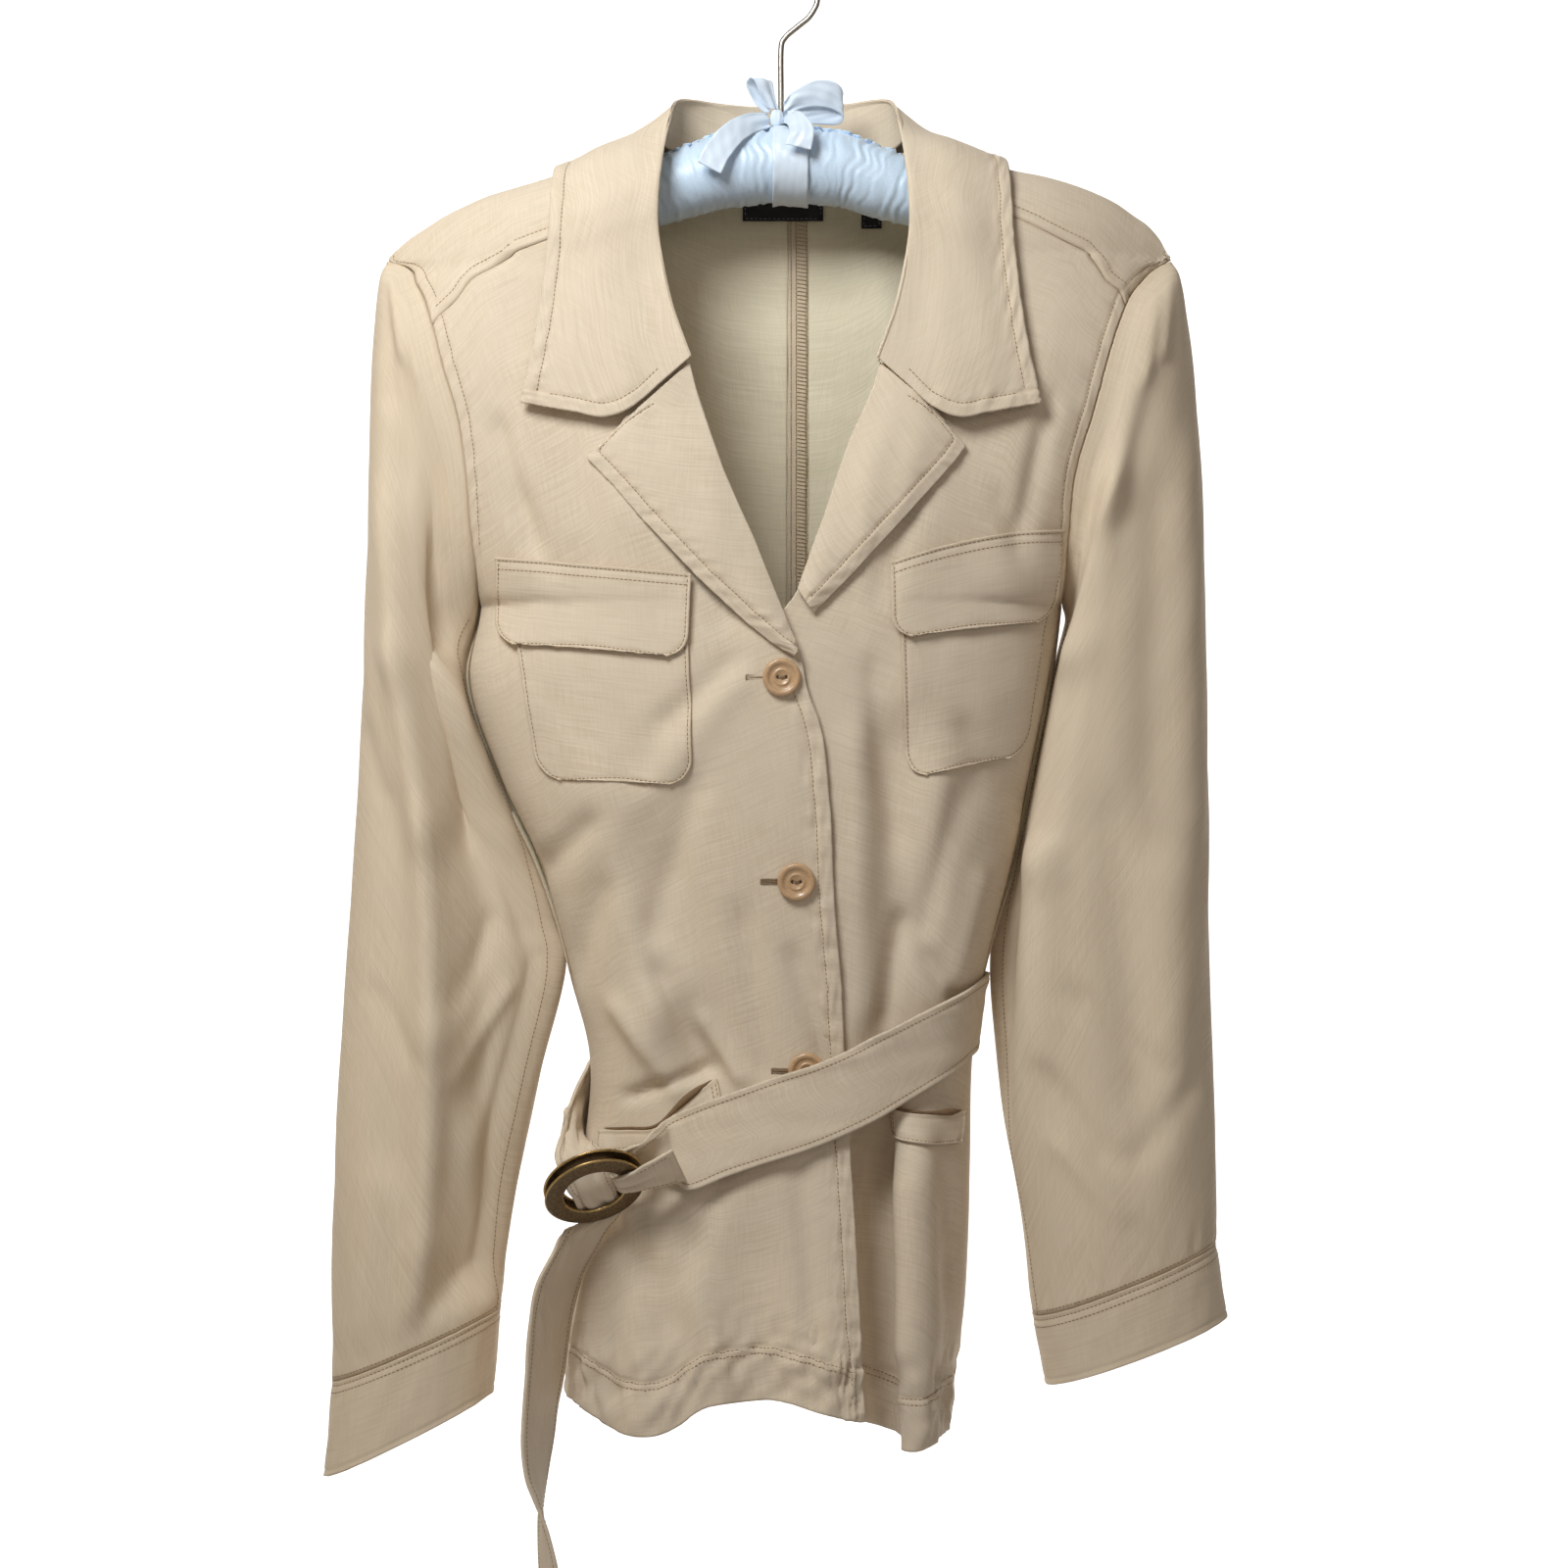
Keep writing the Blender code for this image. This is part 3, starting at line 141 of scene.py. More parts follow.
# Sleeves: outer x, outer drop, inner x, inner drop, y of the middle, half depth,
# and how much of the armhole's own curve is left
LEFT_SLEEVE = np.array([
    (-211.5, 165.5, -161, 350, 0, 36, 1), (-215.5, 175, -163.5, 361, 2, 39, 0.55),
    (-219, 205, -168.5, 386, 6, 43, 0.3), (-221, 250, -164.5, 411, 9, 45, 0.15),
    (-222.5, 310, -151.5, 443, 11, 46, 0.04), (-225, 375, -141, 467, 12, 45, 0),
    (-228, 440, -130.5, 490, 12, 44, 0), (-231.5, 500, -120.5, 521, 10, 43, 0),
    (-235, 560, -116, 546, 7, 42, 0), (-238, 615, -128, 598, 4, 41, 0),
    (-240, 665, -141, 655, 2, 39, 0), (-240.5, 715, -147, 695, 0, 38, 0),
    (-240.5, 765, -150.5, 726, 0, 37, 0),
], dtype=float)
RIGHT_SLEEVE = np.array([
    (209.3, 165.5, 150, 350, 0, 36, 1), (214.5, 175, 152.5, 361, 2, 39, 0.55),
    (220, 205, 146.5, 386, 6, 43, 0.3), (224.5, 250, 141, 413, 9, 45, 0.15),
    (227.5, 310, 134.5, 444, 11, 46, 0.04), (229, 375, 129, 470, 12, 45, 0),
    (230, 435, 122, 495, 12, 44, 0), (230.5, 490, 114.5, 524, 10, 43, 0),
    (231, 545, 112.5, 552, 8, 42, 0), (232, 600, 116, 590, 5, 41, 0), (233, 635, 120.5, 630, 2, 39, 0),
    (233.5, 662, 128.5, 676, 0, 38, 0), (233, 691, 135.2, 730, 0, 37, 0),
], dtype=float)
LEFT_CUFF_END = (-245.0, 816.0, -154.0, 771.0, 0, 37, 0)
RIGHT_CUFF_END = (239.3, 730.0, 141.5, 767.0, 0, 37, 0)

# Collar stations from the viewer's left end to the middle of the back:
# neck seam x, y, drop; roll x, y, drop; outer edge x, y, drop; dip of the lower edge
COLLAR = np.array([
    (-50, -56, 226, -49, -58, 224, -136, -50, 247, 23),
    (-58, -51, 210, -55, -55, 207, -132, -47, 228, 8),
    (-67.5, -45, 192, -60, -51, 190, -128, -44, 207, 0),
    (-73, -35, 160, -66, -43, 156, -124, -36, 175, 0),
    (-73.5, -27, 133, -65, -33, 125, -122, -27, 150, 0),
    (-70, -12, 100.5, -61, -14, 92, -120, -6, 120, 0), (-62, 14, 102, -56, 10, 77, -112, 22, 131, 0),
    (-40, 26.5, 109.5, -38, 25, 76, -76, 42, 146, 0), (-20, 29.5, 112, -18, 30, 77, -36, 47, 153, 0),
    (0, 30.5, 112.6, 0, 31, 77, 0, 48, 155, 0),
], dtype=float)
COLLAR_MIDDLE = 1.5

# Lapels: roll x, roll drop, outer x, outer drop
LEFT_LAPEL = np.array([
    (-47.5, 226.5, -84, 259.5), (-43.3, 243, -101.3, 276), (-36, 265, -87, 291),
    (-29.6, 283, -73.3, 307), (-21, 303, -57.5, 323.5), (-13.3, 320, -43.3, 338.6),
    (-3.2, 345.5, -18.8, 361.5), (5, 365.5, -3, 374), (9.5, 376.5, 7, 379.5),
], dtype=float)
RIGHT_LAPEL = np.array([
    (51.5, 226, 81, 252), (48.3, 238, 96.4, 270), (42.5, 252, 91, 277.5), (36.2, 266, 80, 290),
    (25.2, 298.5, 55, 317.5), (16, 324, 33, 341), (8.5, 345, 16.8, 357),
], dtype=float)

# Chest pockets and flaps: corners as x, drop, then the raise of the top edge's middle
LEFT_FLAP = ((-150, 327), (-46.7, 337), (-151, 371), (-48.5, 380), 0)
RIGHT_FLAP = ((57.3, 331), (150, 312.5), (58, 370), (145.5, 359), 4)
LEFT_POCKET = ((-144, 339), (-49, 348), (-128, 443), (-45.5, 446), 0)
RIGHT_POCKET = ((62, 342), (147, 325), (65, 443), (131, 430), 0)
FLAP_CORNER = 12.0
POCKET_CORNER = 15.0
LEFT_WELT = ((-96, 620), (-34, 600), (-94, 634), (-31, 612), 0)
RIGHT_WELT = ((56, 616), (98.5, 619.5), (57, 631), (97, 636), 0)

# Buttons: x, drop
BUTTONS = ((0.5, 390.7), (8.1, 496.7), (13.7, 596.0))

BELT_WIDTH = 40.0
BELT_RADIUS = 105.0  # of the body where the belt lies, for its slope
# Run round the body: turn from the front's middle in degrees, drop of the belt's middle
BELT_ROUND = np.array([
    (-27, 639), (-22, 635), (-7, 624.5), (6, 615), (18, 606), (36, 591), (60, 576), (90, 567),
    (120, 571), (150, 580), (180, 590), (210, 600), (240, 609), (266, 618),
], dtype=float)
# Hanging tail: x, y, drop, turn of the width from +x in degrees, width
BELT_TAIL = np.array([
    (-103, -44, 681, 35, 28), (-108, -43, 691, 50, 35), (-116, -42, 706, 58, 40),
    (-121, -41, 728, 60, 40), (-124, -40, 756, 64, 40), (-127, -40, 783, 68, 40),
    (-128, -40, 805, 75, 39), (-126.5, -40, 820, 87, 37), (-125, -40, 835, 100, 37),
    (-122.5, -39, 855, 108, 38), (-120, -38, 878, 113, 40), (-118, -37, 900, 118, 40),
], dtype=float)

# Rings of the belt, and the cloth's run through them: along the belt and square to the rings with
# the cloth's width (the fastened loop), along, across and square to them with the width (the free end)
RING_CENTRE = (-96.5, -66.0, 656.9)
RING_OUTER = 26.5
RING_INNER = 16.5
RING_THICK = 2.0
RING_PITCH = 6.2
RING_SLOPE = math.radians(20)
RING_TILT = math.radians(50)
LOOP_PATH = (
    (46, 2.6, 30), (38, 2.8, 27), (30, 3.0, 23), (22, 2.9, 18), (16.4, 2.5, 15),
    (13.2, 1.2, 14), (12.4, -1.5, 14), (12.4, -4.8, 14), (13.4, -7.8, 14),
    (16.6, -9.4, 15), (23, -9.8, 20), (31, -9.6, 26),
)
THREAD_PATH = (
    (-1.5, 12, -17, 24), (-1.5, 7, -12.5, 22), (-1.5, 2, -8, 22), (-1.5, -4, -4.6, 22),
    (-1.5, -11, -3.1, 22), (-1.5, -19, -3.1, 22), (-2, -28, -3.1, 22),
)

# Hanger: x, drop, radius of the padded bar
PAD = np.array([
    (-190, 173.5, 4), (-187, 172.5, 7), (-178, 168, 10), (-165, 161.5, 12.5), (-148, 154.5, 15),
    (-120, 143.5, 18), (-92, 134.7, 18.1), (-78, 133, 16.4), (-64, 128.6, 18.1), (-34, 118, 20.3),
    (0, 114, 20.3), (34, 117, 20.3), (64, 128.1, 18.3), (78, 132.2, 16.7), (92, 134, 18.3),
    (120, 142, 18), (148, 151.5, 15), (165, 158, 12.5), (178, 164, 10), (187, 168.5, 7),
    (190, 169.5, 4),
], dtype=float)
HOOK_WIRE_RADIUS = 1.6
HOOK_RADIUS = 20.5
STEM_PATH = ((0, 91.8), (0, 75), (0, 52), (2.2, 45.5), (9, 39.5), (15, 34.5), (18.7, 28.5))
HOOK_ARC = (-18, 208)
HOOK_SHOWN = 190
BAND_X = (-4.5, 14.5)
RIBBON = 0.7
LABEL = (-21, 23, 118, 138)
TAB = (44, 55, 127, 142)

# Bow of ribbon: middle line x, y, drop with the width of the ribbon, one table a piece
BOW_PIECES = {
    "ribbon_loop_right": (
        (1.5, -4.6, 85, 8), (8, -6.4, 80, 11), (18, -8, 77, 14), (28, -8, 78, 15), (33, -5.5, 82, 14),
        (31, -3, 86.5, 12), (22, -2, 86.8, 11), (10, -2.4, 87.4, 9), (3, -2.8, 88.3, 7),
    ),
    "ribbon_loop_left": (
        (-3.9, -3.9, 84.6, 6), (-7.5, -6, 76, 9), (-9.5, -7, 70, 11), (-12, -6, 69, 11),
        (-14, -3.5, 73, 10), (-11.5, -2.2, 80, 8), (-7.2, -2.2, 86, 6),
    ),
    "ribbon_tail_left": (
        (-6.5, -4.3, 90.3, 8), (-16, -12.5, 93.5, 11), (-25, -20, 100, 13), (-33, -25, 110, 14), (-38, -27, 120, 14),
    ),
    "ribbon_tail_right": (
        (2.2, -5.2, 89.2, 7), (7, -16.5, 91.5, 10), (11, -25, 100, 13), (9, -27.5, 109, 14),
    ),
}

Line = tuple[np.ndarray, np.ndarray]  # points on the cloth and the cloth's normals there
Socket = bpy.types.NodeSocket


class Edge(Enum):
    """The four edges of a grid: its first and last row, its first and last column."""

    TOP = "top"
    BOTTOM = "bottom"
    START = "start"
    END = "end"


def smooth(table: np.ndarray, x: np.ndarray, column: int = 1) -> np.ndarray:
    """Cubic curve through a table's column, held level past its ends.

    Args:
        table: rows of a place and its values.
        x: places to read.
        column: which value to read.

    Returns:
        The value at every place, by Hermite's cubic between neighbouring rows.
    """
    xs, ys = table[:, 0], table[:, column]
    slopes = np.gradient(ys, xs)
    x = np.clip(np.asarray(x, float), xs[0], xs[-1])
    i = np.clip(np.searchsorted(xs, x) - 1, 0, len(xs) - 2)
    step = xs[i + 1] - xs[i]
    t = (x - xs[i]) / step
    start = ys[i] * (1 + 2 * t) * (1 - t) ** 2
    stop = ys[i + 1] * t**2 * (3 - 2 * t)
    return start + stop + step * t * (1 - t) * (slopes[i] * (1 - t) - slopes[i + 1] * t)


def ease(x: np.ndarray) -> np.ndarray:
    """Smooth step from 0 to 1, as 3x^2 - 2x^3 held past its ends."""
    x = np.clip(x, 0.0, 1.0)
    return x * x * (3 - 2 * x)


def bell(x: np.ndarray, width: float) -> np.ndarray:
    """Bell of height 1 about zero, as exp(-(x / width)^2)."""
    return np.exp(-((x / width) ** 2))


def below_armhole(drop: np.ndarray) -> np.ndarray:
    """Share from 0 at the chest to 1 under the armhole, where the body's section gets rounder."""
    return ease((drop - 300) / 80)


def full_turn(count: int) -> np.ndarray:
    """Angles once round, in even steps that stop one short of the first."""
    return np.arange(count) / count * 2 * math.pi


def running_length(path: np.ndarray) -> np.ndarray:
    """Length run along a path up to each of its points."""
    return np.concatenate([[0], np.cumsum(np.linalg.norm(np.diff(path, axis=0), axis=-1))])


def unit(vectors: np.ndarray) -> np.ndarray:
    """The vectors, each divided by its length."""
    return vectors / np.maximum(np.linalg.norm(vectors, axis=-1, keepdims=True), 1e-9)


def with_y(x: np.ndarray, drop: np.ndarray, y: np.ndarray) -> np.ndarray:
    """Points of x, y and drop."""
    return np.stack(np.broadcast_arrays(x, y, drop), -1).astype(float)


def soft_noise(x: np.ndarray, y: np.ndarray, seed: int) -> np.ndarray:
    """Smooth uneven field between about -1 and 1: a sum of five sine waves of unlike directions.

    Args:
        x: places along, in units of about one wave.
        y: places across, in the same units.
        seed: picks the waves' directions, lengths and phases.

    Returns:
        One value a place.
    """
    rng = np.random.default_rng(seed)
    total = np.zeros(np.broadcast(x, y).shape)
    for _ in range(5):
        angle = rng.uniform(0, 2 * math.pi)
        length = rng.uniform(0.6, 1.5)
        phase = rng.uniform(0, 2 * math.pi)
        total += np.sin((x * math.cos(angle) + y * math.sin(angle)) * 2 * math.pi / length + phase)
    return total / 3.2


def fold_height(folds: tuple, x: np.ndarray, drop: np.ndarray) -> np.ndarray:
    """Sum of soft ridges and troughs, a bell across each line, fading out past its two ends.

    Args:
        folds: rows of x and drop of both ends, half width and height.
        x: places across the body.
        drop: their drops.

    Returns:
        One height a place.
    """
    total = np.zeros(np.broadcast(x, drop).shape)
    for x0, d0, x1, d1, width, height in folds:
        length = math.hypot(x1 - x0, d1 - d0)
        ux, ud = (x1 - x0) / length, (d1 - d0) / length
        along = (x - x0) * ux + (drop - d0) * ud
        across = (x - x0) * ud - (drop - d0) * ux
        past = np.maximum(np.maximum(-along, along - length), 0) / (1.6 * width)
        total += height * np.exp(-((across / width) ** 2) - past**2)
    return total


def shoulder_drop(f: np.ndarray) -> np.ndarray:
    """Drop of the shoulder line at a fraction of the half width, negative at the viewer's left."""
    return np.where(f < 0, smooth(SHOULDER, np.abs(f), 1), smooth(SHOULDER, np.abs(f), 2))


def half_width(f: np.ndarray, drop: np.ndarray) -> np.ndarray:
    """Half width of the body at a drop, on the side that f's sign names."""
    return np.where(f < 0, smooth(BODY, drop, 1), smooth(BODY, drop, 2))


def body_depth(f: np.ndarray, drop: np.ndarray, below: np.ndarray, folds: tuple, column: int) -> np.ndarray:
    """Depth of the cloth from the shoulder plane.

    Args:
        f: fraction of the half width.
        drop: drop of the point.
        below: how far the point lies under the shoulder line.
        folds: folds of this panel.
        column: the BODY column with the depth at the middle.

    Returns:
        The armhole's ellipse at the sides, rounding to the middle's depth, plus the folds.
    """
    off = (drop - ARM_MIDDLE) / ARM_HALF
    edge = ARM_HALF_DEPTH * np.sqrt(np.clip(1 - off**2, 0, None))
    q = np.clip(np.abs(f), 0, 1)
    low = below_armhole(drop)
    across = (1 - low) * (1 - q**SHOULDER_POWER)
    across = across + low * (1 - q**SIDE_POWER) ** (1 / SIDE_POWER)
    roll = np.sqrt(1 - (1 - np.clip(below / RIDGE_ROLL, 0, 1)) ** 2)
    middle = smooth(BODY, drop, column)
    fold = fold_height(folds, f * half_width(f, drop), drop) * (1 - q**6) * roll**3
    return roll * (edge + (middle - edge) * across) + fold


def front_depth(x: np.ndarray, drop: np.ndarray, side: int) -> np.ndarray:
    """Depth of a front's outer face; the left front lies over the right one.

    Args:
        x: places across the body.
        drop: their drops.
        side: -1 for the left front, 1 for the right one.

    Returns:
        One depth a place.
    """
    f = x / half_width(x, drop)
    below = drop - shoulder_drop(f)
    if side < 0:
        return body_depth(f, drop, below, LEFT_FOLDS, 3) + LAP * ease((x + 72) / 40)
    own = body_depth(f, drop, below, RIGHT_FOLDS, 3)
    under = body_depth(f, drop, below, LEFT_FOLDS, 3) - UNDER_LAP
    return np.where(x < 46, own + (np.minimum(own, under) - own) * ease((46 - x) / 12), own)


def back_depth(x: np.ndarray, drop: np.ndarray) -> np.ndarray:
    """Depth of the back's outer face."""
    f = x / half_width(x, drop)
    return body_depth(f, drop, drop - shoulder_drop(f), BACK_FOLDS, 4)


def spread(length: float, coarse: float, fine: float, start: float, end: float) -> np.ndarray:
    """Shares from 0 to 1 along a length, closer together near its ends.

    Args:
        length: the whole length.
        coarse: step in the middle.
        fine: step near an end.
        start: length of the fine stretch at the start, 0 for none.
        end: length of the fine stretch at the end, 0 for none.

    Returns:
        Increasing shares, 0 first and 1 last.
    """
    at = np.linspace(0, length, 400)
    near = np.maximum(ease(2 - at / max(start, 1e-6)), ease(2 - (length - at) / max(end, 1e-6)))
    density = 1 / (coarse + (fine - coarse) * near)
    count = np.concatenate([[0], np.cumsum((density[1:] + density[:-1]) / 2 * np.diff(at))])
    steps = max(int(round(count[-1])), 2)
    return np.interp(np.linspace(0, count[-1], steps + 1), count, at) / length


def resample(points: np.ndarray, places: np.ndarray, axis: int = 0) -> np.ndarray:
    """Points read along one axis of a grid at fractional indices, by Hermite's cubic.

    Args:
        points: the grid, its last axis x, y and drop.
        places: fractional indices to read.
        axis: the axis that they run along.

    Returns:
        The grid with that axis read anew.
    """
    points = np.moveaxis(points, axis, 0)
    slopes = np.gradient(points, axis=0)
    i = np.clip(np.floor(places).astype(int), 0, len(points) - 2)
    t = (places - i).reshape(-1, *([1] * (points.ndim - 1)))
    made = points[i] * (1 + 2 * t) * (1 - t) ** 2 + points[i + 1] * t**2 * (3 - 2 * t)
    made = made + t * (1 - t) * (slopes[i] * (1 - t) - slopes[i + 1] * t)
    return np.moveaxis(made, 0, axis)


@dataclass
class Surface:
    """A grid of points on a cloth's outer face.

    Attributes:
        points: rows and columns of x, y and drop.
        closed: whether its last column joins its first.
        flip: whether the two tangents' cross points inwards.
        tone: painted shade along sewn lines and edges, from 0 to 1, one a point.
    """

    points: np.ndarray
    closed: bool = False
    flip: bool = False
    tone: np.ndarray | None = None

    def lengths(self) -> tuple[np.ndarray, np.ndarray]:
        """Length run from the first row and from the first column to every point."""
        down = np.linalg.norm(np.diff(self.points, axis=0), axis=-1)
        along = np.linalg.norm(np.diff(self.points, axis=1), axis=-1)
        down = np.concatenate([np.zeros((1, down.shape[1])), np.cumsum(down, axis=0)])
        along = np.concatenate([np.zeros((along.shape[0], 1)), np.cumsum(along, axis=1)], axis=1)
        return down, along

    def from_edge(self, edge: Edge) -> np.ndarray:
        """Distance of every point from one edge, along the cloth.

        Args:
            edge: the edge to measure from.

        Returns:
            One distance a point.
        """
        down, along = self.lengths()
        if edge is Edge.TOP:
            return down
        if edge is Edge.BOTTOM:
            return down[-1:] - down
        return along if edge is Edge.START else along[:, -1:] - along

    def normals(self) -> np.ndarray:
        """Outward direction at every point, from the cross of the two tangents."""
        if self.closed:
            ring = np.concatenate([self.points[:, -1:], self.points, self.points[:, :1]], axis=1)
            along = ring[:, 2:] - ring[:, :-2]
        else:
            along = np.gradient(self.points, axis=1)
        normal = unit(np.cross(np.gradient(self.points, axis=0), along))
        return -normal if self.flip else normal

    def pushed(self, amount: np.ndarray) -> "Surface":
        """The surface moved out along its own normals by an amount a point."""
        return Surface(self.points + self.normals() * np.asarray(amount)[..., None], self.closed, self.flip, self.tone)

    def toned(self, *lines: tuple) -> "Surface":
        """The surface with painted shade marked along its sewn lines and edges, for the finish to darken.

        Args:
            lines: an edge, the distance of a line from it and the line's half width, one tuple a line,
                with a mask as a fourth value where the line doesn't run all along.

        Returns:
            The same surface, its tone a bell across every line.
        """
        tone = np.zeros(self.points.shape[:2])
        for edge, inset, width, *mask in lines:
            mark = bell(self.from_edge(edge) - inset, width)
            tone = np.maximum(tone, mark * mask[0] if mask else mark)
        return Surface(self.points, self.closed, self.flip, tone)

    def facing_front(self) -> "Surface":
        """The same surface, flipped where needed so that its outer side looks to the front."""
        self.flip = bool(self.normals()[..., 1].mean() > 0)
        return self

    def line(self, edge: Edge, inset: float, start: float = 0.0, end: float = 0.0) -> Line:
        """A line on the cloth at a set distance in from one edge.

        Args:
            edge: the edge it follows.
            inset: its distance from that edge.
            start: length left out at its start.
            end: length left out at its end.

        Returns:
            Its points and the cloth's normals there.
        """
        points, normals = self.points, self.normals()
        far = self.from_edge(edge)
        if edge in (Edge.TOP, Edge.BOTTOM):
            points, normals, far = np.swapaxes(points, 0, 1), np.swapaxes(normals, 0, 1), far.T
        if edge in (Edge.BOTTOM, Edge.END):
            points, normals, far = points[:, ::-1], normals[:, ::-1], far[:, ::-1]
        i = np.clip((far < inset).sum(axis=1) - 1, 0, far.shape[1] - 2)
        row = np.arange(len(far))
        t = (inset - far[row, i]) / np.maximum(far[row, i + 1] - far[row, i], 1e-6)
        t = np.clip(t, 0, 1)[:, None]
        path = points[row, i] * (1 - t) + points[row, i + 1] * t
        up = unit(normals[row, i] * (1 - t) + normals[row, i + 1] * t)
        run = running_length(path)
        kept = (run >= start) & (run <= run[-1] - end)
        return path[kept], up[kept]


def write_mesh(
    name: str,
    points: np.ndarray,
    faces: np.ndarray,
    look: bpy.types.Material,
    uvs: np.ndarray | None = None,
    tone: np.ndarray | None = None,
) -> bpy.types.Object:
    """A mesh object from points in millimetres and drops.

    Args:
        name: the piece's name.
        points: (n, 3) x, y, drop.
        faces: (m, 3 or 4) indices, facing out.
        look: its material.
        uvs: (n, 2) cloth coordinates in metres, written as a UV map.
        tone: (n,) painted shade along sewn lines and edges, from 0 to 1, written as an attribute.

    Returns:
        The new object, linked to the scene.
    """
    mesh = bpy.data.meshes.new(name)
    corners = faces.shape[1]
    mesh.vertices.add(len(points))
    mesh.vertices.foreach_set("co", (points * (MM, MM, -MM)).astype(np.float32).ravel())
    mesh.loops.add(faces.size)
    mesh.loops.foreach_set("vertex_index", faces[:, ::-1].astype(np.int32).ravel())
    mesh.polygons.add(len(faces))
    mesh.polygons.foreach_set("loop_start", np.arange(0, faces.size, corners, dtype=np.int32))
    mesh.update(calc_edges=True)
    if uvs is not None:
        layer = mesh.uv_layers.new(name="cloth")
        layer.data.foreach_set("uv", uvs[faces[:, ::-1].ravel()].astype(np.float32).ravel())
    # Painted shade along sewn lines and edges, stored for the linen to darken by.
    if tone is not None:
        mark = mesh.attributes.new("tone", "FLOAT", "POINT")
        mark.data.foreach_set("value", tone.astype(np.float32).ravel())
    mesh.materials.append(look)
    mesh.shade_smooth()
    made = bpy.data.objects.new(name, mesh)
    bpy.context.scene.collection.objects.link(made)
    return made


def grid_faces(rows: int, columns: int, closed: bool) -> np.ndarray:
    """Four-cornered faces of a grid.

    Args:
        rows: its rows.
        columns: its columns.
        closed: whether the last column joins the first.

    Returns:
        (n, 4) indices of its points.
    """
    i, j = np.meshgrid(np.arange(rows - 1), np.arange(columns if closed else columns - 1), indexing="ij")
    after = (j + 1) % columns
    faces = [i * columns + j, (i + 1) * columns + j, (i + 1) * columns + after, i * columns + after]
    return np.stack(faces, -1).reshape(-1, 4)


def rim_loop(rows: int, columns: int) -> np.ndarray:
    """Indices round an open grid's rim, once, starting along its first row."""
    grid = np.arange(rows * columns).reshape(rows, columns)
    return np.concatenate([grid[0, :-1], grid[:-1, -1], grid[-1, :0:-1], grid[:0:-1, 0]])


def cloth_shell(
    name: str,
    surface: Surface,
    look: bpy.types.Material,
    thickness: float = CLOTH,
    turn_uv: float = 0.0,
    inside: bpy.types.Material | None = None,
) -> bpy.types.Object:
    """Cloth as a closed shell: the outer face, the same grid moved in, and the rims between them.

    Args:
        name: the piece's name.
        surface: its outer face.
        look: its material.
        thickness: wall of the cloth.
        turn_uv: angle of the weave on the piece, in radians.
        inside: material of its inner face, where that isn't the same.

    Returns:
        The new object.
    """
    rows, columns = surface.points.shape[:2]
    closed = surface.closed
    inner = surface.points - surface.normals() * thickness
    down, along = surface.lengths()
    middle = 0 if closed else columns // 2
    u = along - along[:, middle : middle + 1]
    uv = np.stack([u, -down], -1) * MM
    cos, sin = math.cos(turn_uv), math.sin(turn_uv)
    uv = np.stack([uv[..., 0] * cos - uv[..., 1] * sin, uv[..., 0] * sin + uv[..., 1] * cos], -1)
    points = np.concatenate([surface.points.reshape(-1, 3), inner.reshape(-1, 3)])
    uvs = np.concatenate([uv.reshape(-1, 2)] * 2)
    outer_faces = grid_faces(rows, columns, closed)
    size = rows * columns
    if closed:
        loops = [np.arange(columns), (rows - 1) * columns + np.arange(columns)[::-1]]
    else:
        loops = [rim_loop(rows, columns)]
    rims = [np.stack([loop, np.roll(loop, -1), np.roll(loop, -1) + size, loop + size], -1) for loop in loops]
    faces = np.concatenate([outer_faces, outer_faces[:, ::-1] + size, *rims])
    if surface.flip:
        faces = faces[:, ::-1]
    tone = np.zeros(surface.points.shape[:2]) if surface.tone is None else surface.tone
    made = write_mesh(name, points, faces, look, uvs, np.concatenate([tone.ravel()] * 2))
    if inside:
        made.data.materials.append(inside)
        which = np.zeros(len(faces), dtype=np.int32)
        which[len(outer_faces) : 2 * len(outer_faces)] = 1
        made.data.polygons.foreach_set("material_index", which)
    return made


def tube_piece(
    name: str, path: np.ndarray, radius: float | np.ndarray, around: int, look: bpy.types.Material
) -> bpy.types.Object:
    """A round tube along a path, its ends closed to a point, as its own object.

    Args:
        name: the piece's name.
        path: (n, 3) its middle line.
        radius: one radius or one a point.
        around: points round it.
        look: its material.

    Returns:
        The new object; each ring stands square to the path's own direction there.
    """
    heading = unit(np.gradient(path, axis=0))
    side = unit(np.cross(heading, np.array([0.31, 0.87, 0.38])))
    over = np.cross(heading, side)
    turn = full_turn(around)
    radius = np.broadcast_to(np.asarray(radius, float), len(path))[:, None, None]
    ring = side[:, None] * np.cos(turn)[None, :, None] + over[:, None] * np.sin(turn)[None, :, None]
    points = (path[:, None] + ring * radius).reshape(-1, 3)
    faces = grid_faces(len(path), around, True)[:, ::-1]
    last = (len(path) - 1) * around + np.arange(around)
    first = np.arange(around)
    ends = np.stack([np.roll(first, -1), first, np.full(around, len(points))], -1)
    stops = np.stack([last, np.roll(last, -1), np.full(around, len(points) + 1)], -1)
    points = np.concatenate([points, path[:1], path[-1:]])
    return write_mesh(name, points, as_triangles(faces, ends, stops), look)


def as_triangles(*groups: np.ndarray) -> np.ndarray:
    """Faces of three and four corners, all as triangles.

    Args:
        groups: arrays of faces, each of one kind.

    Returns:
        (n, 3) indices, group after group.
    """
    made = []
    for faces in groups:
        made.append(faces[:, :3])
        if faces.shape[1] == 4:
            made.append(faces[:, [0, 2, 3]])
    return np.concatenate(made)


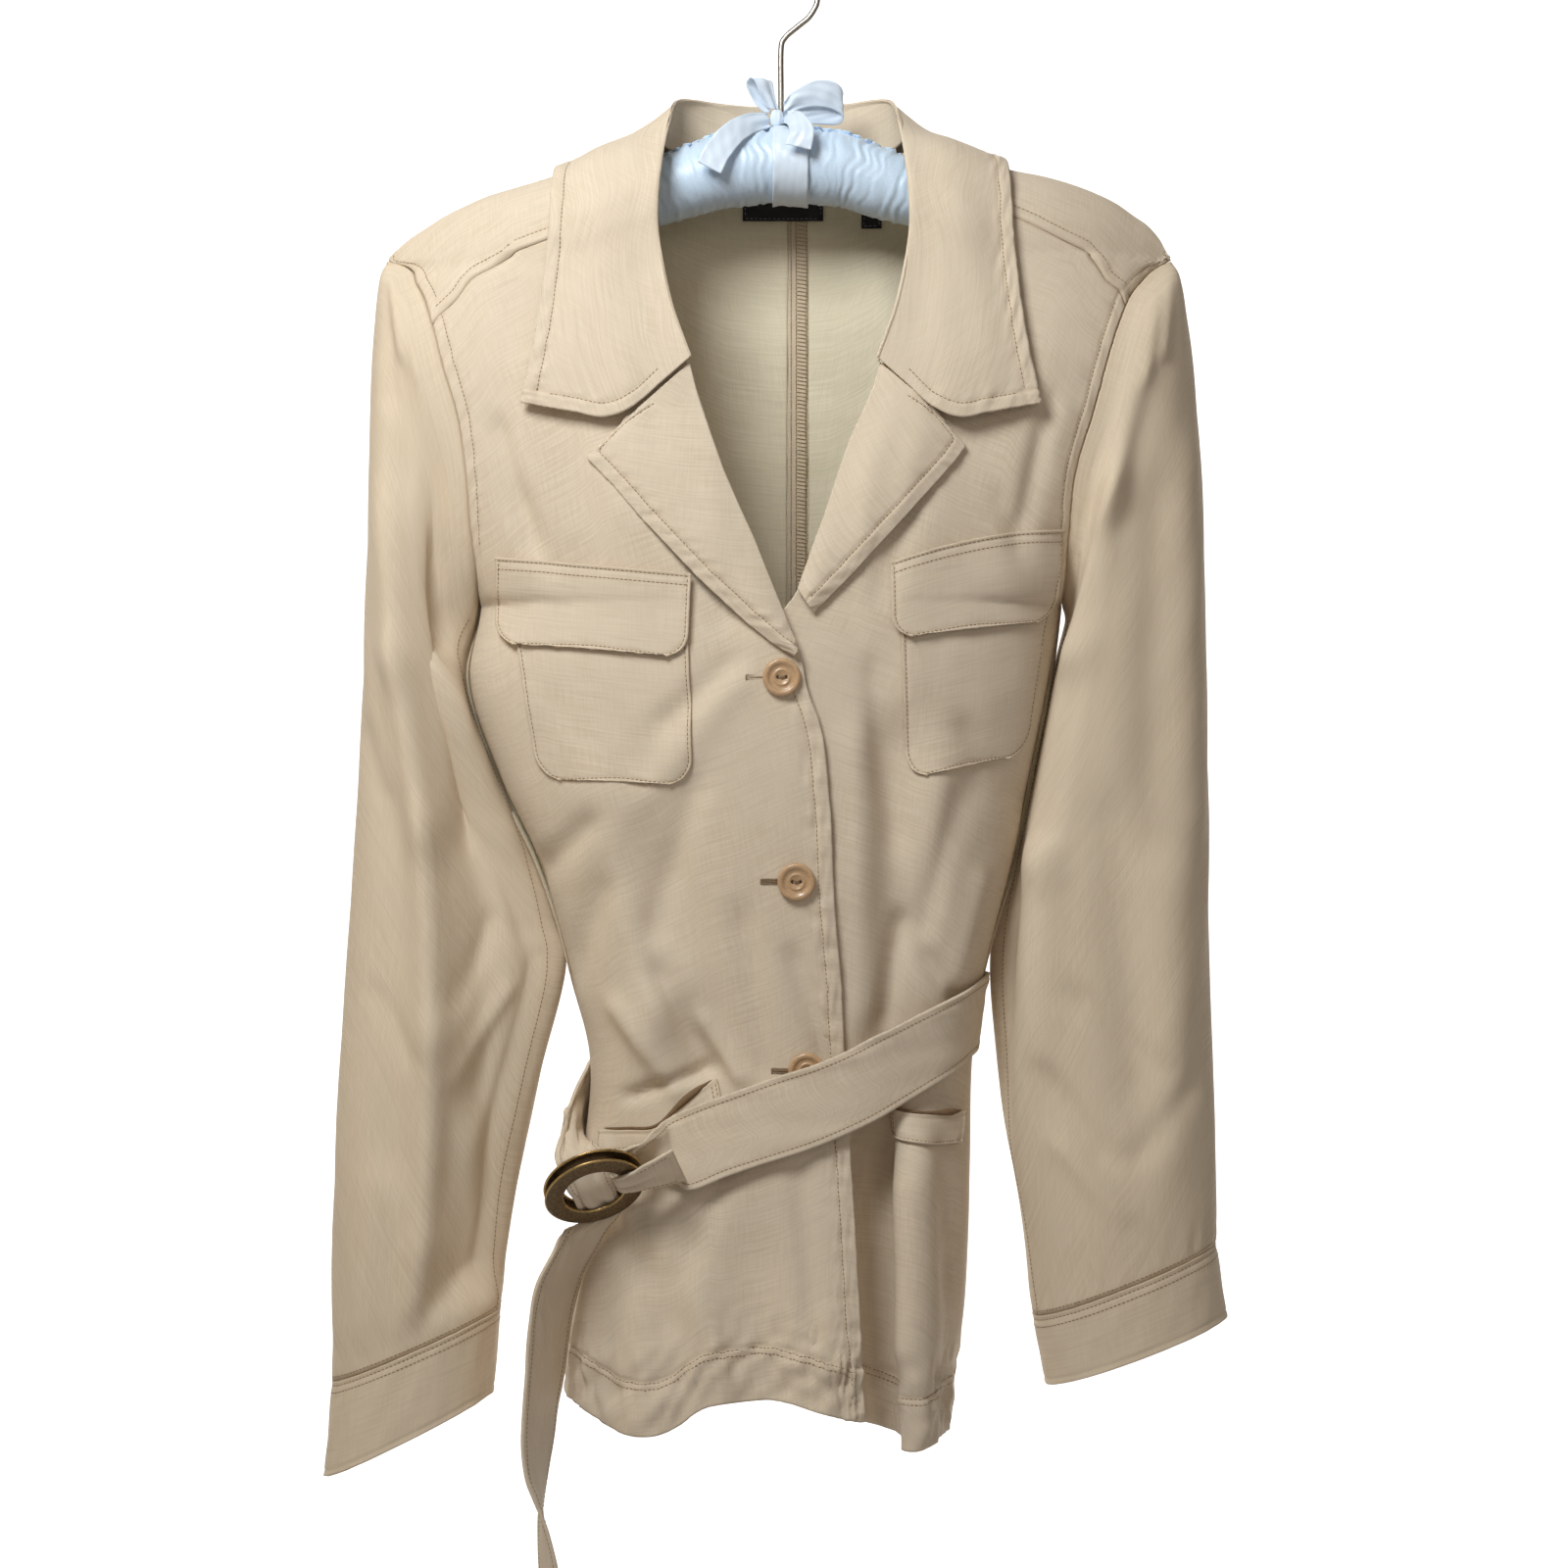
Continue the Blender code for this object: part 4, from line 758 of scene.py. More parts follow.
@dataclass
class Stitches:
    """Sewing thread gathered from every seam of a piece, as one joined mesh of small capsules.

    Attributes:
        look: the thread's material.
        length: visible length of a stitch.
        painted_shade: hidden length between two stitches.
        width: thickness of the thread.
        rows: starts, ends and normals of the stitches so far, one set a line.
    """

    look: bpy.types.Material
    length: float = 1.75
    painted_shade: float = 0.65
    width: float = 0.5
    rows: list = field(default_factory=list)

    def sew(self, line: Line, lift: float = 0.05) -> None:
        """Adds stitches along a line on the cloth.

        Args:
            line: its points and the cloth's normals.
            lift: height of the thread's middle above the line.
        """
        path, up = line
        if len(path) < 2:
            return
        run = running_length(path)
        pitch = self.length + self.painted_shade
        starts = np.arange(0.4, run[-1] - self.length, pitch)
        ends = [np.stack([np.interp(starts + add, run, path[:, k]) for k in range(3)], -1) for add in (0, self.length)]
        rise = unit(np.stack([np.interp(starts, run, up[:, k]) for k in range(3)], -1))
        self.rows.append((ends[0] + rise * lift, ends[1] + rise * lift, rise))

    def add(self, starts: np.ndarray, ends: np.ndarray, rise: np.ndarray) -> None:
        """Adds single stitches by their starts, their ends and the cloth's normals."""
        self.rows.append((starts, ends, rise))

    def build(self, name: str) -> bpy.types.Object:
        """One mesh of all the stitches: four-sided capsules with tapered ends, 28 triangles each.

        Args:
            name: the piece's name.

        Returns:
            The new object.
        """
        start, end, rise = (np.concatenate(part) for part in zip(*self.rows))
        heading = unit(end - start)
        side = unit(np.cross(heading, rise))
        over = np.cross(side, heading)
        turn = full_turn(4)
        profile = np.array([(0.0, 0.35), (0.2, 1.0), (0.8, 1.0), (1.0, 0.35)])
        along = (start[:, None] * (1 - profile[:, :1]) + end[:, None] * profile[:, :1])[:, :, None]
        ring = side[:, None, None] * np.cos(turn)[:, None] + over[:, None, None] * np.sin(turn)[:, None]
        points = along + ring * profile[:, 1][None, :, None, None] * self.width / 2
        faces = as_triangles(grid_faces(4, 4, True))
        caps = np.array([[0, 1, 2], [0, 2, 3], [12, 14, 13], [12, 15, 14]])
        faces = np.concatenate([faces, caps])
        faces = (faces[None] + 16 * np.arange(len(start))[:, None, None]).reshape(-1, 3)
        return write_mesh(name, points.reshape(-1, 3), faces, self.look)


@dataclass
class Nodes:
    """Short-hand for adding and joining shader nodes in one tree."""

    tree: bpy.types.NodeTree

    def add(self, kind: str, **values: object) -> bpy.types.Node:
        """A new node.

        Args:
            kind: its type.
            values: its properties and unlinked inputs, by name.

        Returns:
            The node.
        """
        node = self.tree.nodes.new(kind)
        for name, value in values.items():
            if hasattr(node, name):
                setattr(node, name, value)
            else:
                node.inputs[name.replace("_", " ")].default_value = value
        return node

    def link(self, output: Socket, target: Socket) -> None:
        """Joins an output to an input."""
        self.tree.links.new(output, target)

    def math(self, operation: str, a: Socket, b: Socket | float | None = None) -> Socket:
        """What a math node makes of one or two values.

        Args:
            operation: the sum it does.
            a: the first value.
            b: the second value, an output or a number, where it takes one.

        Returns:
            The node's output.
        """
        node = self.add("ShaderNodeMath", operation=operation, use_clamp=False)
        for socket, value in zip(node.inputs, (a, b)):
            if isinstance(value, (int, float)):
                socket.default_value = value
            elif value is not None:
                self.link(value, socket)
        return node.outputs[0]

    def mix(self, share: Socket, low: Socket | tuple, high: Socket | tuple) -> Socket:
        """A colour between two others.

        Args:
            share: how far it is from low to high.
            low: the first colour, an output or a value.
            high: the second colour, an output or a value.

        Returns:
            The mixed colour.
        """
        node = self.add("ShaderNodeMix", data_type="RGBA", blend_type="MIX")
        for socket, value in ((node.inputs[0], share), (node.inputs[6], low), (node.inputs[7], high)):
            if isinstance(value, (int, float)):
                socket.default_value = value
            elif isinstance(value, tuple):
                socket.default_value = (*value, 1.0)
            else:
                self.link(value, socket)
        return node.outputs[2]

    def noise(self, vector: Socket, scale: float, detail: float = 2.0, rough: float = 0.5) -> Socket:
        """Noise between 0 and 1 read at a vector.

        Args:
            vector: where to read it.
            scale: cells a metre.
            detail: how many finer layers it has.
            rough: how strong each finer layer is.

        Returns:
            The noise.
        """
        node = self.add("ShaderNodeTexNoise", Scale=scale, Detail=detail, Roughness=rough)
        self.link(vector, node.inputs["Vector"])
        return node.outputs[0]

    def stretched(self, vector: Socket, scale: tuple[float, float, float]) -> Socket:
        """The vector, each part multiplied."""
        node = self.add("ShaderNodeVectorMath", operation="MULTIPLY")
        node.inputs[1].default_value = scale
        self.link(vector, node.inputs[0])
        return node.outputs[0]

    def band(self, value: Socket, low: float, high: float, to_low: float = 0.0, to_high: float = 1.0) -> Socket:
        """One span of a value spread over another span, smoothly and clamped.

        Args:
            value: the value.
            low: start of its span.
            high: end of its span.
            to_low: start of the other span.
            to_high: end of the other span.

        Returns:
            The value in the other span.
        """
        node = self.add("ShaderNodeMapRange", interpolation_type="SMOOTHSTEP")
        for name, number in (("From Min", low), ("From Max", high), ("To Min", to_low), ("To Max", to_high)):
            node.inputs[name].default_value = number
        self.link(value, node.inputs["Value"])
        return node.outputs[0]


def new_group(name: str, outputs: tuple[str, ...]) -> bpy.types.NodeTree:
    """An empty shader node group with one vector input and float outputs.

    Args:
        name: its name.
        outputs: names of the outputs.

    Returns:
        The group.
    """
    group = bpy.data.node_groups.new(name, "ShaderNodeTree")
    group.interface.new_socket("Cloth", in_out="INPUT", socket_type="NodeSocketVector")
    for output in outputs:
        group.interface.new_socket(output, in_out="OUTPUT", socket_type="NodeSocketFloat")
    return group


# Radians of the weave's sine a metre, across the warp and across the weft
WARP_COUNT = 2 * math.pi / 0.00075
WEFT_COUNT = 2 * math.pi / 0.00085


def plain_weave() -> bpy.types.NodeTree:
    """Plain slubby weave read at cloth coordinates in metres.

    Returns:
        A group with four outputs from 0 to 1: the height of the threads, long weft slubs,
        slow cloudiness of the dye, and stray thick threads.
    """
    group = new_group("plain weave", ("Height", "Slub", "Cloud", "Stray"))
    n = Nodes(group)
    source = n.add("NodeGroupInput").outputs[0]
    sink = n.add("NodeGroupOutput")
    parts = n.add("ShaderNodeSeparateXYZ")
    wander = n.noise(source, 90.0, 1.0)
    n.link(source, parts.inputs[0])
    shift = n.math("MULTIPLY", wander, 0.0012)
    warp = n.math("SINE", n.math("MULTIPLY", n.math("ADD", parts.outputs[0], shift), WARP_COUNT))
    weft = n.math("SINE", n.math("MULTIPLY", n.math("ADD", parts.outputs[1], shift), WEFT_COUNT))
    cross = n.math("MULTIPLY", warp, weft)
    fine = n.noise(n.stretched(source, (260.0, 1500.0, 1.0)), 1.0, 2.0)
    long = n.noise(n.stretched(source, (34.0, 900.0, 1.0)), 1.0, 3.0, 0.6)
    tall = n.noise(n.stretched(source, (1100.0, 60.0, 1.0)), 1.0, 2.0, 0.6)
    stray = n.noise(n.stretched(source, (26.0, 520.0, 1.0)), 1.0, 0.0)
    slub = n.math("ADD", n.math("MULTIPLY", long, 0.62), n.math("MULTIPLY", tall, 0.38))
    height = n.math("ADD", n.math("MULTIPLY", cross, 0.22), n.math("ADD", fine, n.math("MULTIPLY", slub, 1.3)))
    n.link(height, sink.inputs["Height"])
    n.link(slub, sink.inputs["Slub"])
    n.link(n.noise(source, 14.0, 3.0), sink.inputs["Cloud"])
    n.link(n.band(stray, 0.66, 0.76), sink.inputs["Stray"])
    return group


@dataclass(frozen=True)
class Linen:
    """Sand-coloured slubby plain weave, matt, with a faint sheen at grazing angles and painted shade along its seams.

    Attributes:
        name: the material's name.
        colour: mean colour, linear.
        shade: colour of the threads' hollows, as a share of the mean.
        bump: strength of the weave's relief.
    """

    name: str = "linen"
    colour: tuple[float, float, float] = (0.68, 0.58, 0.455)
    shade: float = 0.93
    bump: float = 0.22

    def build(self, weave: bpy.types.NodeTree) -> bpy.types.Material:
        """The material.

        Args:
            weave: the node group that is read at the cloth's own coordinates.

        Returns:
            The new material.
        """
        made = bpy.data.materials.new(self.name)
        made.use_nodes = True
        n = Nodes(made.node_tree)
        shader = made.node_tree.nodes["Principled BSDF"]
        place = n.add("ShaderNodeUVMap", uv_map="cloth")
        cloth = n.add("ShaderNodeGroup", node_tree=weave)
        n.link(place.outputs[0], cloth.inputs[0])
        dark = tuple(c * self.shade * t for c, t in zip(self.colour, (1.0, 0.97, 0.92)))
        light = tuple(min(c * 1.07, 1.0) for c in self.colour)
        threads = n.mix(n.band(cloth.outputs["Slub"], 0.36, 0.64), light, dark)
        cloud = n.mix(n.band(cloth.outputs["Cloud"], 0.3, 0.7, 0.0, 0.5), threads, self.colour)
        stray = n.mix(n.math("MULTIPLY", cloth.outputs["Stray"], 0.22), cloud, tuple(c * 0.78 for c in self.colour))
        # Painted shade: a warm brown darkening of the cloth along sewn lines, piece edges and laps, where the stitches'
        # grooves and the pieces over it would shade it.
        sewn = n.add("ShaderNodeAttribute", attribute_name="tone").outputs["Fac"]
        seam = tuple(c * t for c, t in zip(self.colour, (0.78, 0.68, 0.56)))
        n.link(n.mix(n.math("MULTIPLY", sewn, 0.3), stray, seam), shader.inputs["Base Color"])
        shader.inputs["Roughness"].default_value = 0.86
        shader.inputs["Sheen Weight"].default_value = 0.05
        shader.inputs["Sheen Roughness"].default_value = 0.5
        shader.inputs["Sheen Tint"].default_value = (1.0, 0.95, 0.85, 1.0)
        bump = n.add("ShaderNodeBump", Strength=self.bump, Distance=0.00022)
        n.link(cloth.outputs["Height"], bump.inputs["Height"])
        n.link(bump.outputs[0], shader.inputs["Normal"])
        return made


@dataclass(frozen=True)
class Plain:
    """A smooth finish with a little uneven grain.

    Attributes:
        name: the material's name.
        colour: linear colour.
        roughness: how matt it is.
        metallic: 1 for bare metal.
        grain: scale of the unevenness, in cells a metre.
        depth: height of the unevenness, in metres.
        vary: how far the colour varies, as a share.
        coat: weight of a clear coat.
        sheen: weight of the sheen.
        stretch: scale of the grain along x, y and z.
        glow: strength of a white glow, for the studio's wall.
    """

    name: str
    colour: tuple[float, float, float]
    roughness: float
    metallic: float = 0.0
    grain: float = 400.0
    depth: float = 0.00002
    vary: float = 0.1
    coat: float = 0.0
    sheen: float = 0.0
    stretch: tuple[float, float, float] = (1.0, 1.0, 1.0)
    glow: float = 0.0

    def build(self) -> bpy.types.Material:
        """The new material, its grain read at the object's own coordinates."""
        made = bpy.data.materials.new(self.name)
        made.use_nodes = True
        n = Nodes(made.node_tree)
        shader = made.node_tree.nodes["Principled BSDF"]
        place = n.add("ShaderNodeTexCoord").outputs["Object"]
        grain = n.noise(n.stretched(place, self.stretch), self.grain, 3.0)
        dark = tuple(c * (1 - self.vary) for c in self.colour)
        light = tuple(min(c * (1 + self.vary), 1.0) for c in self.colour)
        n.link(n.mix(n.band(grain, 0.35, 0.65), dark, light), shader.inputs["Base Color"])
        n.link(n.band(grain, 0.3, 0.7, self.roughness * 0.9, self.roughness * 1.1), shader.inputs["Roughness"])
        shader.inputs["Metallic"].default_value = self.metallic
        shader.inputs["Coat Weight"].default_value = self.coat
        shader.inputs["Emission Strength"].default_value = self.glow
        shader.inputs["Sheen Weight"].default_value = self.sheen
        bump = n.add("ShaderNodeBump", Strength=0.6, Distance=self.depth)
        n.link(grain, bump.inputs["Height"])
        n.link(bump.outputs[0], shader.inputs["Normal"])
        return made


@dataclass(frozen=True)
class Looks:
    """Every material of the scene, built once."""

    linen: bpy.types.Material
    # inside: the same linen painted much paler, standing in for light on the back's inner face
    inside: bpy.types.Material
    # sleeve: the same linen painted a shade warmer, for how the sleeves look in the light
    sleeve: bpy.types.Material
    thread: bpy.types.Material
    dark_thread: bpy.types.Material
    grey_thread: bpy.types.Material
    shadow: bpy.types.Material
    satin: bpy.types.Material
    ribbon: bpy.types.Material
    tape: bpy.types.Material
    button: bpy.types.Material
    bronze: bpy.types.Material
    gilt: bpy.types.Material
    wire: bpy.types.Material
    floor: bpy.types.Material
    wall: bpy.types.Material


def make_looks() -> Looks:
    """Builds all the materials."""
    weave = plain_weave()
    return Looks(
        linen=Linen().build(weave),
        # Painted light: the back's inner face is the same linen made much paler, standing in for light that the lamps
        # don't bring into the back.
        inside=Linen("linen inside painted lighter", (0.84, 0.77, 0.60)).build(weave),
        # Painted light: the sleeves and cuffs take a copy of the same linen, tuned a shade warmer to how they look in
        # the light.
        sleeve=Linen("linen sleeve painted warmer", (0.685, 0.577, 0.44)).build(weave),
        thread=Plain("sewing thread", (0.27, 0.175, 0.09), 0.6, grain=2500.0, depth=0.0001, sheen=0.3).build(),
        dark_thread=Plain("overlock thread", (0.50, 0.38, 0.20), 0.65, grain=2500.0, depth=0.0001).build(),
        grey_thread=Plain("grey thread", (0.35, 0.36, 0.40), 0.6, grain=2500.0, depth=0.0001).build(),
        # Painted shade: a dark brown for tubes laid in the welts' and buttonholes' openings, standing in for the shade
        # inside them.
        shadow=Plain("painted gap shade", (0.20, 0.125, 0.065), 0.9).build(),
        satin=Plain("satin", (0.60, 0.74, 0.90), 0.38, grain=900.0, depth=0.00004, vary=0.03, sheen=0.35).build(),
        ribbon=Plain("ribbon satin", (0.70, 0.80, 0.92), 0.3, grain=1600.0, depth=0.00003, vary=0.02,
                     sheen=0.4, stretch=(1.0, 1.0, 3.0)).build(),
        tape=Plain("black tape", (0.014, 0.014, 0.018), 0.7, grain=1800.0, depth=0.0001, vary=0.3).build(),
        button=Plain("sand button", (0.52, 0.335, 0.185), 0.36, grain=500.0, vary=0.06, coat=0.25).build(),
        bronze=Plain("olive bronze", (0.13, 0.088, 0.045), 0.36, 0.75, grain=700.0, depth=0.00004, vary=0.25).build(),
        gilt=Plain("gilt edge", (0.55, 0.37, 0.15), 0.3, 0.9, grain=700.0, depth=0.00003).build(),
        wire=Plain("champagne wire", (0.42, 0.39, 0.35), 0.34, 1.0, grain=600.0, depth=0.00002, vary=0.08).build(),
        floor=Plain("pale floor", (0.93, 0.93, 0.93), 0.9, grain=20.0, depth=0.00002, vary=0.01).build(),
        wall=Plain("lit wall", (0.93, 0.93, 0.93), 0.9, grain=20.0, depth=0.00002, vary=0.01, glow=1.05).build(),
    )


# Small creases, front and back: x and drop of both ends, half width, height outwards
LEFT_CREASES = (
    (-148, 262, -132, 318, 6, -1.6), (-60, 300, -30, 356, 9, -1.4), (-28, 386, -58, 412, 7, -1.2),
    (-26, 396, -70, 452, 9, 1.0), (-104, 470, -128, 492, 7, -1.8), (-96, 505, -112, 546, 8, -2.0),
    (-46, 452, -66, 520, 8, -1.5), (-62, 548, -40, 590, 7, -2.6), (-84, 566, -58, 602, 6, 2.2),
    (-20, 520, -8, 592, 8, -1.4), (8, 540, 24, 588, 6, -1.6), (-40, 572, -22, 598, 5, 2.0),
    (-28, 640, -52, 700, 8, -1.6), (-90, 668, -60, 724, 9, -1.8), (10, 650, 18, 736, 7, -1.3),
    (-50, 700, -30, 752, 9, 1.4), (-96, 640, -84, 668, 7, 1.6), (-78, 610, -40, 596, 3.5, -2.2),
    (-136, 300, -120, 330, 8, -1.2), (-110, 228, -84, 300, 12, 1.2),
)
RIGHT_CREASES = (
    (140, 250, 128, 306, 6, -1.6), (70, 288, 54, 340, 9, -1.3), (48, 392, 60, 470, 8, -1.6),
    (96, 452, 74, 520, 8, -1.8), (104, 500, 92, 548, 6, 1.8), (38, 430, 44, 560, 9, 1.2),
    (62, 520, 54, 566, 5, -2.2), (78, 540, 96, 566, 6, -2.0), (84, 640, 90, 708, 8, -1.4),
    (66, 660, 64, 740, 6, 1.6), (92, 700, 86, 770, 7, -1.4), (116, 300, 124, 320, 7, -1.2),
    (100, 420, 122, 448, 8, -1.5), (48, 640, 54, 800, 8.5, -7.0), (72, 650, 70, 790, 12, 3.5),
)
BACK_CREASES = (
    (-60, 180, -84, 260, 14, -2.0), (56, 176, 82, 262, 14, -2.0), (-30, 260, -36, 420, 16, 1.6),
    (34, 280, 30, 430, 15, 1.4), (-72, 470, -40, 560, 9, -2.0), (66, 466, 36, 548, 9, -2.2),
    (-90, 520, -52, 582, 7, 1.8), (84, 520, 58, 580, 8, 1.6), (-20, 520, -12, 590, 8, -1.6),
    (24, 508, 20, 590, 9, -1.4), (-64, 640, -70, 740, 12, -2.0), (48, 640, 60, 748, 12, -1.8),
    (-130, 330, -104, 400, 12, -1.6), (128, 326, 102, 392, 12, -1.5),
)


def stitched(
    surface: Surface, edge: Edge, inset: float, seed: int, groove: float = 0.4, pucker: float = 0.6
) -> np.ndarray:
    """Height of a turned and stitched edge: its fold's extra layers, the stitches' groove and the puckers.

    Args:
        surface: the cloth.
        edge: the edge that is stitched.
        inset: distance of the stitches from it.
        seed: picks the puckers.
        groove: depth of the line that the stitches draw in.
        pucker: height of the puckers.

    Returns:
        One height a point.
    """
    away = surface.from_edge(edge)
    run = surface.from_edge(Edge.TOP if edge in (Edge.START, Edge.END) else Edge.START)
    waves = soft_noise(run / 12.0, away / 22.0, seed) + 0.5 * soft_noise(run / 5.0, away / 16.0, seed + 1)
    waves = waves + 0.6 * soft_noise(run / 3.2, away / 30.0, seed + 2)
    near = bell(away - inset * 0.7, inset * 0.75 + 1.5)
    return 0.3 * ease((inset - away) / 1.6) - groove * bell(away - inset, 1.0) + pucker * waves * near


def crumple(surface: Surface, seed: int, height: float = 0.45) -> np.ndarray:
    """Slow unevenness of hanging cloth, as soft noise of 60 mm and 26 mm.

    Args:
        surface: the cloth.
        seed: picks the unevenness.
        height: how high it is.

    Returns:
        One height a point.
    """
    x, drop = surface.points[..., 0], surface.points[..., 2]
    big = soft_noise(x / 60.0, drop / 85.0, seed)
    return height * (big + 0.35 * soft_noise(x / 26.0, drop / 34.0, seed + 7))


def part_of(line: Line, kept: np.ndarray | slice) -> Line:
    """The part of a line that a mask or a slice picks."""
    return line[0][kept], line[1][kept]


def between(line: Line, low: float, high: float) -> Line:
    """The part of a line between two drops."""
    return part_of(line, (line[0][:, 2] > low) & (line[0][:, 2] < high))


@dataclass
class Garment:
    """What every sub-assembly shares: its materials, and how its pieces are kept and sewn.

    Attributes:
        looks: the materials.
        made: every object of the garment, in the order it was made.
    """

    looks: Looks
    made: list = field(default_factory=list)

    def keep(self, piece: bpy.types.Object, nodes: tuple[str, ...], slot: str = "linen") -> None:
        """Lets a piece ride on the body and stand for its CAD nodes, which it hides.

        Args:
            piece: the object.
            nodes: the CAD nodes that it stands for.
            slot: a material slot; not used.
        """
        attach(piece, "root")
        if nodes:
            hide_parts(*nodes)
        self.made.append(piece)

    def cloth(
        self,
        name: str,
        surface: Surface,
        node: str,
        held: str = "hung",
        look: bpy.types.Material | None = None,
        thickness: float = CLOTH,
        turn_uv: float = 0.0,
        slot: str = "linen",
        rests_on: tuple[str, ...] = (),
        inside: bpy.types.Material | None = None,
    ) -> None:
        """One cut piece of cloth as a shell.

        Args:
            name: the piece's name.
            surface: its outer face.
            node: the CAD node that it stands for, empty for none.
            held: how it is held; not used.
            look: its material, the linen unless given.
            thickness: wall of the cloth.
            turn_uv: angle of the weave on the piece, in radians.
            slot: a material slot, passed on to keep.
            rests_on: pieces that it lies on; not used.
            inside: material of its inner face, where that isn't the same.
        """
        piece = cloth_shell(name, surface, look or self.looks.linen, thickness, turn_uv, inside)
        self.keep(piece, (node,) if node else (), slot)
        points = surface.points
        if surface.closed:
            points = np.concatenate([points, points[:, :1]], axis=1)

    def sew(self, name: str, lines: list[Line], **kind: object) -> None:
        """Sews along every line and keeps the stitches as one piece.

        Args:
            name: the piece's name.
            lines: the lines on the cloth.
            kind: the thread's look and sizes, where it isn't the usual one.
        """
        thread = Stitches(**{"look": self.looks.thread, **kind})
        for line in lines:
            thread.sew(line)
        self.keep(thread.build(name), ())


@dataclass
class Fronts(Garment):
    """The two fronts, from the forward shoulder seam to the hem."""

    edge_stitch: float = 8.4
    armhole_stitch: float = 7.4
    hem_deep: float = 28.0
    hem_pair: float = 3.2

    def outline(self, side: int) -> tuple[np.ndarray, np.ndarray]:
        """A fine grid: rows from the shoulder seam down, columns from the side in.

        Args:
            side: -1 for the left front, 1 for the right one.

        Returns:
            x and drop of its points.
        """
        share = spread(190, 3.2, 1.25, 12, 16)[None, :]
        down = spread(620, 2.8, 1.3, 8, 34)[:, None]
        f = side * (1 - 0.65 * share) * np.ones_like(down)
        column = 1 if side < 0 else 2
        for _ in range(12):
            top = shoulder_drop(f) + smooth(SHOULDER_SEAM, np.abs(f), column) + SEAM_GAP
            drop = top * (1 - down)
            hem = smooth(FRONT_HEM, f * half_width(f, drop + 700 * down))
            drop = drop + hem * down
            inner = smooth(FRONT_EDGE, drop[:, -1:], column)
            limit = inner / half_width(inner, drop[:, -1:])
            f = side + (limit - side) * share
        return f * half_width(f, drop), drop

    def surface(self, side: int) -> Surface:
        """A front's outer face with its creases and stitched edges."""
        x, drop = self.outline(side)
        y = np.minimum(-front_depth(x, drop, side), -SIDE_GAP)
        plain = Surface(with_y(x, drop, y), flip=side < 0)
        inside = ease(plain.from_edge(Edge.START) / 22) * ease(plain.from_edge(Edge.TOP) / 26)
        lower = below_armhole(drop)
        amount = crease_height(side, x, drop) + crumple(plain, 11 + side) * ease(plain.from_edge(Edge.START) / 30)
        amount = amount * inside
        amount += stitched(plain, Edge.START, self.armhole_stitch, 31 + side, pucker=0.45) * (1 - lower)
        amount += stitched(plain, Edge.BOTTOM, self.hem_deep, 51 + side, groove=0.8, pucker=1.7)
        lines = [(Edge.START, self.armhole_stitch, 0.8, 1 - lower), (Edge.START, 0.0, 1.0), (Edge.TOP, 0.0, 1.2)]
        lines += [(Edge.BOTTOM, self.hem_deep - k * self.hem_pair, 0.8) for k in (0, 1)]
        if side < 0:
            closing = ease((drop - 385) / 20)
            amount += stitched(plain, Edge.END, self.edge_stitch, 71, pucker=0.8) * closing
            lines.append((Edge.END, self.edge_stitch, 0.8, closing))
        return plain.toned(*lines).pushed(amount)

    def build(self) -> None:
        """Makes both fronts and their stitching."""
        for side, name in SIDES:
            surface = self.surface(side)
            self.cloth(f"front_{name}_cloth", surface, f"front_{name}", rests_on=("hanger_pad_satin",))
            lines = [between(surface.line(Edge.START, self.armhole_stitch), 190, 322)]
            lines += [surface.line(Edge.BOTTOM, self.hem_deep - k * self.hem_pair, 4, 3) for k in (0, 1)]
            if side < 0:
                lines.append(between(surface.line(Edge.END, self.edge_stitch), 388, 760))
            self.sew(f"front_{name}_stitches", lines)


def crease_height(side: int, x: np.ndarray, drop: np.ndarray) -> np.ndarray:
    """Height of a front's small creases; what lies on the front follows them too."""
    return CREASE_GAIN * fold_height(LEFT_CREASES if side < 0 else RIGHT_CREASES, x, drop)


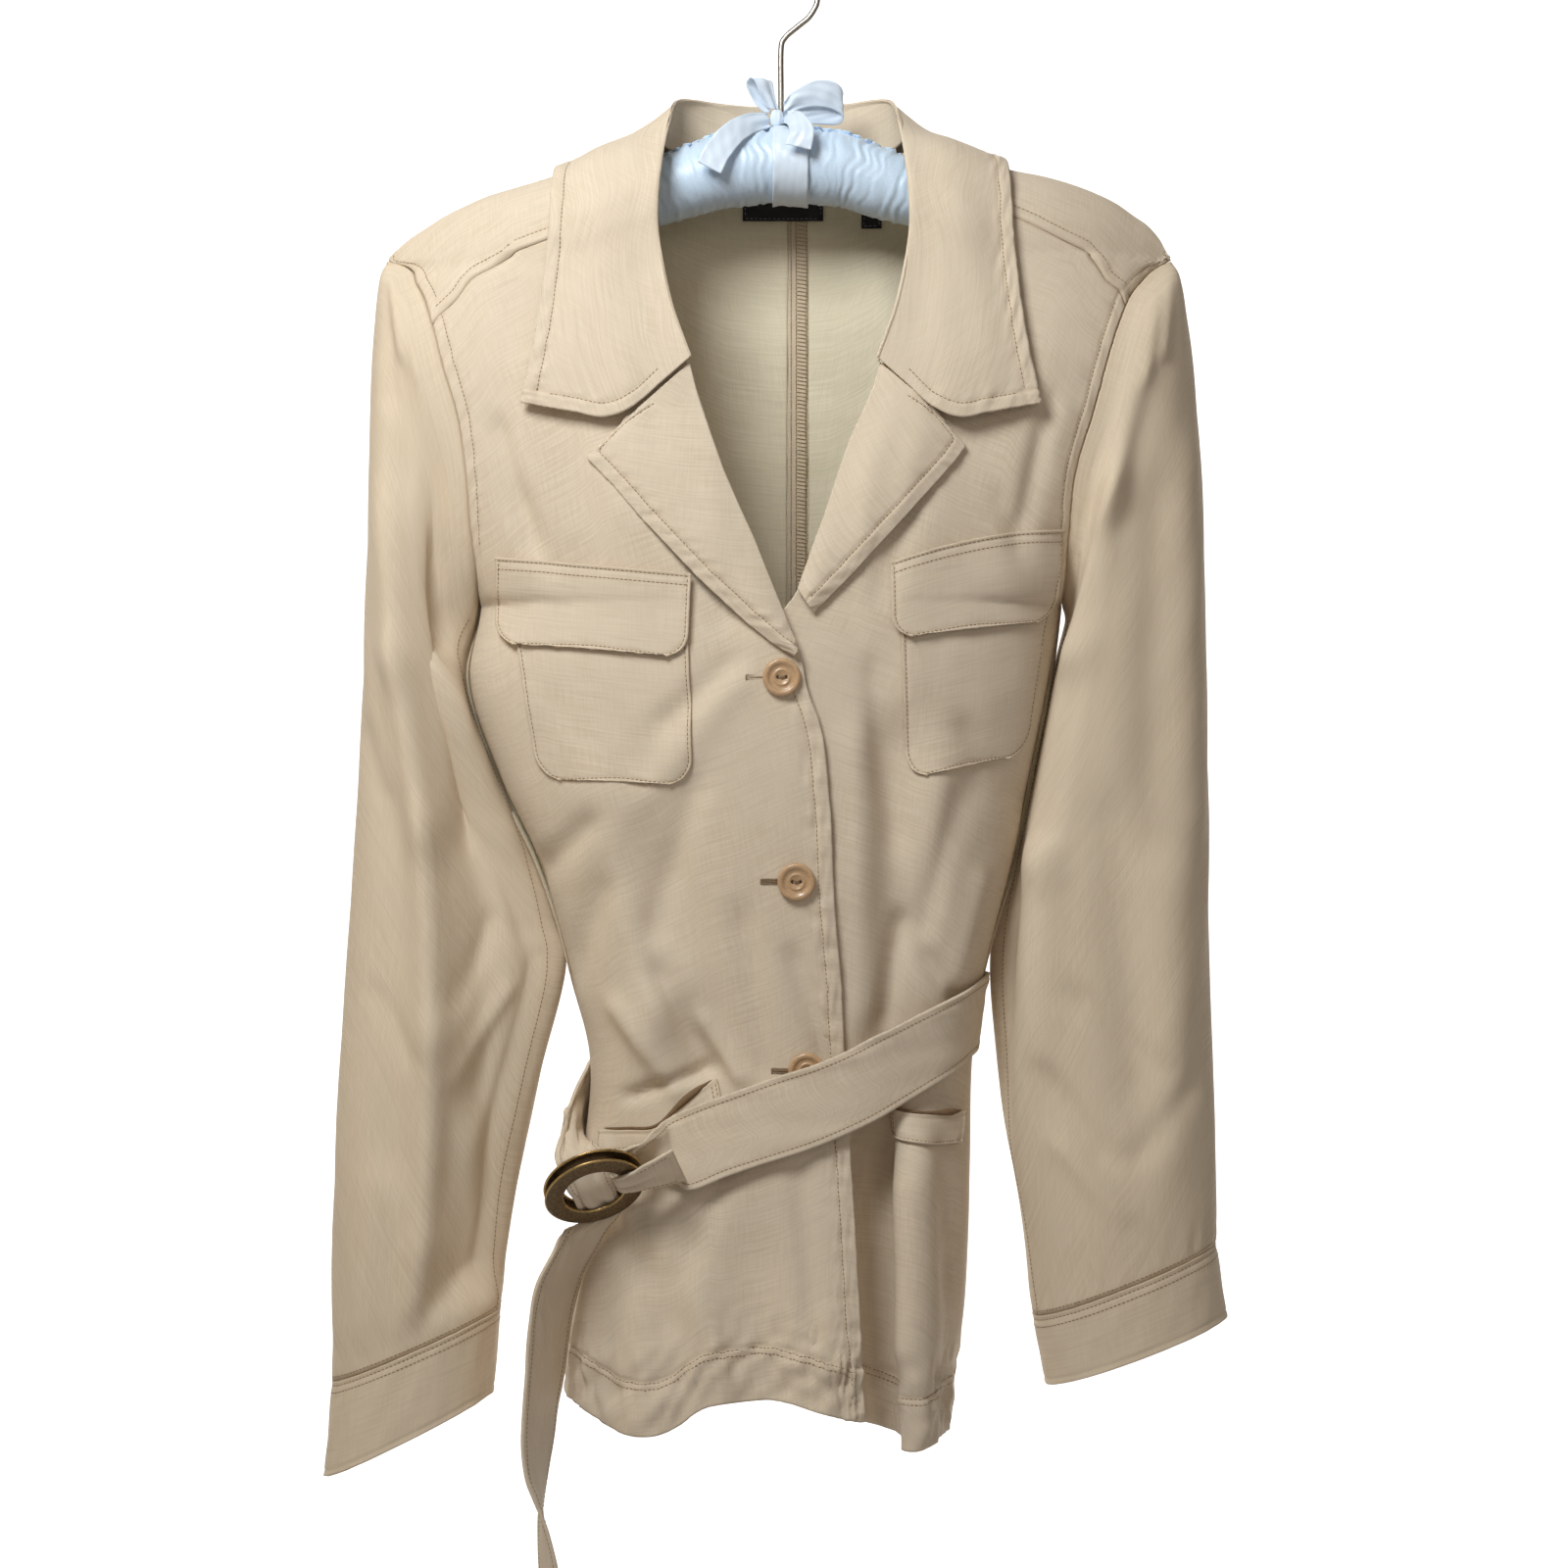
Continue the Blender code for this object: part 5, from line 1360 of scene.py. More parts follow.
@dataclass
class Backs(Garment):
    """The two backs, over the shoulder from the forward seam and down to the hem."""

    yoke_stitch: float = 6.6
    armhole_stitch: float = 7.4
    hem_deep: float = 28.0
    hem_pair: float = 3.2
    allowance: tuple[float, float] = (3.6, 14.0)
    side_panel: float = 4.4
    ahead_rows: int = 24
    down_rows: int = 230

    def surface(self, side: int) -> Surface:
        """A back's outer face: a few rows ahead of the shoulder line, the rest behind it."""
        share = spread(200, 3.4, 1.5, 12, 6)[None, :]
        inner = CENTRE_BACK / half_width(CENTRE_BACK, 400.0)
        f = side * (1 - share) + inner * share**8
        column = 1 if side < 0 else 2
        seam = -smooth(SHOULDER_SEAM, np.abs(f), column) + SEAM_GAP
        neck = np.interp(np.abs(f), BACK_NECK[:, 0], BACK_NECK[:, column])
        start = np.where(np.abs(f) < BACK_NECK[-1, 0], neck, seam)
        t = np.linspace(0, 1, self.ahead_rows, endpoint=False)[:, None]
        settle = 0.25 * np.arange(self.ahead_rows)[:, None]
        before = np.where(start < 0, start * (1 - t) ** 1.5, start + settle)
        first = np.where(start < 0, 0.0, start + 0.25 * self.ahead_rows)
        steps = np.linspace(0, 1, self.down_rows)[:, None]
        steps = 0.35 * steps**2.4 + 0.65 * steps**1.15
        hem = smooth(BACK_HEM, f * half_width(f, 760.0)) - shoulder_drop(f)
        below = np.concatenate([before, first + (hem - first) * steps])
        drop = shoulder_drop(f) + np.abs(below)
        panel = self.side_panel * bell(drop - 448, 72) * (1 - ease(share / 0.12))
        x = f * half_width(f, drop) + side * (0.08 * share**20 + panel)
        folds = LEFT_FOLDS if side < 0 else RIGHT_FOLDS
        y_front = -body_depth(f, drop, np.abs(below), folds, 3)
        y_back = body_depth(f, drop, np.abs(below), BACK_FOLDS, 4)
        y = np.where(below < 0, y_front, y_back)
        y[self.ahead_rows + 1 :] = np.maximum(y[self.ahead_rows + 1 :], SIDE_GAP)
        plain = Surface(with_y(x, drop, y), flip=side > 0)
        inside = ease(plain.from_edge(Edge.START) / 22) * ease((below - 30) / 60)
        amount = (CREASE_GAIN * fold_height(BACK_CREASES, x, drop) + crumple(plain, 21 + side, 0.6)) * inside
        high = 1 - below_armhole(drop)
        sleeve_seam = stitched(plain, Edge.START, self.armhole_stitch, 33 + side, pucker=0.2)
        amount += sleeve_seam * high * ease((below + 60) / 10)
        amount += stitched(plain, Edge.BOTTOM, self.hem_deep, 53 + side, pucker=0.8)
        outer = ease((np.abs(f) - 0.4) / 0.05)
        amount += stitched(plain, Edge.TOP, self.yoke_stitch, 61 + side, pucker=0.25) * outer
        amount += 0.35 * bell(plain.from_edge(Edge.END), 2.2) * inside
        lines = [(Edge.START, self.armhole_stitch, 0.8, high), (Edge.TOP, self.yoke_stitch, 0.8, outer)]
        lines += [(Edge.BOTTOM, self.hem_deep - k * self.hem_pair, 0.8) for k in (0, 1)]
        lines += [(Edge.END, 0.0, 1.0), (Edge.START, 0.0, 1.0), (Edge.TOP, 0.0, 1.0)]
        return plain.toned(*lines).pushed(amount)

    def build(self) -> None:
        """Makes both backs, their stitching and the overlocked seam inside."""
        for side, name in SIDES:
            surface = self.surface(side)
            # The backs' inner faces take the linen painted paler, as painted light.
            self.cloth(f"back_{name}_cloth", surface, f"back_{name}", rests_on=("hanger_pad_satin",),
                       inside=self.looks.inside)
            yoke = surface.line(Edge.TOP, self.yoke_stitch, 5, 0)
            sleeve_seam = surface.line(Edge.START, self.armhole_stitch, 10, 0)
            lines = [part_of(yoke, np.abs(yoke[0][:, 0]) > 86), part_of(sleeve_seam, sleeve_seam[0][:, 2] < 322)]
            lines += [surface.line(Edge.BOTTOM, self.hem_deep - k * self.hem_pair, 3, 3) for k in (0, 1)]
            self.sew(f"back_{name}_stitches", lines)
        self.overlock()

    def overlock(self) -> None:
        """The centre seam's allowance, folded to one side inside the back, and its overlock thread."""
        drop = np.linspace(136, 772, 300)[:, None]
        x = np.linspace(*self.allowance, 8)[None, :] + 0.5 * soft_noise(drop / 60, 0 * drop, 5)
        y = back_depth(x, drop) - CLOTH - 0.75 - 0.12 * soft_noise(drop / 9, x / 9, 6)
        folded = Surface(with_y(x, drop, y)).facing_front()
        self.cloth("centre_seam_allowance", folded, "", thickness=0.45)
        thread = Stitches(self.looks.dark_thread, length=3.0, painted_shade=0.0, width=0.42)
        steps = np.arange(138, 770, 2.1)
        low = np.full_like(steps, self.allowance[0] + 4.6)
        high = np.full_like(steps, self.allowance[1] + 0.2)
        depth_low = back_depth(low, steps) - CLOTH - 1.1
        depth_high = back_depth(high, steps) - CLOTH - 1.1
        first = np.stack([low, depth_low, steps], -1)
        last = np.stack([high, depth_high, steps + 0.9], -1)
        rise = np.tile((0.0, -1.0, 0.0), (len(steps), 1))
        thread.add(first, last, rise)
        for edge_x in (low, high, np.full_like(steps, self.allowance[0] + 1.8)):
            at = np.stack([edge_x, back_depth(edge_x, steps) - CLOTH - 1.15, steps], -1)
            thread.add(at[:-1], at[1:] - (0, 0, 0.2), rise[:-1])
        self.keep(thread.build("centre_seam_overlock"), ())


# Long creases of the sleeves' front and back: x and drop of both ends, half width, height outwards
LEFT_SLEEVE_FRONT = (
    (-206, 300, -201, 380, 10, 2.6), (-201, 380, -187, 470, 10, 3.4), (-187, 470, -181, 580, 11, 3.6),
    (-181, 580, -186, 690, 11, 3.0), (-186, 690, -196, 748, 10, 2.0), (-176, 330, -168, 470, 12, -3.0),
    (-160, 450, -154, 600, 14, -3.4), (-205, 470, -206, 640, 12, -2.4), (-150, 520, -172, 560, 6, -1.8),
    (-140, 560, -170, 600, 6, 1.6), (-214, 560, -196, 590, 6, -1.4), (-160, 640, -150, 700, 10, 1.8),
    (-200, 200, -204, 290, 10, -1.6), (-222, 420, -212, 450, 6, -1.2), (-216, 660, -222, 740, 10, 1.6),
    (-206, 182, -202, 216, 3.5, 2.0), (-199, 188, -192, 230, 3.5, 1.8), (-210, 184, -210, 240, 4, -1.5),
)
RIGHT_SLEEVE_FRONT = (
    (191, 200, 174, 290, 8, 3.2), (174, 290, 156, 378, 8, 3.6), (156, 378, 140, 490, 9, 3.4),
    (140, 490, 136, 590, 10, 2.8), (162, 300, 146, 378, 7, -3.0), (200, 300, 196, 470, 14, -2.6),
    (216, 280, 218, 460, 12, 2.2), (176, 470, 190, 600, 14, -3.0), (210, 500, 204, 640, 13, 2.4),
    (140, 600, 168, 640, 7, -2.0), (160, 560, 200, 596, 7, -1.8), (150, 640, 176, 670, 6, 1.6),
    (186, 220, 178, 300, 10, -1.4), (214, 610, 190, 640, 7, -1.5),
    (206, 182, 202, 216, 3.5, 1.8), (199, 188, 192, 230, 3.5, 1.6), (168, 320, 142, 470, 6, -2.6),
)
SLEEVE_BACK = (
    (-200, 240, -196, 420, 14, 2.6), (-176, 400, -168, 560, 14, -3.0), (-206, 520, -204, 700, 13, 2.4),
    (-150, 520, -186, 566, 7, -2.2), (198, 240, 188, 430, 14, 2.4), (168, 400, 160, 560, 13, -2.8),
    (202, 500, 198, 650, 13, 2.4), (146, 520, 180, 566, 7, -2.2), (-196, 560, -160, 600, 7, 1.8),
)


# A sleeve's long fold, seen from in front: the cloth on the body's side of it falls back
LEFT_FOLD_LINE = np.array([
    (170, -214), (260, -212), (342, -204.6), (408, -196), (465, -187.5), (521, -183), (580, -182),
    (653, -184), (743, -193),
], dtype=float)
RIGHT_FOLD_LINE = np.array([
    (170, 214), (205, 192), (240, 182), (284, 171), (325, 160), (378, 146), (430, 138), (486, 132),
    (530, 128), (760, 120),
], dtype=float)
FOLD_REACH = 44.0
FOLD_LIP = 11.0
FOLD_FALL = 16.0


def armhole(side: int, turn: np.ndarray) -> np.ndarray:
    """The body's edge at the sleeve, from the shoulder tip round the front and up the back.

    Args:
        side: -1 for the left armhole, 1 for the right one.
        turn: angles round it.

    Returns:
        One point an angle.
    """
    drop = ARM_MIDDLE - ARM_HALF * np.cos(turn)
    f = np.full_like(turn, float(side))
    below = drop - shoulder_drop(f)
    front = -body_depth(f, drop, below, (), 3)
    back = body_depth(f, drop, below, (), 4)
    return with_y(f * half_width(f, drop), drop, np.where(turn <= math.pi, front, back))


def sleeve_ring(row: np.ndarray, turn: np.ndarray) -> np.ndarray:
    """One ring of a sleeve: a flattened ellipse between its outer and its inner edge.

    Args:
        row: a row of a sleeve's table.
        turn: angles round it.

    Returns:
        One point an angle.
    """
    outer_x, outer_drop, inner_x, inner_drop, middle, half_depth, _ = row
    c = np.sign(np.cos(turn)) * np.abs(np.cos(turn)) ** (2 / SIDE_POWER)
    s = np.sign(np.sin(turn)) * np.abs(np.sin(turn)) ** (2 / SIDE_POWER)
    x = (outer_x + inner_x) / 2 + (outer_x - inner_x) / 2 * c
    drop = (outer_drop + inner_drop) / 2 + (outer_drop - inner_drop) / 2 * c
    return with_y(x, drop, middle - half_depth * s)


@dataclass
class Sleeves(Garment):
    """The two sleeves and their cuffs."""

    around: int = 96
    rows_per_ring: int = 16
    tucks: tuple = ((2.1, 4.0), (2.0, 2.0), (1.2, 0.6))

    def plain(self, side: int, table: np.ndarray) -> Surface:
        """A sleeve's outer face with no creases, its head tucked under the armhole's seam.

        Args:
            side: -1 for the left sleeve, 1 for the right one.
            table: its rings.

        Returns:
            The face, closed round its columns.
        """
        turn = full_turn(self.around)
        own = armhole(side, turn) + (side * ARM_GAP, 0, 0)
        first = sleeve_ring(table[0], turn)
        kept = 0.25 + 0.75 * np.sin(turn)[:, None] ** 2
        rings = [own] + [sleeve_ring(row, turn) + row[6] * kept * (own - first) for row in table[1:]]
        places = np.linspace(0, len(table) - 1, (len(table) - 1) * self.rows_per_ring + 1)
        outer = resample(np.array(rings), places)
        centre = np.array([0.0, 0.0, ARM_MIDDLE])
        heading = unit((outer[0] - centre) * (0, 1, 1))
        tucks = [outer[0] - heading * depth - (side * reach, 0, 0) for depth, reach in self.tucks]
        return Surface(np.concatenate([tucks, outer]), closed=True, flip=side < 0)

    def surface(self, side: int, table: np.ndarray) -> Surface:
        """A sleeve's outer face with its long folds, elbow creases and pulled cuff seam.

        Args:
            side: -1 for the left sleeve, 1 for the right one.
            table: its rings.

        Returns:
            The face; ahead of its long fold line the cloth stays, on the body's side it falls back.
        """
        plain = self.plain(side, table)
        x, y, drop = (plain.points[..., k] for k in range(3))
        facing = plain.normals()[..., 1]
        ahead = ease(-facing * 1.6)
        behind = ease(facing * 1.6)
        folds = LEFT_SLEEVE_FRONT if side < 0 else RIGHT_SLEEVE_FRONT
        amount = 0.75 * CREASE_GAIN * (fold_height(folds, x, drop) * ahead + fold_height(SLEEVE_BACK, x, drop) * behind)
        amount += 0.5 * soft_noise(x / 46, (drop + 3 * y) / 90, 41 + side)
        beyond = -side * (x - smooth(LEFT_FOLD_LINE if side < 0 else RIGHT_FOLD_LINE, drop))
        edge = 1.8 * bell(beyond + 4, 7)
        fall = 0.4 * ease((beyond + 2) / FOLD_LIP) + 0.6 * ease((beyond + 3) / FOLD_REACH)
        amount += (edge - FOLD_FALL * fall) * ahead * ease((drop - 190) / 120)
        inside = ease(plain.from_edge(Edge.TOP) / 40) * ease((plain.from_edge(Edge.BOTTOM) - 4) / 26)
        amount = amount * inside
        down = plain.from_edge(Edge.BOTTOM)
        gather = soft_noise(full_turn(self.around)[None, :] * 6.0, down / 40.0, 43 + side)
        amount += 0.9 * gather * bell(down, 16) * ease(down / 5)
        # Painted shade: the marks below darken the cuff seam, the sleeve's head just under the armhole's edge, and the
        # underarm seam.
        underarm = np.zeros_like(x)
        underarm[:, self.around // 2 - 4] = 0.8
        made = plain.toned((Edge.BOTTOM, 0.0, 1.0), (Edge.BOTTOM, 2.0, 0.7), (Edge.TOP, 4.0, 2.4))
        made.tone = np.maximum(made.tone, underarm)
        return made.pushed(amount)

    def cuff(self, side: int, table: np.ndarray, end: tuple) -> Surface:
        """A cuff's outer face, from its seam to its open end.

        Args:
            side: -1 for the left cuff, 1 for the right one.
            table: the sleeve's rings, of which the last one is the seam.
            end: the ring at the open end.

        Returns:
            The face, closed round its columns.
        """
        turn = full_turn(self.around)
        top = np.array(table[-1]) + (0, 0.4, 0, 0.4, 0, 0.6, 0)
        bottom = np.array(end) + (0, 0, 0, 0, 0, 0.6, 0)
        shares = spread(45, 2.2, 0.9, 6, 6)
        rings = np.array([sleeve_ring(top + (bottom - top) * t, turn) for t in shares])
        plain = Surface(rings, closed=True, flip=side < 0)
        amount = 0.35 * soft_noise(turn[None, :] * 3.0, plain.from_edge(Edge.TOP) / 30, 45 + side)
        for edge, inset in ((Edge.TOP, 2.4), (Edge.BOTTOM, 3.0)):
            away = plain.from_edge(edge)
            amount = amount - 0.35 * bell(away - inset, 0.9) + 0.15 * bell(away, 1.2)
        return plain.toned((Edge.TOP, 0.0, 0.9), (Edge.TOP, 2.4, 0.7), (Edge.TOP, 6.2, 0.7)).pushed(amount)

    def build(self) -> None:
        """Makes both sleeves, their cuffs and the stitching."""
        tables = ((LEFT_SLEEVE, LEFT_CUFF_END), (RIGHT_SLEEVE, RIGHT_CUFF_END))
        for (side, name), (table, end) in zip(SIDES, tables):
            sleeve = self.surface(side, table)
            cuff = self.cuff(side, table, end)
            # Sleeves and cuffs wear the warmer painted copy of the linen.
            self.cloth(f"sleeve_{name}_cloth", sleeve, f"sleeve_{name}", look=self.looks.sleeve,
                       rests_on=(f"front_{name}_cloth",))
            self.cloth(f"cuff_{name}_cloth", cuff, f"cuff_{name}", look=self.looks.sleeve,
                       rests_on=(f"sleeve_{name}_cloth",))
            rings = (cuff.line(Edge.TOP, 2.4), cuff.line(Edge.TOP, 6.2), sleeve.line(Edge.BOTTOM, 2.0))
            lines = [self.whole_round(line) for line in rings]
            inner = self.around // 2 - 4
            kept = slice(self.rows_per_ring + 3, None)
            lines.append((sleeve.points[kept, inner], sleeve.normals()[kept, inner]))
            self.sew(f"sleeve_{name}_stitches", lines)

    @staticmethod
    def whole_round(line: Line) -> Line:
        """A line joined back to its own start."""
        path, up = line
        return np.concatenate([path, path[:1]]), np.concatenate([up, up[:1]])


def push_out(points: np.ndarray, lift: np.ndarray) -> np.ndarray:
    """Moves points out from the shoulder and body until they stand clear by a lift.

    Each point moves square to x, away from a pivot inside the body; the body's face on that line is
    found by halving, and a soft maximum keeps points that already stand clear.

    Args:
        points: the points.
        lift: how far they have to stand off the body.

    Returns:
        The moved points.
    """
    x, y, drop = points[..., 0], points[..., 1], points[..., 2]
    ridge = shoulder_drop(np.clip(x / half_width(x, drop), -1, 1))
    pivot = np.maximum(drop, ridge + 30)
    direction = np.stack([y, drop - pivot], -1)
    length = np.maximum(np.hypot(direction[..., 0], direction[..., 1]), 1e-6)
    heading = direction / length[..., None]
    low, high = np.zeros_like(length), np.full_like(length, 120.0)
    for _ in range(24):
        r = (low + high) / 2
        py, pd = heading[..., 0] * r, pivot + heading[..., 1] * r
        f = np.clip(x / half_width(x, pd), -1, 1)
        below = pd - shoulder_drop(f)
        ahead = np.maximum(body_depth(f, pd, below, LEFT_FOLDS, 3), body_depth(f, pd, below, RIGHT_FOLDS, 3))
        ahead = ahead + LAP * ease((x + 72) / 40) * (x < 30)
        depth = np.where(py < 0, ahead, body_depth(f, pd, below, BACK_FOLDS, 4))
        inside = (below > 0) & (np.abs(py) < depth)
        low, high = np.where(inside, r, low), np.where(inside, high, r)
    wanted = low + lift
    reach = (length + wanted + np.sqrt((length - wanted) ** 2 + 1.5**2)) / 2
    return with_y(x, pivot + heading[..., 1] * reach, heading[..., 0] * reach)


@dataclass
class Neckline(Garment):
    """Collar with its stand, and the two lapels."""

    stitch: float = 7.6

    def collar(self) -> Surface:
        """The collar's outer face: stand from the neck seam up to the roll, then the fall."""
        right = COLLAR[-2::-1] * (-1, 1, 1, -1, 1, 1, -1, 1, 1, 1)
        full = np.concatenate([COLLAR, right])
        full[:, 3] += COLLAR_MIDDLE
        fine = np.arange(0, len(full) - 0.99, 0.5)
        index = np.arange(len(full), dtype=float)
        full = np.stack([smooth(np.stack([index, full[:, c]], -1), fine) for c in range(10)], -1)
        neck, roll, outer, dip = full[:, 0:3], full[:, 3:6], full[:, 6:9], full[:, 9:10]
        stand = [neck + (roll - neck) * t for t in (0.0, 0.5, 0.9)]
        fall = []
        for t in np.linspace(0, 1, 7):
            sag = np.concatenate([0 * dip, 0 * dip, dip * min(t / 0.42, (1 - t) / 0.58)], -1)
            lift = 3.1 + 1.5 + 2.8 * math.sin(math.pi * min(t * 1.15, 1.0)) + 1.2 * (t == 0)
            fall.append(push_out(roll + (outer - roll) * t + sag, lift))
        grid = np.array(stand + fall)
        rows = spread(75, 1.6, 0.9, 3, 10) * (len(grid) - 1)
        columns = spread(560, 2.6, 1.2, 12, 12) * (grid.shape[1] - 1)
        plain = Surface(resample(resample(grid, rows), columns, axis=1))
        plain.flip = bool(plain.normals()[-12, plain.points.shape[1] // 2, 1] < 0)
        fall_only = ease((plain.from_edge(Edge.TOP) - 26) / 14)
        x, drop = plain.points[..., 0], plain.points[..., 2]
        amount = 0.45 * soft_noise(x / 34, drop / 48, 81) * fall_only
        for edge, seed in ((Edge.BOTTOM, 83), (Edge.START, 85), (Edge.END, 87)):
            amount += stitched(plain, edge, self.stitch, seed, pucker=0.55) * fall_only
        sewn = [(edge, self.stitch, 0.8, fall_only) for edge in (Edge.BOTTOM, Edge.START, Edge.END)]
        return plain.toned(*sewn).pushed(amount)

    def lapel(self, table: np.ndarray, side: int) -> Surface:
        """A lapel's outer face, from the roll out to its edge.

        Args:
            table: its rows from the notch down.
            side: -1 for the left lapel, 1 for the right one.

        Returns:
            The face.
        """
        share = spread(60, 1.8, 0.9, 3, 10)
        index = np.arange(len(table), dtype=float)
        length = np.hypot(*(table[-1, :2] - table[0, :2]))
        fine = spread(length, 1.8, 0.9, 9, 4) * (len(table) - 1)
        rows = np.stack([np.interp(fine, index, table[:, c]) for c in range(4)], -1)
        x = rows[:, 0:1] * (1 - share) + rows[:, 2:3] * share
        drop = rows[:, 1:2] * (1 - share) + rows[:, 3:4] * share
        lift = 1.0 + 1.5 + 3.0 * np.sin(math.pi * share) + 0.25
        plain = Surface(with_y(x, drop, -front_depth(x, drop, side) - lift)).facing_front()
        amount = 0.35 * soft_noise(x / 30, drop / 34, 91 + side)
        amount += stitched(plain, Edge.END, self.stitch, 93 + side, pucker=0.45)
        beyond = ease((share - 0.45) / 0.1)
        amount += stitched(plain, Edge.TOP, self.stitch, 95 + side, pucker=0.3) * beyond
        sewn = ((Edge.END, self.stitch, 0.8), (Edge.TOP, self.stitch, 0.8, beyond), (Edge.TOP, 0.0, 1.0))
        return plain.toned(*sewn).pushed(amount)

    def build(self) -> None:
        """Makes the collar, the lapels and their stitching."""
        collar = self.collar()
        self.cloth("collar_cloth", collar, "collar", rests_on=("back_left_cloth", "back_right_cloth"))
        lines = [collar.line(Edge.BOTTOM, self.stitch, self.stitch, self.stitch)]
        for edge in (Edge.START, Edge.END):
            line = collar.line(edge, self.stitch)
            lines.append(part_of(line, slice(int(len(line[0]) * 0.42), -8)))
        self.sew("collar_stitches", lines)
        for (side, name), table in zip(SIDES, (LEFT_LAPEL, RIGHT_LAPEL)):
            lapel = self.lapel(table, side)
            self.cloth(f"lapel_{name}_cloth", lapel, f"lapel_{name}", turn_uv=side * 0.6,
                       rests_on=(f"front_{name}_cloth",))
            notch = lapel.line(Edge.TOP, self.stitch, 0, self.stitch)
            edge = lapel.line(Edge.END, self.stitch, self.stitch, 2)
            self.sew(f"lapel_{name}_stitches", [edge, part_of(notch, slice(len(notch[0]) // 2, None))])


@dataclass
class Pockets(Garment):
    """Chest pockets with their flaps, and the hip welts."""

    trim_lift: float = 1.5
    flap_lift: float = 3.6
    thickness: float = 0.9

    def patch(
        self,
        corners: tuple,
        side: int,
        corner_radius: float,
        lift: float,
        gape: float = 0.0,
        double: float = 0.0,
        sag: tuple = (),
    ) -> Surface:
        """A four-cornered piece with rounded lower corners, lying on a front.

        Args:
            corners: its corners and the raise of its top edge.
            side: which front it lies on.
            corner_radius: radius of its lower corners, 0 for none.
            lift: height of its face above the front.
            gape: how far its lower edge stands off.
            double: 1 where its top edge is sewn twice.
            sag: how far it hangs below a straight line at even steps across.

        Returns:
            Its outer face.
        """
        (x0, d0), (x1, d1), (x2, d2), (x3, d3), raised = corners
        width, height = abs(x1 - x0), (d2 + d3 - d0 - d1) / 2
        u = spread(width, 2.4, 0.9, 6, 6)[None, :]
        v = spread(height, 2.2, 0.9, 6, 4 if corner_radius else 6)[:, None]
        inset = np.zeros_like(v)
        if corner_radius:
            turn = np.linspace(0, math.pi / 2, 14)
            low = 1 - corner_radius / height + corner_radius / height * np.sin(turn)
            v = np.concatenate([v[v < low[0] - 0.01], low])[:, None]
            over = np.clip((v - low[0]) * height / corner_radius, 0, 1)
            inset = corner_radius * (1 - np.sqrt(1 - over**2 * 0.985))
        u = u * (1 - 2 * inset / width) + inset / width
        x = (x0 * (1 - u) + x1 * u) * (1 - v) + (x2 * (1 - u) + x3 * u) * v
        drop = (d0 * (1 - u) + d1 * u) * (1 - v) + (d2 * (1 - u) + d3 * u) * v
        drop = drop - raised * 4 * u * (1 - u) * (1 - v)
        if sag:
            table = np.stack([np.linspace(0, 1, len(sag)), sag], -1)
            drop = drop + smooth(table, u) * (1 - 0.25 * v)
        depth = front_depth(x, drop, side)
        slope = (front_depth(x + 4, drop, side) - front_depth(x - 4, drop, side)) / 8
        depth = depth + (lift + gape * v**2) * np.sqrt(1 + np.minimum(slope**2, 6.0))
        plain = Surface(with_y(x, drop, -depth)).facing_front()
        amount = crease_height(side, x, drop) + 0.3 * soft_noise(x / 26, drop / 30, int(abs(x0)) + side)
        for edge, seed in ((Edge.TOP, 1), (Edge.BOTTOM, 3), (Edge.START, 5), (Edge.END, 7)):
            amount = amount + stitched(plain, edge, 2.0, seed + int(abs(d0)), 0.25, 0.2)
        sewn = [(edge, 1.9, 0.7) for edge in (Edge.START, Edge.BOTTOM, Edge.END)]
        sewn += [(Edge.TOP, 1.6, 0.7), (Edge.TOP, 6.2, 0.7, double)] + [(edge, 0.0, 0.7) for edge in Edge]
        return plain.toned(*sewn).pushed(amount)

    def build(self) -> None:
        """Makes pockets, flaps and welts with their stitching."""
        round_foot = (Edge.START, Edge.BOTTOM, Edge.END)
        for (side, name), pocket, flap in zip(SIDES, (LEFT_POCKET, RIGHT_POCKET), (LEFT_FLAP, RIGHT_FLAP)):
            bag = self.patch(pocket, side, POCKET_CORNER, self.trim_lift)
            lid = self.patch(flap, side, FLAP_CORNER, self.flap_lift, gape=0.7, double=1.0)
            self.cloth(f"chest_pocket_{name}_cloth", bag, f"chest_pocket_{name}", thickness=self.thickness,
                       rests_on=(f"front_{name}_cloth",))
            self.cloth(f"chest_flap_{name}_cloth", lid, f"chest_flap_{name}", thickness=self.thickness,
                       rests_on=(f"chest_pocket_{name}_cloth",))
            lines = [piece.line(edge, 1.9, 2, 2) for piece in (bag, lid) for edge in round_foot]
            lines += [lid.line(Edge.TOP, inset, 1, 1) for inset in (1.6, 6.2)]
            self.sew(f"chest_pocket_{name}_stitches", lines)
        welts = ((LEFT_WELT, 1.9, (9, 13, 16, 7, 0)), (RIGHT_WELT, 2.5, (0, 1.5, 2, 1.5, 0)))
        for (side, name), (corners, lift, sag) in zip(SIDES, welts):
            self.welt(side, name, corners, lift, sag)

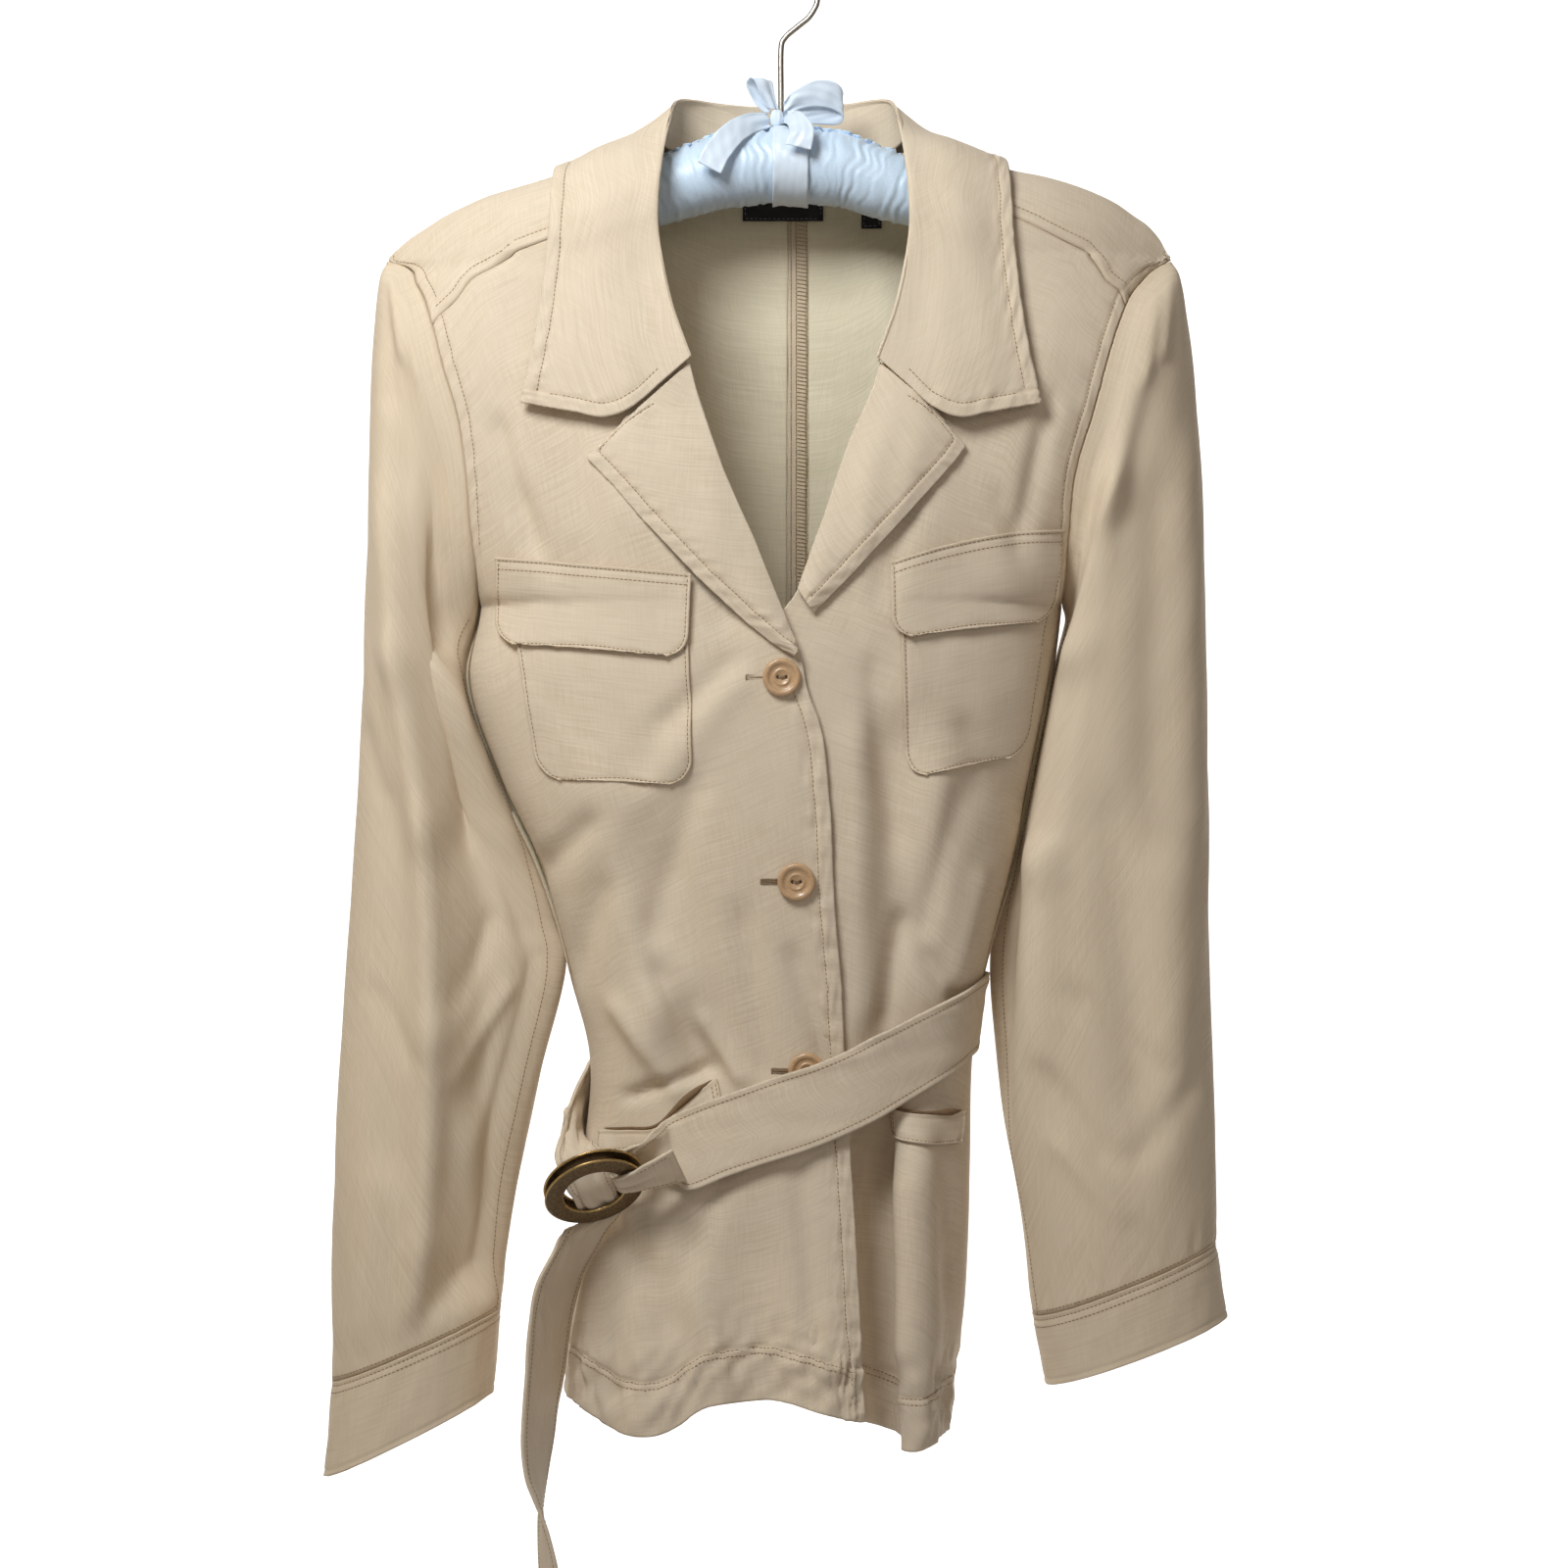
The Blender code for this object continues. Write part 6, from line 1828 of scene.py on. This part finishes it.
    def welt(self, side: int, name: str, corners: tuple, lift: float, sag: tuple) -> None:
        """A hip welt, its stitching and a leaf-shaped dark tube above it, painted shade in the pocket's opening.

        Args:
            side: -1 for the left front, 1 for the right one.
            name: that side in words.
            corners: the welt's corners and the raise of its top edge.
            lift: height of its face above the front.
            sag: how far it hangs below a straight line at even steps across.
        """
        welt = self.patch(corners, side, 0, lift, sag=sag)
        self.cloth(f"hip_welt_{name}_cloth", welt, f"hip_welt_{name}", thickness=self.thickness,
                   rests_on=(f"front_{name}_cloth",))
        end = Edge.END if side < 0 else Edge.START
        lines = [welt.line(Edge.BOTTOM, 1.6, 1, 1)] + [welt.line(end, inset, 1, 1) for inset in (1.4, 4.0)]
        self.sew(f"hip_welt_{name}_stitches", lines)
        # Painted shade: a dark tube along the welt's top edge stands in for the shade inside the pocket's opening,
        # widest where it gapes.
        painted_shade = welt.line(Edge.TOP, 0.0, 3, 3)[0] + (0, 0.9, -0.9)
        place = np.linspace(0, 1, len(painted_shade))
        width = 0.15 + 0.75 * np.sin(np.pi * place) ** 0.5 + 1.3 * bell(place - 0.72, 0.13)
        self.keep(tube_piece(f"hip_welt_{name}_gap", painted_shade, width, 8, self.looks.shadow), ())


def ring_axes() -> tuple[np.ndarray, np.ndarray, np.ndarray]:
    """The rings' own axes: along the belt, across it, and square to the ring."""
    a = np.array([math.cos(RING_SLOPE), 0, -math.sin(RING_SLOPE)])
    v = np.array([
        -math.sin(RING_SLOPE) * math.cos(RING_TILT),
        -math.sin(RING_TILT),
        -math.cos(RING_SLOPE) * math.cos(RING_TILT),
    ])
    return a, v, -np.cross(a, v)


def strip(centres: np.ndarray, directions: np.ndarray, widths: np.ndarray, columns: int = 4) -> np.ndarray:
    """Rows of points across a middle line.

    Args:
        centres: the middle line.
        directions: which way each row runs.
        widths: how long each row is.
        columns: points in a row.

    Returns:
        The grid.
    """
    across = np.linspace(-0.5, 0.5, columns)[None, :, None]
    return centres[:, None, :] + unit(directions)[:, None, :] * widths[:, None, None] * across


@dataclass
class Belt(Garment):
    """The self belt with its two rings, its folded end and its hanging tail."""

    cloth_thickness: float = 1.7
    stitch: float = 3.2
    lift: float = 5.6
    side_lift: float = 2.4
    back_lift: float = 1.4
    clear: float = 2.6
    columns: int = 22

    def round_body(self, steps: int = 31) -> np.ndarray:
        """The run round the body, from the folded end past the back to the rings.

        Args:
            steps: rows of points.

        Returns:
            A grid of four points across, which stand off the body along its own direction there.
        """
        turn = np.linspace(BELT_ROUND[0, 0], BELT_ROUND[-1, 0], steps)
        middle = smooth(BELT_ROUND, turn)
        slope = np.gradient(middle, np.radians(turn)) / BELT_RADIUS
        across = np.linspace(-BELT_WIDTH / 2, BELT_WIDTH / 2, 4)
        lean = 1 / np.sqrt(1 + slope**2)
        drop = middle[:, None] + across * lean[:, None]
        angle = np.radians(turn)[:, None] - across * (slope * lean)[:, None] / BELT_RADIUS
        s, c = np.sin(angle), np.cos(angle)
        f = np.sign(s) * np.abs(s) ** (2 / SIDE_POWER)
        y_unit = np.sign(c) * np.abs(c) ** (2 / SIDE_POWER)
        wide = half_width(f, drop)
        ahead = c > 0
        depth = np.where(ahead, smooth(BODY, drop, 3), smooth(BODY, drop, 4)) * np.abs(y_unit)
        lap = LAP * ease((f * wide + 72) / 40) * ease((70 - f * wide) / 30)
        over = [fold_height(folds, f * wide, drop) for folds in (LEFT_FOLDS, RIGHT_FOLDS, BACK_FOLDS)]
        over_front = np.maximum(np.maximum(over[0], over[1]), 0) * (1 - np.abs(f) ** 6)
        fold = np.where(ahead, lap + over_front, np.maximum(over[2], 0))
        normal = unit(np.stack([f / wide, -y_unit / np.maximum(np.abs(depth).max(), 1)], -1))
        out = self.side_lift + self.back_lift * ease((-c - 0.3) / 0.4)
        out = out + (self.lift - self.side_lift) * ease((c - 0.25) / 0.4)
        return with_y(f * wide + normal[..., 0] * out, drop, -np.sign(c) * (depth + fold) + normal[..., 1] * out)

    def surface(self) -> Surface:
        """The whole belt as one strip: end lap, loop through the rings, round, through the rings, tail."""
        a, v, n = ring_axes()
        centre = np.array(RING_CENTRE)
        loop = np.array(LOOP_PATH)
        loop_points = centre + loop[:, 0:1] * a + loop[:, 1:2] * n
        loop_grid = strip(loop_points, np.tile(-v, (len(loop), 1)), loop[:, 2])
        body = self.round_body()
        thread = np.array(THREAD_PATH)
        thread_points = centre + thread[:, 0:1] * a + thread[:, 1:2] * v + thread[:, 2:3] * n
        thread_grid = strip(thread_points, np.tile(a, (len(thread), 1)), thread[:, 3])
        angle = np.radians(BELT_TAIL[:, 3])
        tail_dir = np.stack([np.cos(angle), np.sin(angle), np.zeros(len(BELT_TAIL))], -1)
        tail_grid = strip(BELT_TAIL[:, 0:3], tail_dir, BELT_TAIL[:, 4])
        join = [loop_grid[-1] + (body[0] - loop_grid[-1]) * t for t in (0.33, 0.66)]
        turns = [
            body[-1] * (1 - t) + thread_grid[0] * t + (-3.5 * math.sin(math.pi * t), 0, 0) for t in (0.25, 0.5, 0.75)
        ]
        whole = np.concatenate([loop_grid, join, body, turns, thread_grid, tail_grid])
        x, y, drop = whole[..., 0], whole[..., 1], whole[..., 2]
        near = (y < 0) & (np.abs(x) < half_width(x, drop))
        clear = np.where(near, -front_depth(x, drop, -1) - self.clear, y)
        whole = with_y(x, drop, np.where(x < 0, np.minimum(y, clear), y))
        rows = np.linspace(0, len(whole) - 1, (len(whole) - 1) * 6 + 1)
        columns = spread(BELT_WIDTH, 2.6, 1.2, 5, 5) * 3
        plain = Surface(resample(resample(whole, rows), columns, axis=1))
        run = plain.from_edge(Edge.TOP)
        across = np.linspace(-1, 1, plain.points.shape[1])[None, :]
        squeezed = np.linalg.norm(plain.points[:, -1] - plain.points[:, 0], axis=-1)[:, None] / BELT_WIDTH
        pinch = np.clip(1 - squeezed, 0, 0.6)
        amount = pinch * 2.2 * np.sin(across * 8.5 + soft_noise(run / 30, across, 101)) * ease(squeezed / 0.5)
        amount += 0.35 * soft_noise(run / 24, across * 1.6, 103)
        for edge in (Edge.START, Edge.END):
            away = plain.from_edge(edge)
            amount -= 0.22 * bell(away - self.stitch * squeezed, 0.8)
        sewn = plain.toned((Edge.START, self.stitch, 0.8), (Edge.END, self.stitch, 0.8), (Edge.TOP, self.stitch, 0.8))
        return sewn.pushed(amount + self.cloth_thickness / 2)

    def build(self) -> None:
        """Makes the belt, its stitching and both rings."""
        surface = self.surface()
        self.cloth("belt_cloth", surface, "belt", thickness=self.cloth_thickness, rests_on=("front_left_cloth",))
        back = Surface(surface.points - surface.normals() * self.cloth_thickness, flip=not surface.flip)
        lines = [surface.line(edge, self.stitch, 3, 6) for edge in (Edge.START, Edge.END)]
        lines += [surface.line(Edge.TOP, self.stitch * k, 3, 3) for k in (1, 2)]
        lines += [back.line(edge, self.stitch, 3, 6) for edge in (Edge.START, Edge.END)]
        self.sew("belt_stitches", lines)
        self.ring("ring_front", 0.0, 0.0)
        self.ring("ring_rear", -RING_PITCH, 0.8)

    def ring(self, node: str, along_normal: float, slide: float) -> None:
        """A flat ring with a darker face and worn gilt edges.

        Args:
            node: the CAD node that it stands for.
            along_normal: its place square to the ring.
            slide: its place along the belt.
        """
        half = RING_THICK / 2
        corner, bow_out, steps = 0.55, 0.25, 112
        flat = np.linspace(RING_INNER + corner, RING_OUTER - corner, 7)
        crown = half + bow_out * np.sin(np.pi * (flat - flat[0]) / (flat[-1] - flat[0])) - bow_out
        face = [(r, h) for r, h in zip(flat, crown)]
        outer = [(RING_OUTER, half - corner - 0.2), (RING_OUTER, -half + corner + 0.2)]
        inner = [(RING_INNER, -half + corner + 0.2), (RING_INNER, half - corner - 0.2)]
        profile = np.array(face + outer + [(r, -h) for r, h in face[::-1]] + inner)
        a, v, n = ring_axes()
        centre = np.array(RING_CENTRE) + along_normal * n + slide * a
        turn = full_turn(steps)
        radial = a * np.cos(turn)[:, None] + v * np.sin(turn)[:, None]
        points = centre + profile[None, :, :1] * radial[:, None] + profile[None, :, 1:] * n
        size = len(profile)
        points = points.reshape(-1, 3)
        faces = grid_faces(steps + 1, size, True) % (steps * size)
        piece = write_mesh(f"{node}_metal", points, faces, self.looks.bronze)
        piece.data.materials.append(self.looks.gilt)
        gilt = np.zeros((steps, size), dtype=np.int32)
        gilt[:, len(face) - 1 : len(face) + 2] = 1
        gilt[:, size - 2 :] = 1
        piece.data.polygons.foreach_set("material_index", gilt.ravel())
        self.keep(piece, (node,), "bronze")


@dataclass
class Closure(Garment):
    """Three buttons, the thread that holds them, and their buttonholes."""

    radius: float = 9.9
    hole_radius: float = 1.0
    hole_pitch: float = 1.9
    slit: float = 13.0

    @staticmethod
    def cloth_at(x: np.ndarray, drop: float | np.ndarray) -> np.ndarray:
        """y of the left front's face at a line of places."""
        drop = np.broadcast_to(drop, x.shape)
        return -front_depth(x, drop, -1) - crease_height(-1, x, drop)

    def frame_at(self, x: float, drop: float) -> tuple[float, float, float]:
        """The place of a button on the left front.

        Args:
            x: where its middle is.
            drop: where its middle is.

        Returns:
            How far in front it lies, and the tilt of the cloth up and across.
        """
        reach = 0.8 * self.radius
        xs = np.array([x, x - reach, x + reach, x, x])
        drops = np.array([drop, drop, drop, drop - reach, drop + reach])
        depth = front_depth(xs, drops, -1)
        tilt_x = math.atan2(depth[4] - depth[3], 2 * reach)
        tilt_z = math.atan2(depth[2] - depth[1], 2 * reach)
        stand = max(depth[0], (depth[1] + depth[2]) / 2, (depth[3] + depth[4]) / 2) + 0.4
        return stand, tilt_x, tilt_z

    def lathe(self, name: str, profile: tuple, steps: int, look: bpy.types.Material) -> bpy.types.Object:
        """A piece turned about its own z axis.

        Args:
            name: its name.
            profile: radius and height of each point of its outline.
            steps: faces once round.
            look: its material.

        Returns:
            The new object.
        """
        mesh = bpy.data.meshes.new(name)
        points = [(r * MM, 0.0, h * MM) for r, h in profile]
        mesh.from_pydata(points, [(i, i + 1) for i in range(len(points) - 1)], [])
        mesh.materials.append(look)
        made = bpy.data.objects.new(name, mesh)
        bpy.context.scene.collection.objects.link(made)
        turn = made.modifiers.new("turn", "SCREW")
        turn.steps = steps
        turn.render_steps = steps
        turn.use_merge_vertices = True
        turn.merge_threshold = 0.00001
        turn.use_normal_flip = True
        turn.use_smooth_shade = True
        return made

    def button(self, number: int, x: float, drop: float) -> None:
        """A turned button with a raised rim, a dished middle and two holes, sewn on with four strands.

        Args:
            number: which button it is, from the top.
            x: where its middle is.
            drop: where its middle is.
        """
        stand, tilt_x, tilt_z = self.frame_at(x, drop)
        profile = (
            (0.0, 0.3), (8.0, 0.3), (9.0, 0.5), (9.6, 1.0), (9.9, 1.7), (9.85, 2.3), (9.5, 2.9), (9.0, 3.25),
            (8.4, 3.4), (7.8, 3.32), (7.2, 3.05), (6.7, 2.6), (6.2, 2.3), (5.4, 2.15), (4.6, 2.1), (4.3, 2.45),
            (3.9, 2.5), (3.5, 2.4), (3.2, 2.1), (0.0, 2.0),
        )
        made = self.lathe(f"button_{number}_plastic", profile, 56, self.looks.button)
        made.location = (x * MM, -stand * MM, -drop * MM)
        made.rotation_euler = (math.pi / 2 - tilt_x, 0.0, tilt_z)
        for hole in (-1, 1):
            tool = self.lathe(
                f"cutter_{number}_{hole + 1}",
                ((0, -2), (self.hole_radius, -2), (self.hole_radius, 6), (0, 6)), 20, self.looks.button,
            )
            tool.location = (hole * self.hole_pitch * MM, 0.0, 0.0)
            tool.parent = made
            tool.hide_render = True
            tool.hide_viewport = True
            cut = made.modifiers.new(f"hole {hole + 1}", "BOOLEAN")
            cut.operation = "DIFFERENCE"
            cut.solver = "EXACT"
            cut.object = tool
        self.keep(made, (f"button_{number}",), "button")
        bpy.context.view_layer.update()
        place = np.array(made.matrix_world)
        strands = np.array([(-2.0, s, 1.2, 2.0, s, 1.2) for s in (-0.5, -0.17, 0.17, 0.5)])
        thread = Stitches(self.looks.thread, width=0.42)
        for row in strands:
            t = np.linspace(0, 1, 9)
            points = np.stack([row[0] + (row[3] - row[0]) * t, np.full(9, row[1]), 1.4 + 1.25 * np.sin(np.pi * t)], -1)
            points = ((points * MM) @ place[:3, :3].T + place[:3, 3]) * (1000, 1000, -1000)
            thread.add(points[:-1], points[1:], np.tile((0.0, -1.0, 0.0), (8, 1)))
        self.keep(thread.build(f"button_{number}_thread"), ())

    def buttonhole(self, number: int, x: float, drop: float) -> None:
        """A worked slit beside the button: two rows of short stitches, a bar at its end and a dark tube of painted
        shade in the slit.

        Args:
            number: which button it is for, from the top.
            x: where the button's middle is.
            drop: where the button's middle is.
        """
        right = x + 1.0
        left = x - self.slit - 5.0
        thread = Stitches(self.looks.thread, width=0.5)
        at = np.arange(left, right, 0.62)
        for sign in (-1, 1):
            near = with_y(at, drop + sign * 0.4, self.cloth_at(at, drop) - 0.3)
            far = with_y(at, drop + sign * 1.7, self.cloth_at(at, drop + sign) - 0.18)
            thread.add(near, far, np.tile((0.0, -1.0, 0.0), (len(at), 1)))
        bar = drop + np.linspace(-1.5, 1.5, 2)
        for k in (0.0, 0.5, 1.0):
            where = np.full(2, left - 0.3 - k * 0.4)
            ends = with_y(where, bar, self.cloth_at(where, bar) - 0.35)
            thread.add(ends[:1], ends[1:], np.array([(0.0, -1.0, 0.0)]))
        self.keep(thread.build(f"buttonhole_{number}_thread"), ())
        # Painted shade: a thin dark tube along the slit stands in for the shade inside it.
        painted_shade = np.linspace(left, right, 14)
        middle = with_y(painted_shade, np.full_like(painted_shade, drop), self.cloth_at(painted_shade, drop) - 0.2)
        width = 0.5 * np.sin(np.pi * np.linspace(0.06, 0.94, 14)) ** 0.5
        self.keep(tube_piece(f"buttonhole_{number}_gap", middle, width, 8, self.looks.shadow), ())

    def build(self) -> None:
        """Makes every button with its hole."""
        for number, (x, drop) in enumerate(BUTTONS, start=1):
            self.button(number, x, drop)
            self.buttonhole(number, x, drop)


@dataclass
class Hanger(Garment):
    """The padded satin bar, its ribbon band and bow, and the wire hook."""

    around: int = 72
    pleat: float = 1.0
    frill: float = 3.6

    def bar(self) -> None:
        """The bar: a soft tube ruched into uneven pleats that run round it from a gathered seam on top."""
        x = np.linspace(PAD[0, 0], PAD[-1, 0], 340)
        drop, radius = (np.interp(x, PAD[:, 0], PAD[:, k]) for k in (1, 2))
        kernel = np.hanning(23) / np.hanning(23).sum()
        drop = np.convolve(np.pad(drop, 11, mode="edge"), kernel, "valid")
        radius = np.convolve(np.pad(radius, 11, mode="edge"), kernel, "valid")
        turn = full_turn(self.around)
        up = np.cos(turn)[None, :]
        wander = 1.6 * soft_noise(np.cos(turn)[None, :] * 1.4, x[:, None] / 40, 201)
        phase = x[:, None] + wander
        pleats = soft_noise(phase / 5.2, 0 * phase, 203) + 0.7 * soft_noise(phase / 3.1, up * 0.8, 205)
        top = bell(1 - up, 0.35)
        amount = self.pleat * pleats * (0.45 + 0.75 * top) * np.clip(radius / 12, 0.2, 1)[:, None]
        size = radius[:, None] - self.pleat + amount + 0.8 * top * np.clip(radius / 16, 0, 1)[:, None]
        slope = np.gradient(drop, x)[:, None]
        lean = np.sqrt(1 + slope**2)
        rise = up * size
        points = with_y(x[:, None] + rise * slope / lean, drop[:, None] - rise / lean, np.sin(turn)[None, :] * size)
        faces = grid_faces(len(x), self.around, True)
        count = len(x) * self.around
        ring = np.arange(self.around)
        ends = []
        for start, pole, order in ((0, count, 1), (count - self.around, count + 1, -1)):
            here = start + ring
            there = start + np.roll(ring, -1)
            pair = (there, here) if order > 0 else (here, there)
            ends.append(np.stack([*pair, np.full(self.around, pole)], -1))
        flat = np.concatenate([points.reshape(-1, 3), points[:1].mean(axis=1), points[-1:].mean(axis=1)])
        made = write_mesh("hanger_pad_satin", flat, as_triangles(faces[:, ::-1], *ends), self.looks.satin)
        self.keep(made, ("hanger_pad",), "satin")
        self.gathers(x, drop, radius)

    def gathers(self, x: np.ndarray, drop: np.ndarray, radius: np.ndarray) -> None:
        """The gathered seam on top: a narrow standing frill that waves from front to back.

        Args:
            x: places along the bar.
            drop: drop of the bar's middle there.
            radius: radius of the bar there.
        """
        part = (x > -176) & (x < 176)
        count = part.sum()
        fine = np.linspace(0, count - 1, 900)
        x, drop, radius = (np.interp(fine, np.arange(count), q[part]) for q in (x, drop, radius))
        t = np.linspace(0, 1, 7)[None, :]
        wave = soft_noise(x[:, None] / 4.4, 0 * t, 211)
        height = self.frill * (0.75 + 0.25 * soft_noise(x / 7, 0 * x, 213))[:, None]
        sway = 2.2 * wave * t
        lean = 0.9 * soft_noise(x[:, None] / 3.0, t, 215) * t
        y = -2.0 * t + sway
        points = with_y(x[:, None] + lean, (drop - radius)[:, None] + 1.0 - height * t, y)
        frill = Surface(points)
        self.cloth("hanger_pad_frill", frill, "", held="gathered", look=self.looks.satin, thickness=0.35, slot="satin")

    def band(self) -> None:
        """The ribbon wound round the middle of the bar."""
        turn = full_turn(72)
        x = np.linspace(*BAND_X, 16)
        radius = np.interp(x, PAD[:, 0], PAD[:, 2]) + 0.4 + RIBBON
        drop = np.interp(x, PAD[:, 0], PAD[:, 1])
        wave = 0.25 * soft_noise(x[:, None] / 5, np.cos(turn)[None, :] * 2, 221)
        size = radius[:, None] + wave
        points = with_y(x[:, None] + 0 * size, drop[:, None] - size * np.cos(turn), size * np.sin(turn))
        surface = Surface(points, closed=True)
        surface.flip = bool((surface.normals()[:, 18, 1]).mean() < 0)
        self.cloth("ribbon_band_satin", surface, "ribbon_band", look=self.looks.ribbon, thickness=0.5, slot="satin",
                   held="stretched")

    def bow(self) -> None:
        """Two loops and two tails of the ribbon, then the knot over them."""
        for name, rows in BOW_PIECES.items():
            table = np.array(rows, float)
            path = table[:, 0:3]
            if "loop" in name:
                across = np.tile((0.0, 0.35, 1.0) if "right" in name else (1.0, 0.45, 0.1), (len(table), 1))
            else:
                heading = unit(np.gradient(path, axis=0))
                across = np.stack([-heading[:, 2], np.zeros(len(table)), heading[:, 0]], -1)
            grid = strip(path, across, table[:, 3], 3)
            rows_at = np.linspace(0, len(table) - 1, (len(table) - 1) * 9 + 1)
            plain = Surface(resample(resample(grid, rows_at), np.linspace(0, 2, 15), axis=1))
            span = np.linspace(-1, 1, 15)[None, :]
            run = plain.from_edge(Edge.TOP)
            fold = 0.55 * np.cos(span * 4.2 + soft_noise(run / 14, 0 * run, len(name))) * ease(1.2 - run / 30)
            fold = fold + 0.4 * soft_noise(run / 9, span, len(name) + 3)
            surface = plain.pushed(fold + RIBBON / 2)
            self.cloth(f"{name}_satin", surface, name, look=self.looks.ribbon, thickness=0.45, slot="satin",
                       held="folded")
        self.knot()

    def knot(self) -> None:
        """The bow's knot: a soft wrinkled ball of ribbon."""
        turn = full_turn(40)
        t = np.linspace(0.02, 0.98, 30)[:, None]
        size = np.sin(np.pi * t) ** 0.6 * (1 + 0.06 * np.cos(turn * 7 + 3 * t))
        x = -2.2 + 3.4 * size * np.cos(turn)
        y = -4.8 + 3.1 * size * np.sin(turn)
        points = with_y(x, -4.4 * np.cos(np.pi * t) + 89.5, y)
        count = points.shape[0] * points.shape[1]
        ring = np.arange(40)
        top = np.stack([ring, np.roll(ring, -1), np.full(40, count)], -1)
        low = np.stack([count - 40 + np.roll(ring, -1), count - 40 + ring, np.full(40, count + 1)], -1)
        flat = np.concatenate([points.reshape(-1, 3), points[:1].mean(axis=1), points[-1:].mean(axis=1)])
        faces = as_triangles(grid_faces(30, 40, True), top, low)
        knot = write_mesh("ribbon_knot_satin", flat, faces[:, ::-1], self.looks.ribbon)
        self.keep(knot, ("ribbon_knot",), "satin")

    def hook(self) -> None:
        """The wire: a straight stem, two bends and a round crown."""
        stem = np.array([(x, 0.0, drop) for x, drop in STEM_PATH])
        middle = HOOK_RADIUS - HOOK_WIRE_RADIUS
        angles = np.radians(np.linspace(HOOK_ARC[0], HOOK_SHOWN, 22))
        crown = np.stack([HOOK_RADIUS * np.cos(angles), 0 * angles, middle - HOOK_RADIUS * np.sin(angles)], -1)
        path = np.concatenate([stem, crown])
        path = resample(path, np.linspace(0, len(path) - 1, 220))
        wire = tube_piece("hanger_hook_wire", path, HOOK_WIRE_RADIUS, 20, self.looks.wire)
        self.keep(wire, ("hanger_hook",), "wire")

    def build(self) -> None:
        """Makes the whole hanger."""
        self.bar()
        self.band()
        self.bow()
        self.hook()


@dataclass
class Labels(Garment):
    """The plain woven neck label and the small plain tab."""

    def patch(self, name: str, box: tuple, node: str) -> None:
        """A flat plain tape lying inside the back, sewn on all round.

        Args:
            name: the piece's name.
            box: x and drop of its two ends.
            node: the CAD node that it stands for.
        """
        x0, x1, d0, d1 = box
        x, drop = np.meshgrid(np.linspace(x0, x1, 40), np.linspace(d0, d1, 24))
        y = back_depth(x, drop) - CLOTH - 1.6 - 0.15 * soft_noise(x / 14, drop / 14, 231)
        surface = Surface(with_y(x, drop, y)).facing_front()
        self.cloth(name, surface, node, held="laid", look=self.looks.tape, thickness=0.5, slot="black_tape",
                   rests_on=("back_left_cloth",))
        lines = [surface.line(edge, 1.4, 1, 1) for edge in Edge]
        self.sew(f"{name}_stitches", lines, look=self.looks.grey_thread, length=1.6, painted_shade=0.9, width=0.35)

    def build(self) -> None:
        """Makes both."""
        self.patch("neck_label_tape", LABEL, "neck_label")
        self.patch("size_tab_tape", TAB, "size_tab")


@dataclass(frozen=True)
class Studio:
    """Camera at the photograph's place, pale floor and wall, and soft light.

    Attributes:
        eye: the camera's place in metres.
        lens: focal length for a 36 mm sensor.
        floor_drop: drop of the floor.
        wall_back: distance of the wall behind the garment.
        half_width: half the width of the floor and of the wall.
    """

    eye: tuple[float, float, float] = (0.0016, -1.875, -0.446)
    lens: float = 80.2
    floor_drop: float = 1.9
    wall_back: float = 2.7
    half_width: float = 4.0

    def build(self, looks: Looks) -> None:
        """Makes the floor, the wall, the lights and the camera.

        Args:
            looks: the materials.
        """
        scene = bpy.context.scene
        low, back, wide = self.floor_drop, self.wall_back, self.half_width
        floor = np.array([(-wide, -wide, low), (wide, -wide, low), (-wide, back, low), (wide, back, low)])
        wall = np.array([(-wide, back, low), (wide, back, low), (-wide, back, -wide), (wide, back, -wide)])
        flat = grid_faces(2, 2, False)
        write_mesh("floor", floor * 1000, flat, looks.floor)
        write_mesh("wall", wall * 1000, flat, looks.wall)
        world = bpy.data.worlds.new("studio")
        world.use_nodes = True
        world.node_tree.nodes["Background"].inputs[0].default_value = (1.0, 0.90, 0.80, 1.0)
        world.node_tree.nodes["Background"].inputs[1].default_value = 0.14
        scene.world = world
        scene.view_settings.view_transform = "Standard"
        middle = Vector((0.0, 0.0, -0.45))
        chest = Vector((0.0, 0.0, -0.32))
        self.area("key", (-0.42, -0.80, 0.40), chest, 0.45, 12.0, (0.97, 1.0, 1.0))
        self.area("front", (0.9, -2.6, 0.3), middle, 1.2, 6.0, (1.0, 0.86, 0.74))
        self.area("warm side", (-1.5, -0.35, -0.2), middle, 0.4, 2.0, (1.0, 0.72, 0.38))
        camera = bpy.data.cameras.new("camera")
        camera.lens = self.lens
        camera.sensor_width = 36.0
        placed = bpy.data.objects.new("camera", camera)
        placed.location = self.eye
        placed.rotation_euler = (math.pi / 2, 0.0, 0.0)
        scene.collection.objects.link(placed)
        scene.camera = placed

    def area(self, name: str, place: tuple, target: Vector, size: float, power: float, colour: tuple) -> None:
        """A square soft light aimed at a target.

        Args:
            name: its name.
            place: where it stands, in metres.
            target: where it points, in metres.
            size: its side, in metres.
            power: its power in watts.
            colour: its colour, linear.
        """
        light = bpy.data.lights.new(name, "AREA")
        light.size = size
        light.energy = power
        light.color = colour
        placed = bpy.data.objects.new(name, light)
        placed.location = place
        aim = target - placed.location
        placed.rotation_euler = aim.to_track_quat("-Z", "Y").to_euler()
        bpy.context.scene.collection.objects.link(placed)


def main() -> None:
    """Builds the garment, its hanger and the studio, in that order."""
    logging.basicConfig(level=logging.INFO, format="%(message)s")
    looks = make_looks()
    for part in (Fronts, Backs, Sleeves, Neckline, Pockets, Belt, Closure, Hanger, Labels):
        built = part(looks)
        built.build()
        triangles = sum(len(piece.data.polygons) for piece in built.made)
        log.info("%s: %d pieces, %d faces", part.__name__, len(built.made), triangles)
    Studio().build(looks)


if __name__ == "__main__":
    main()
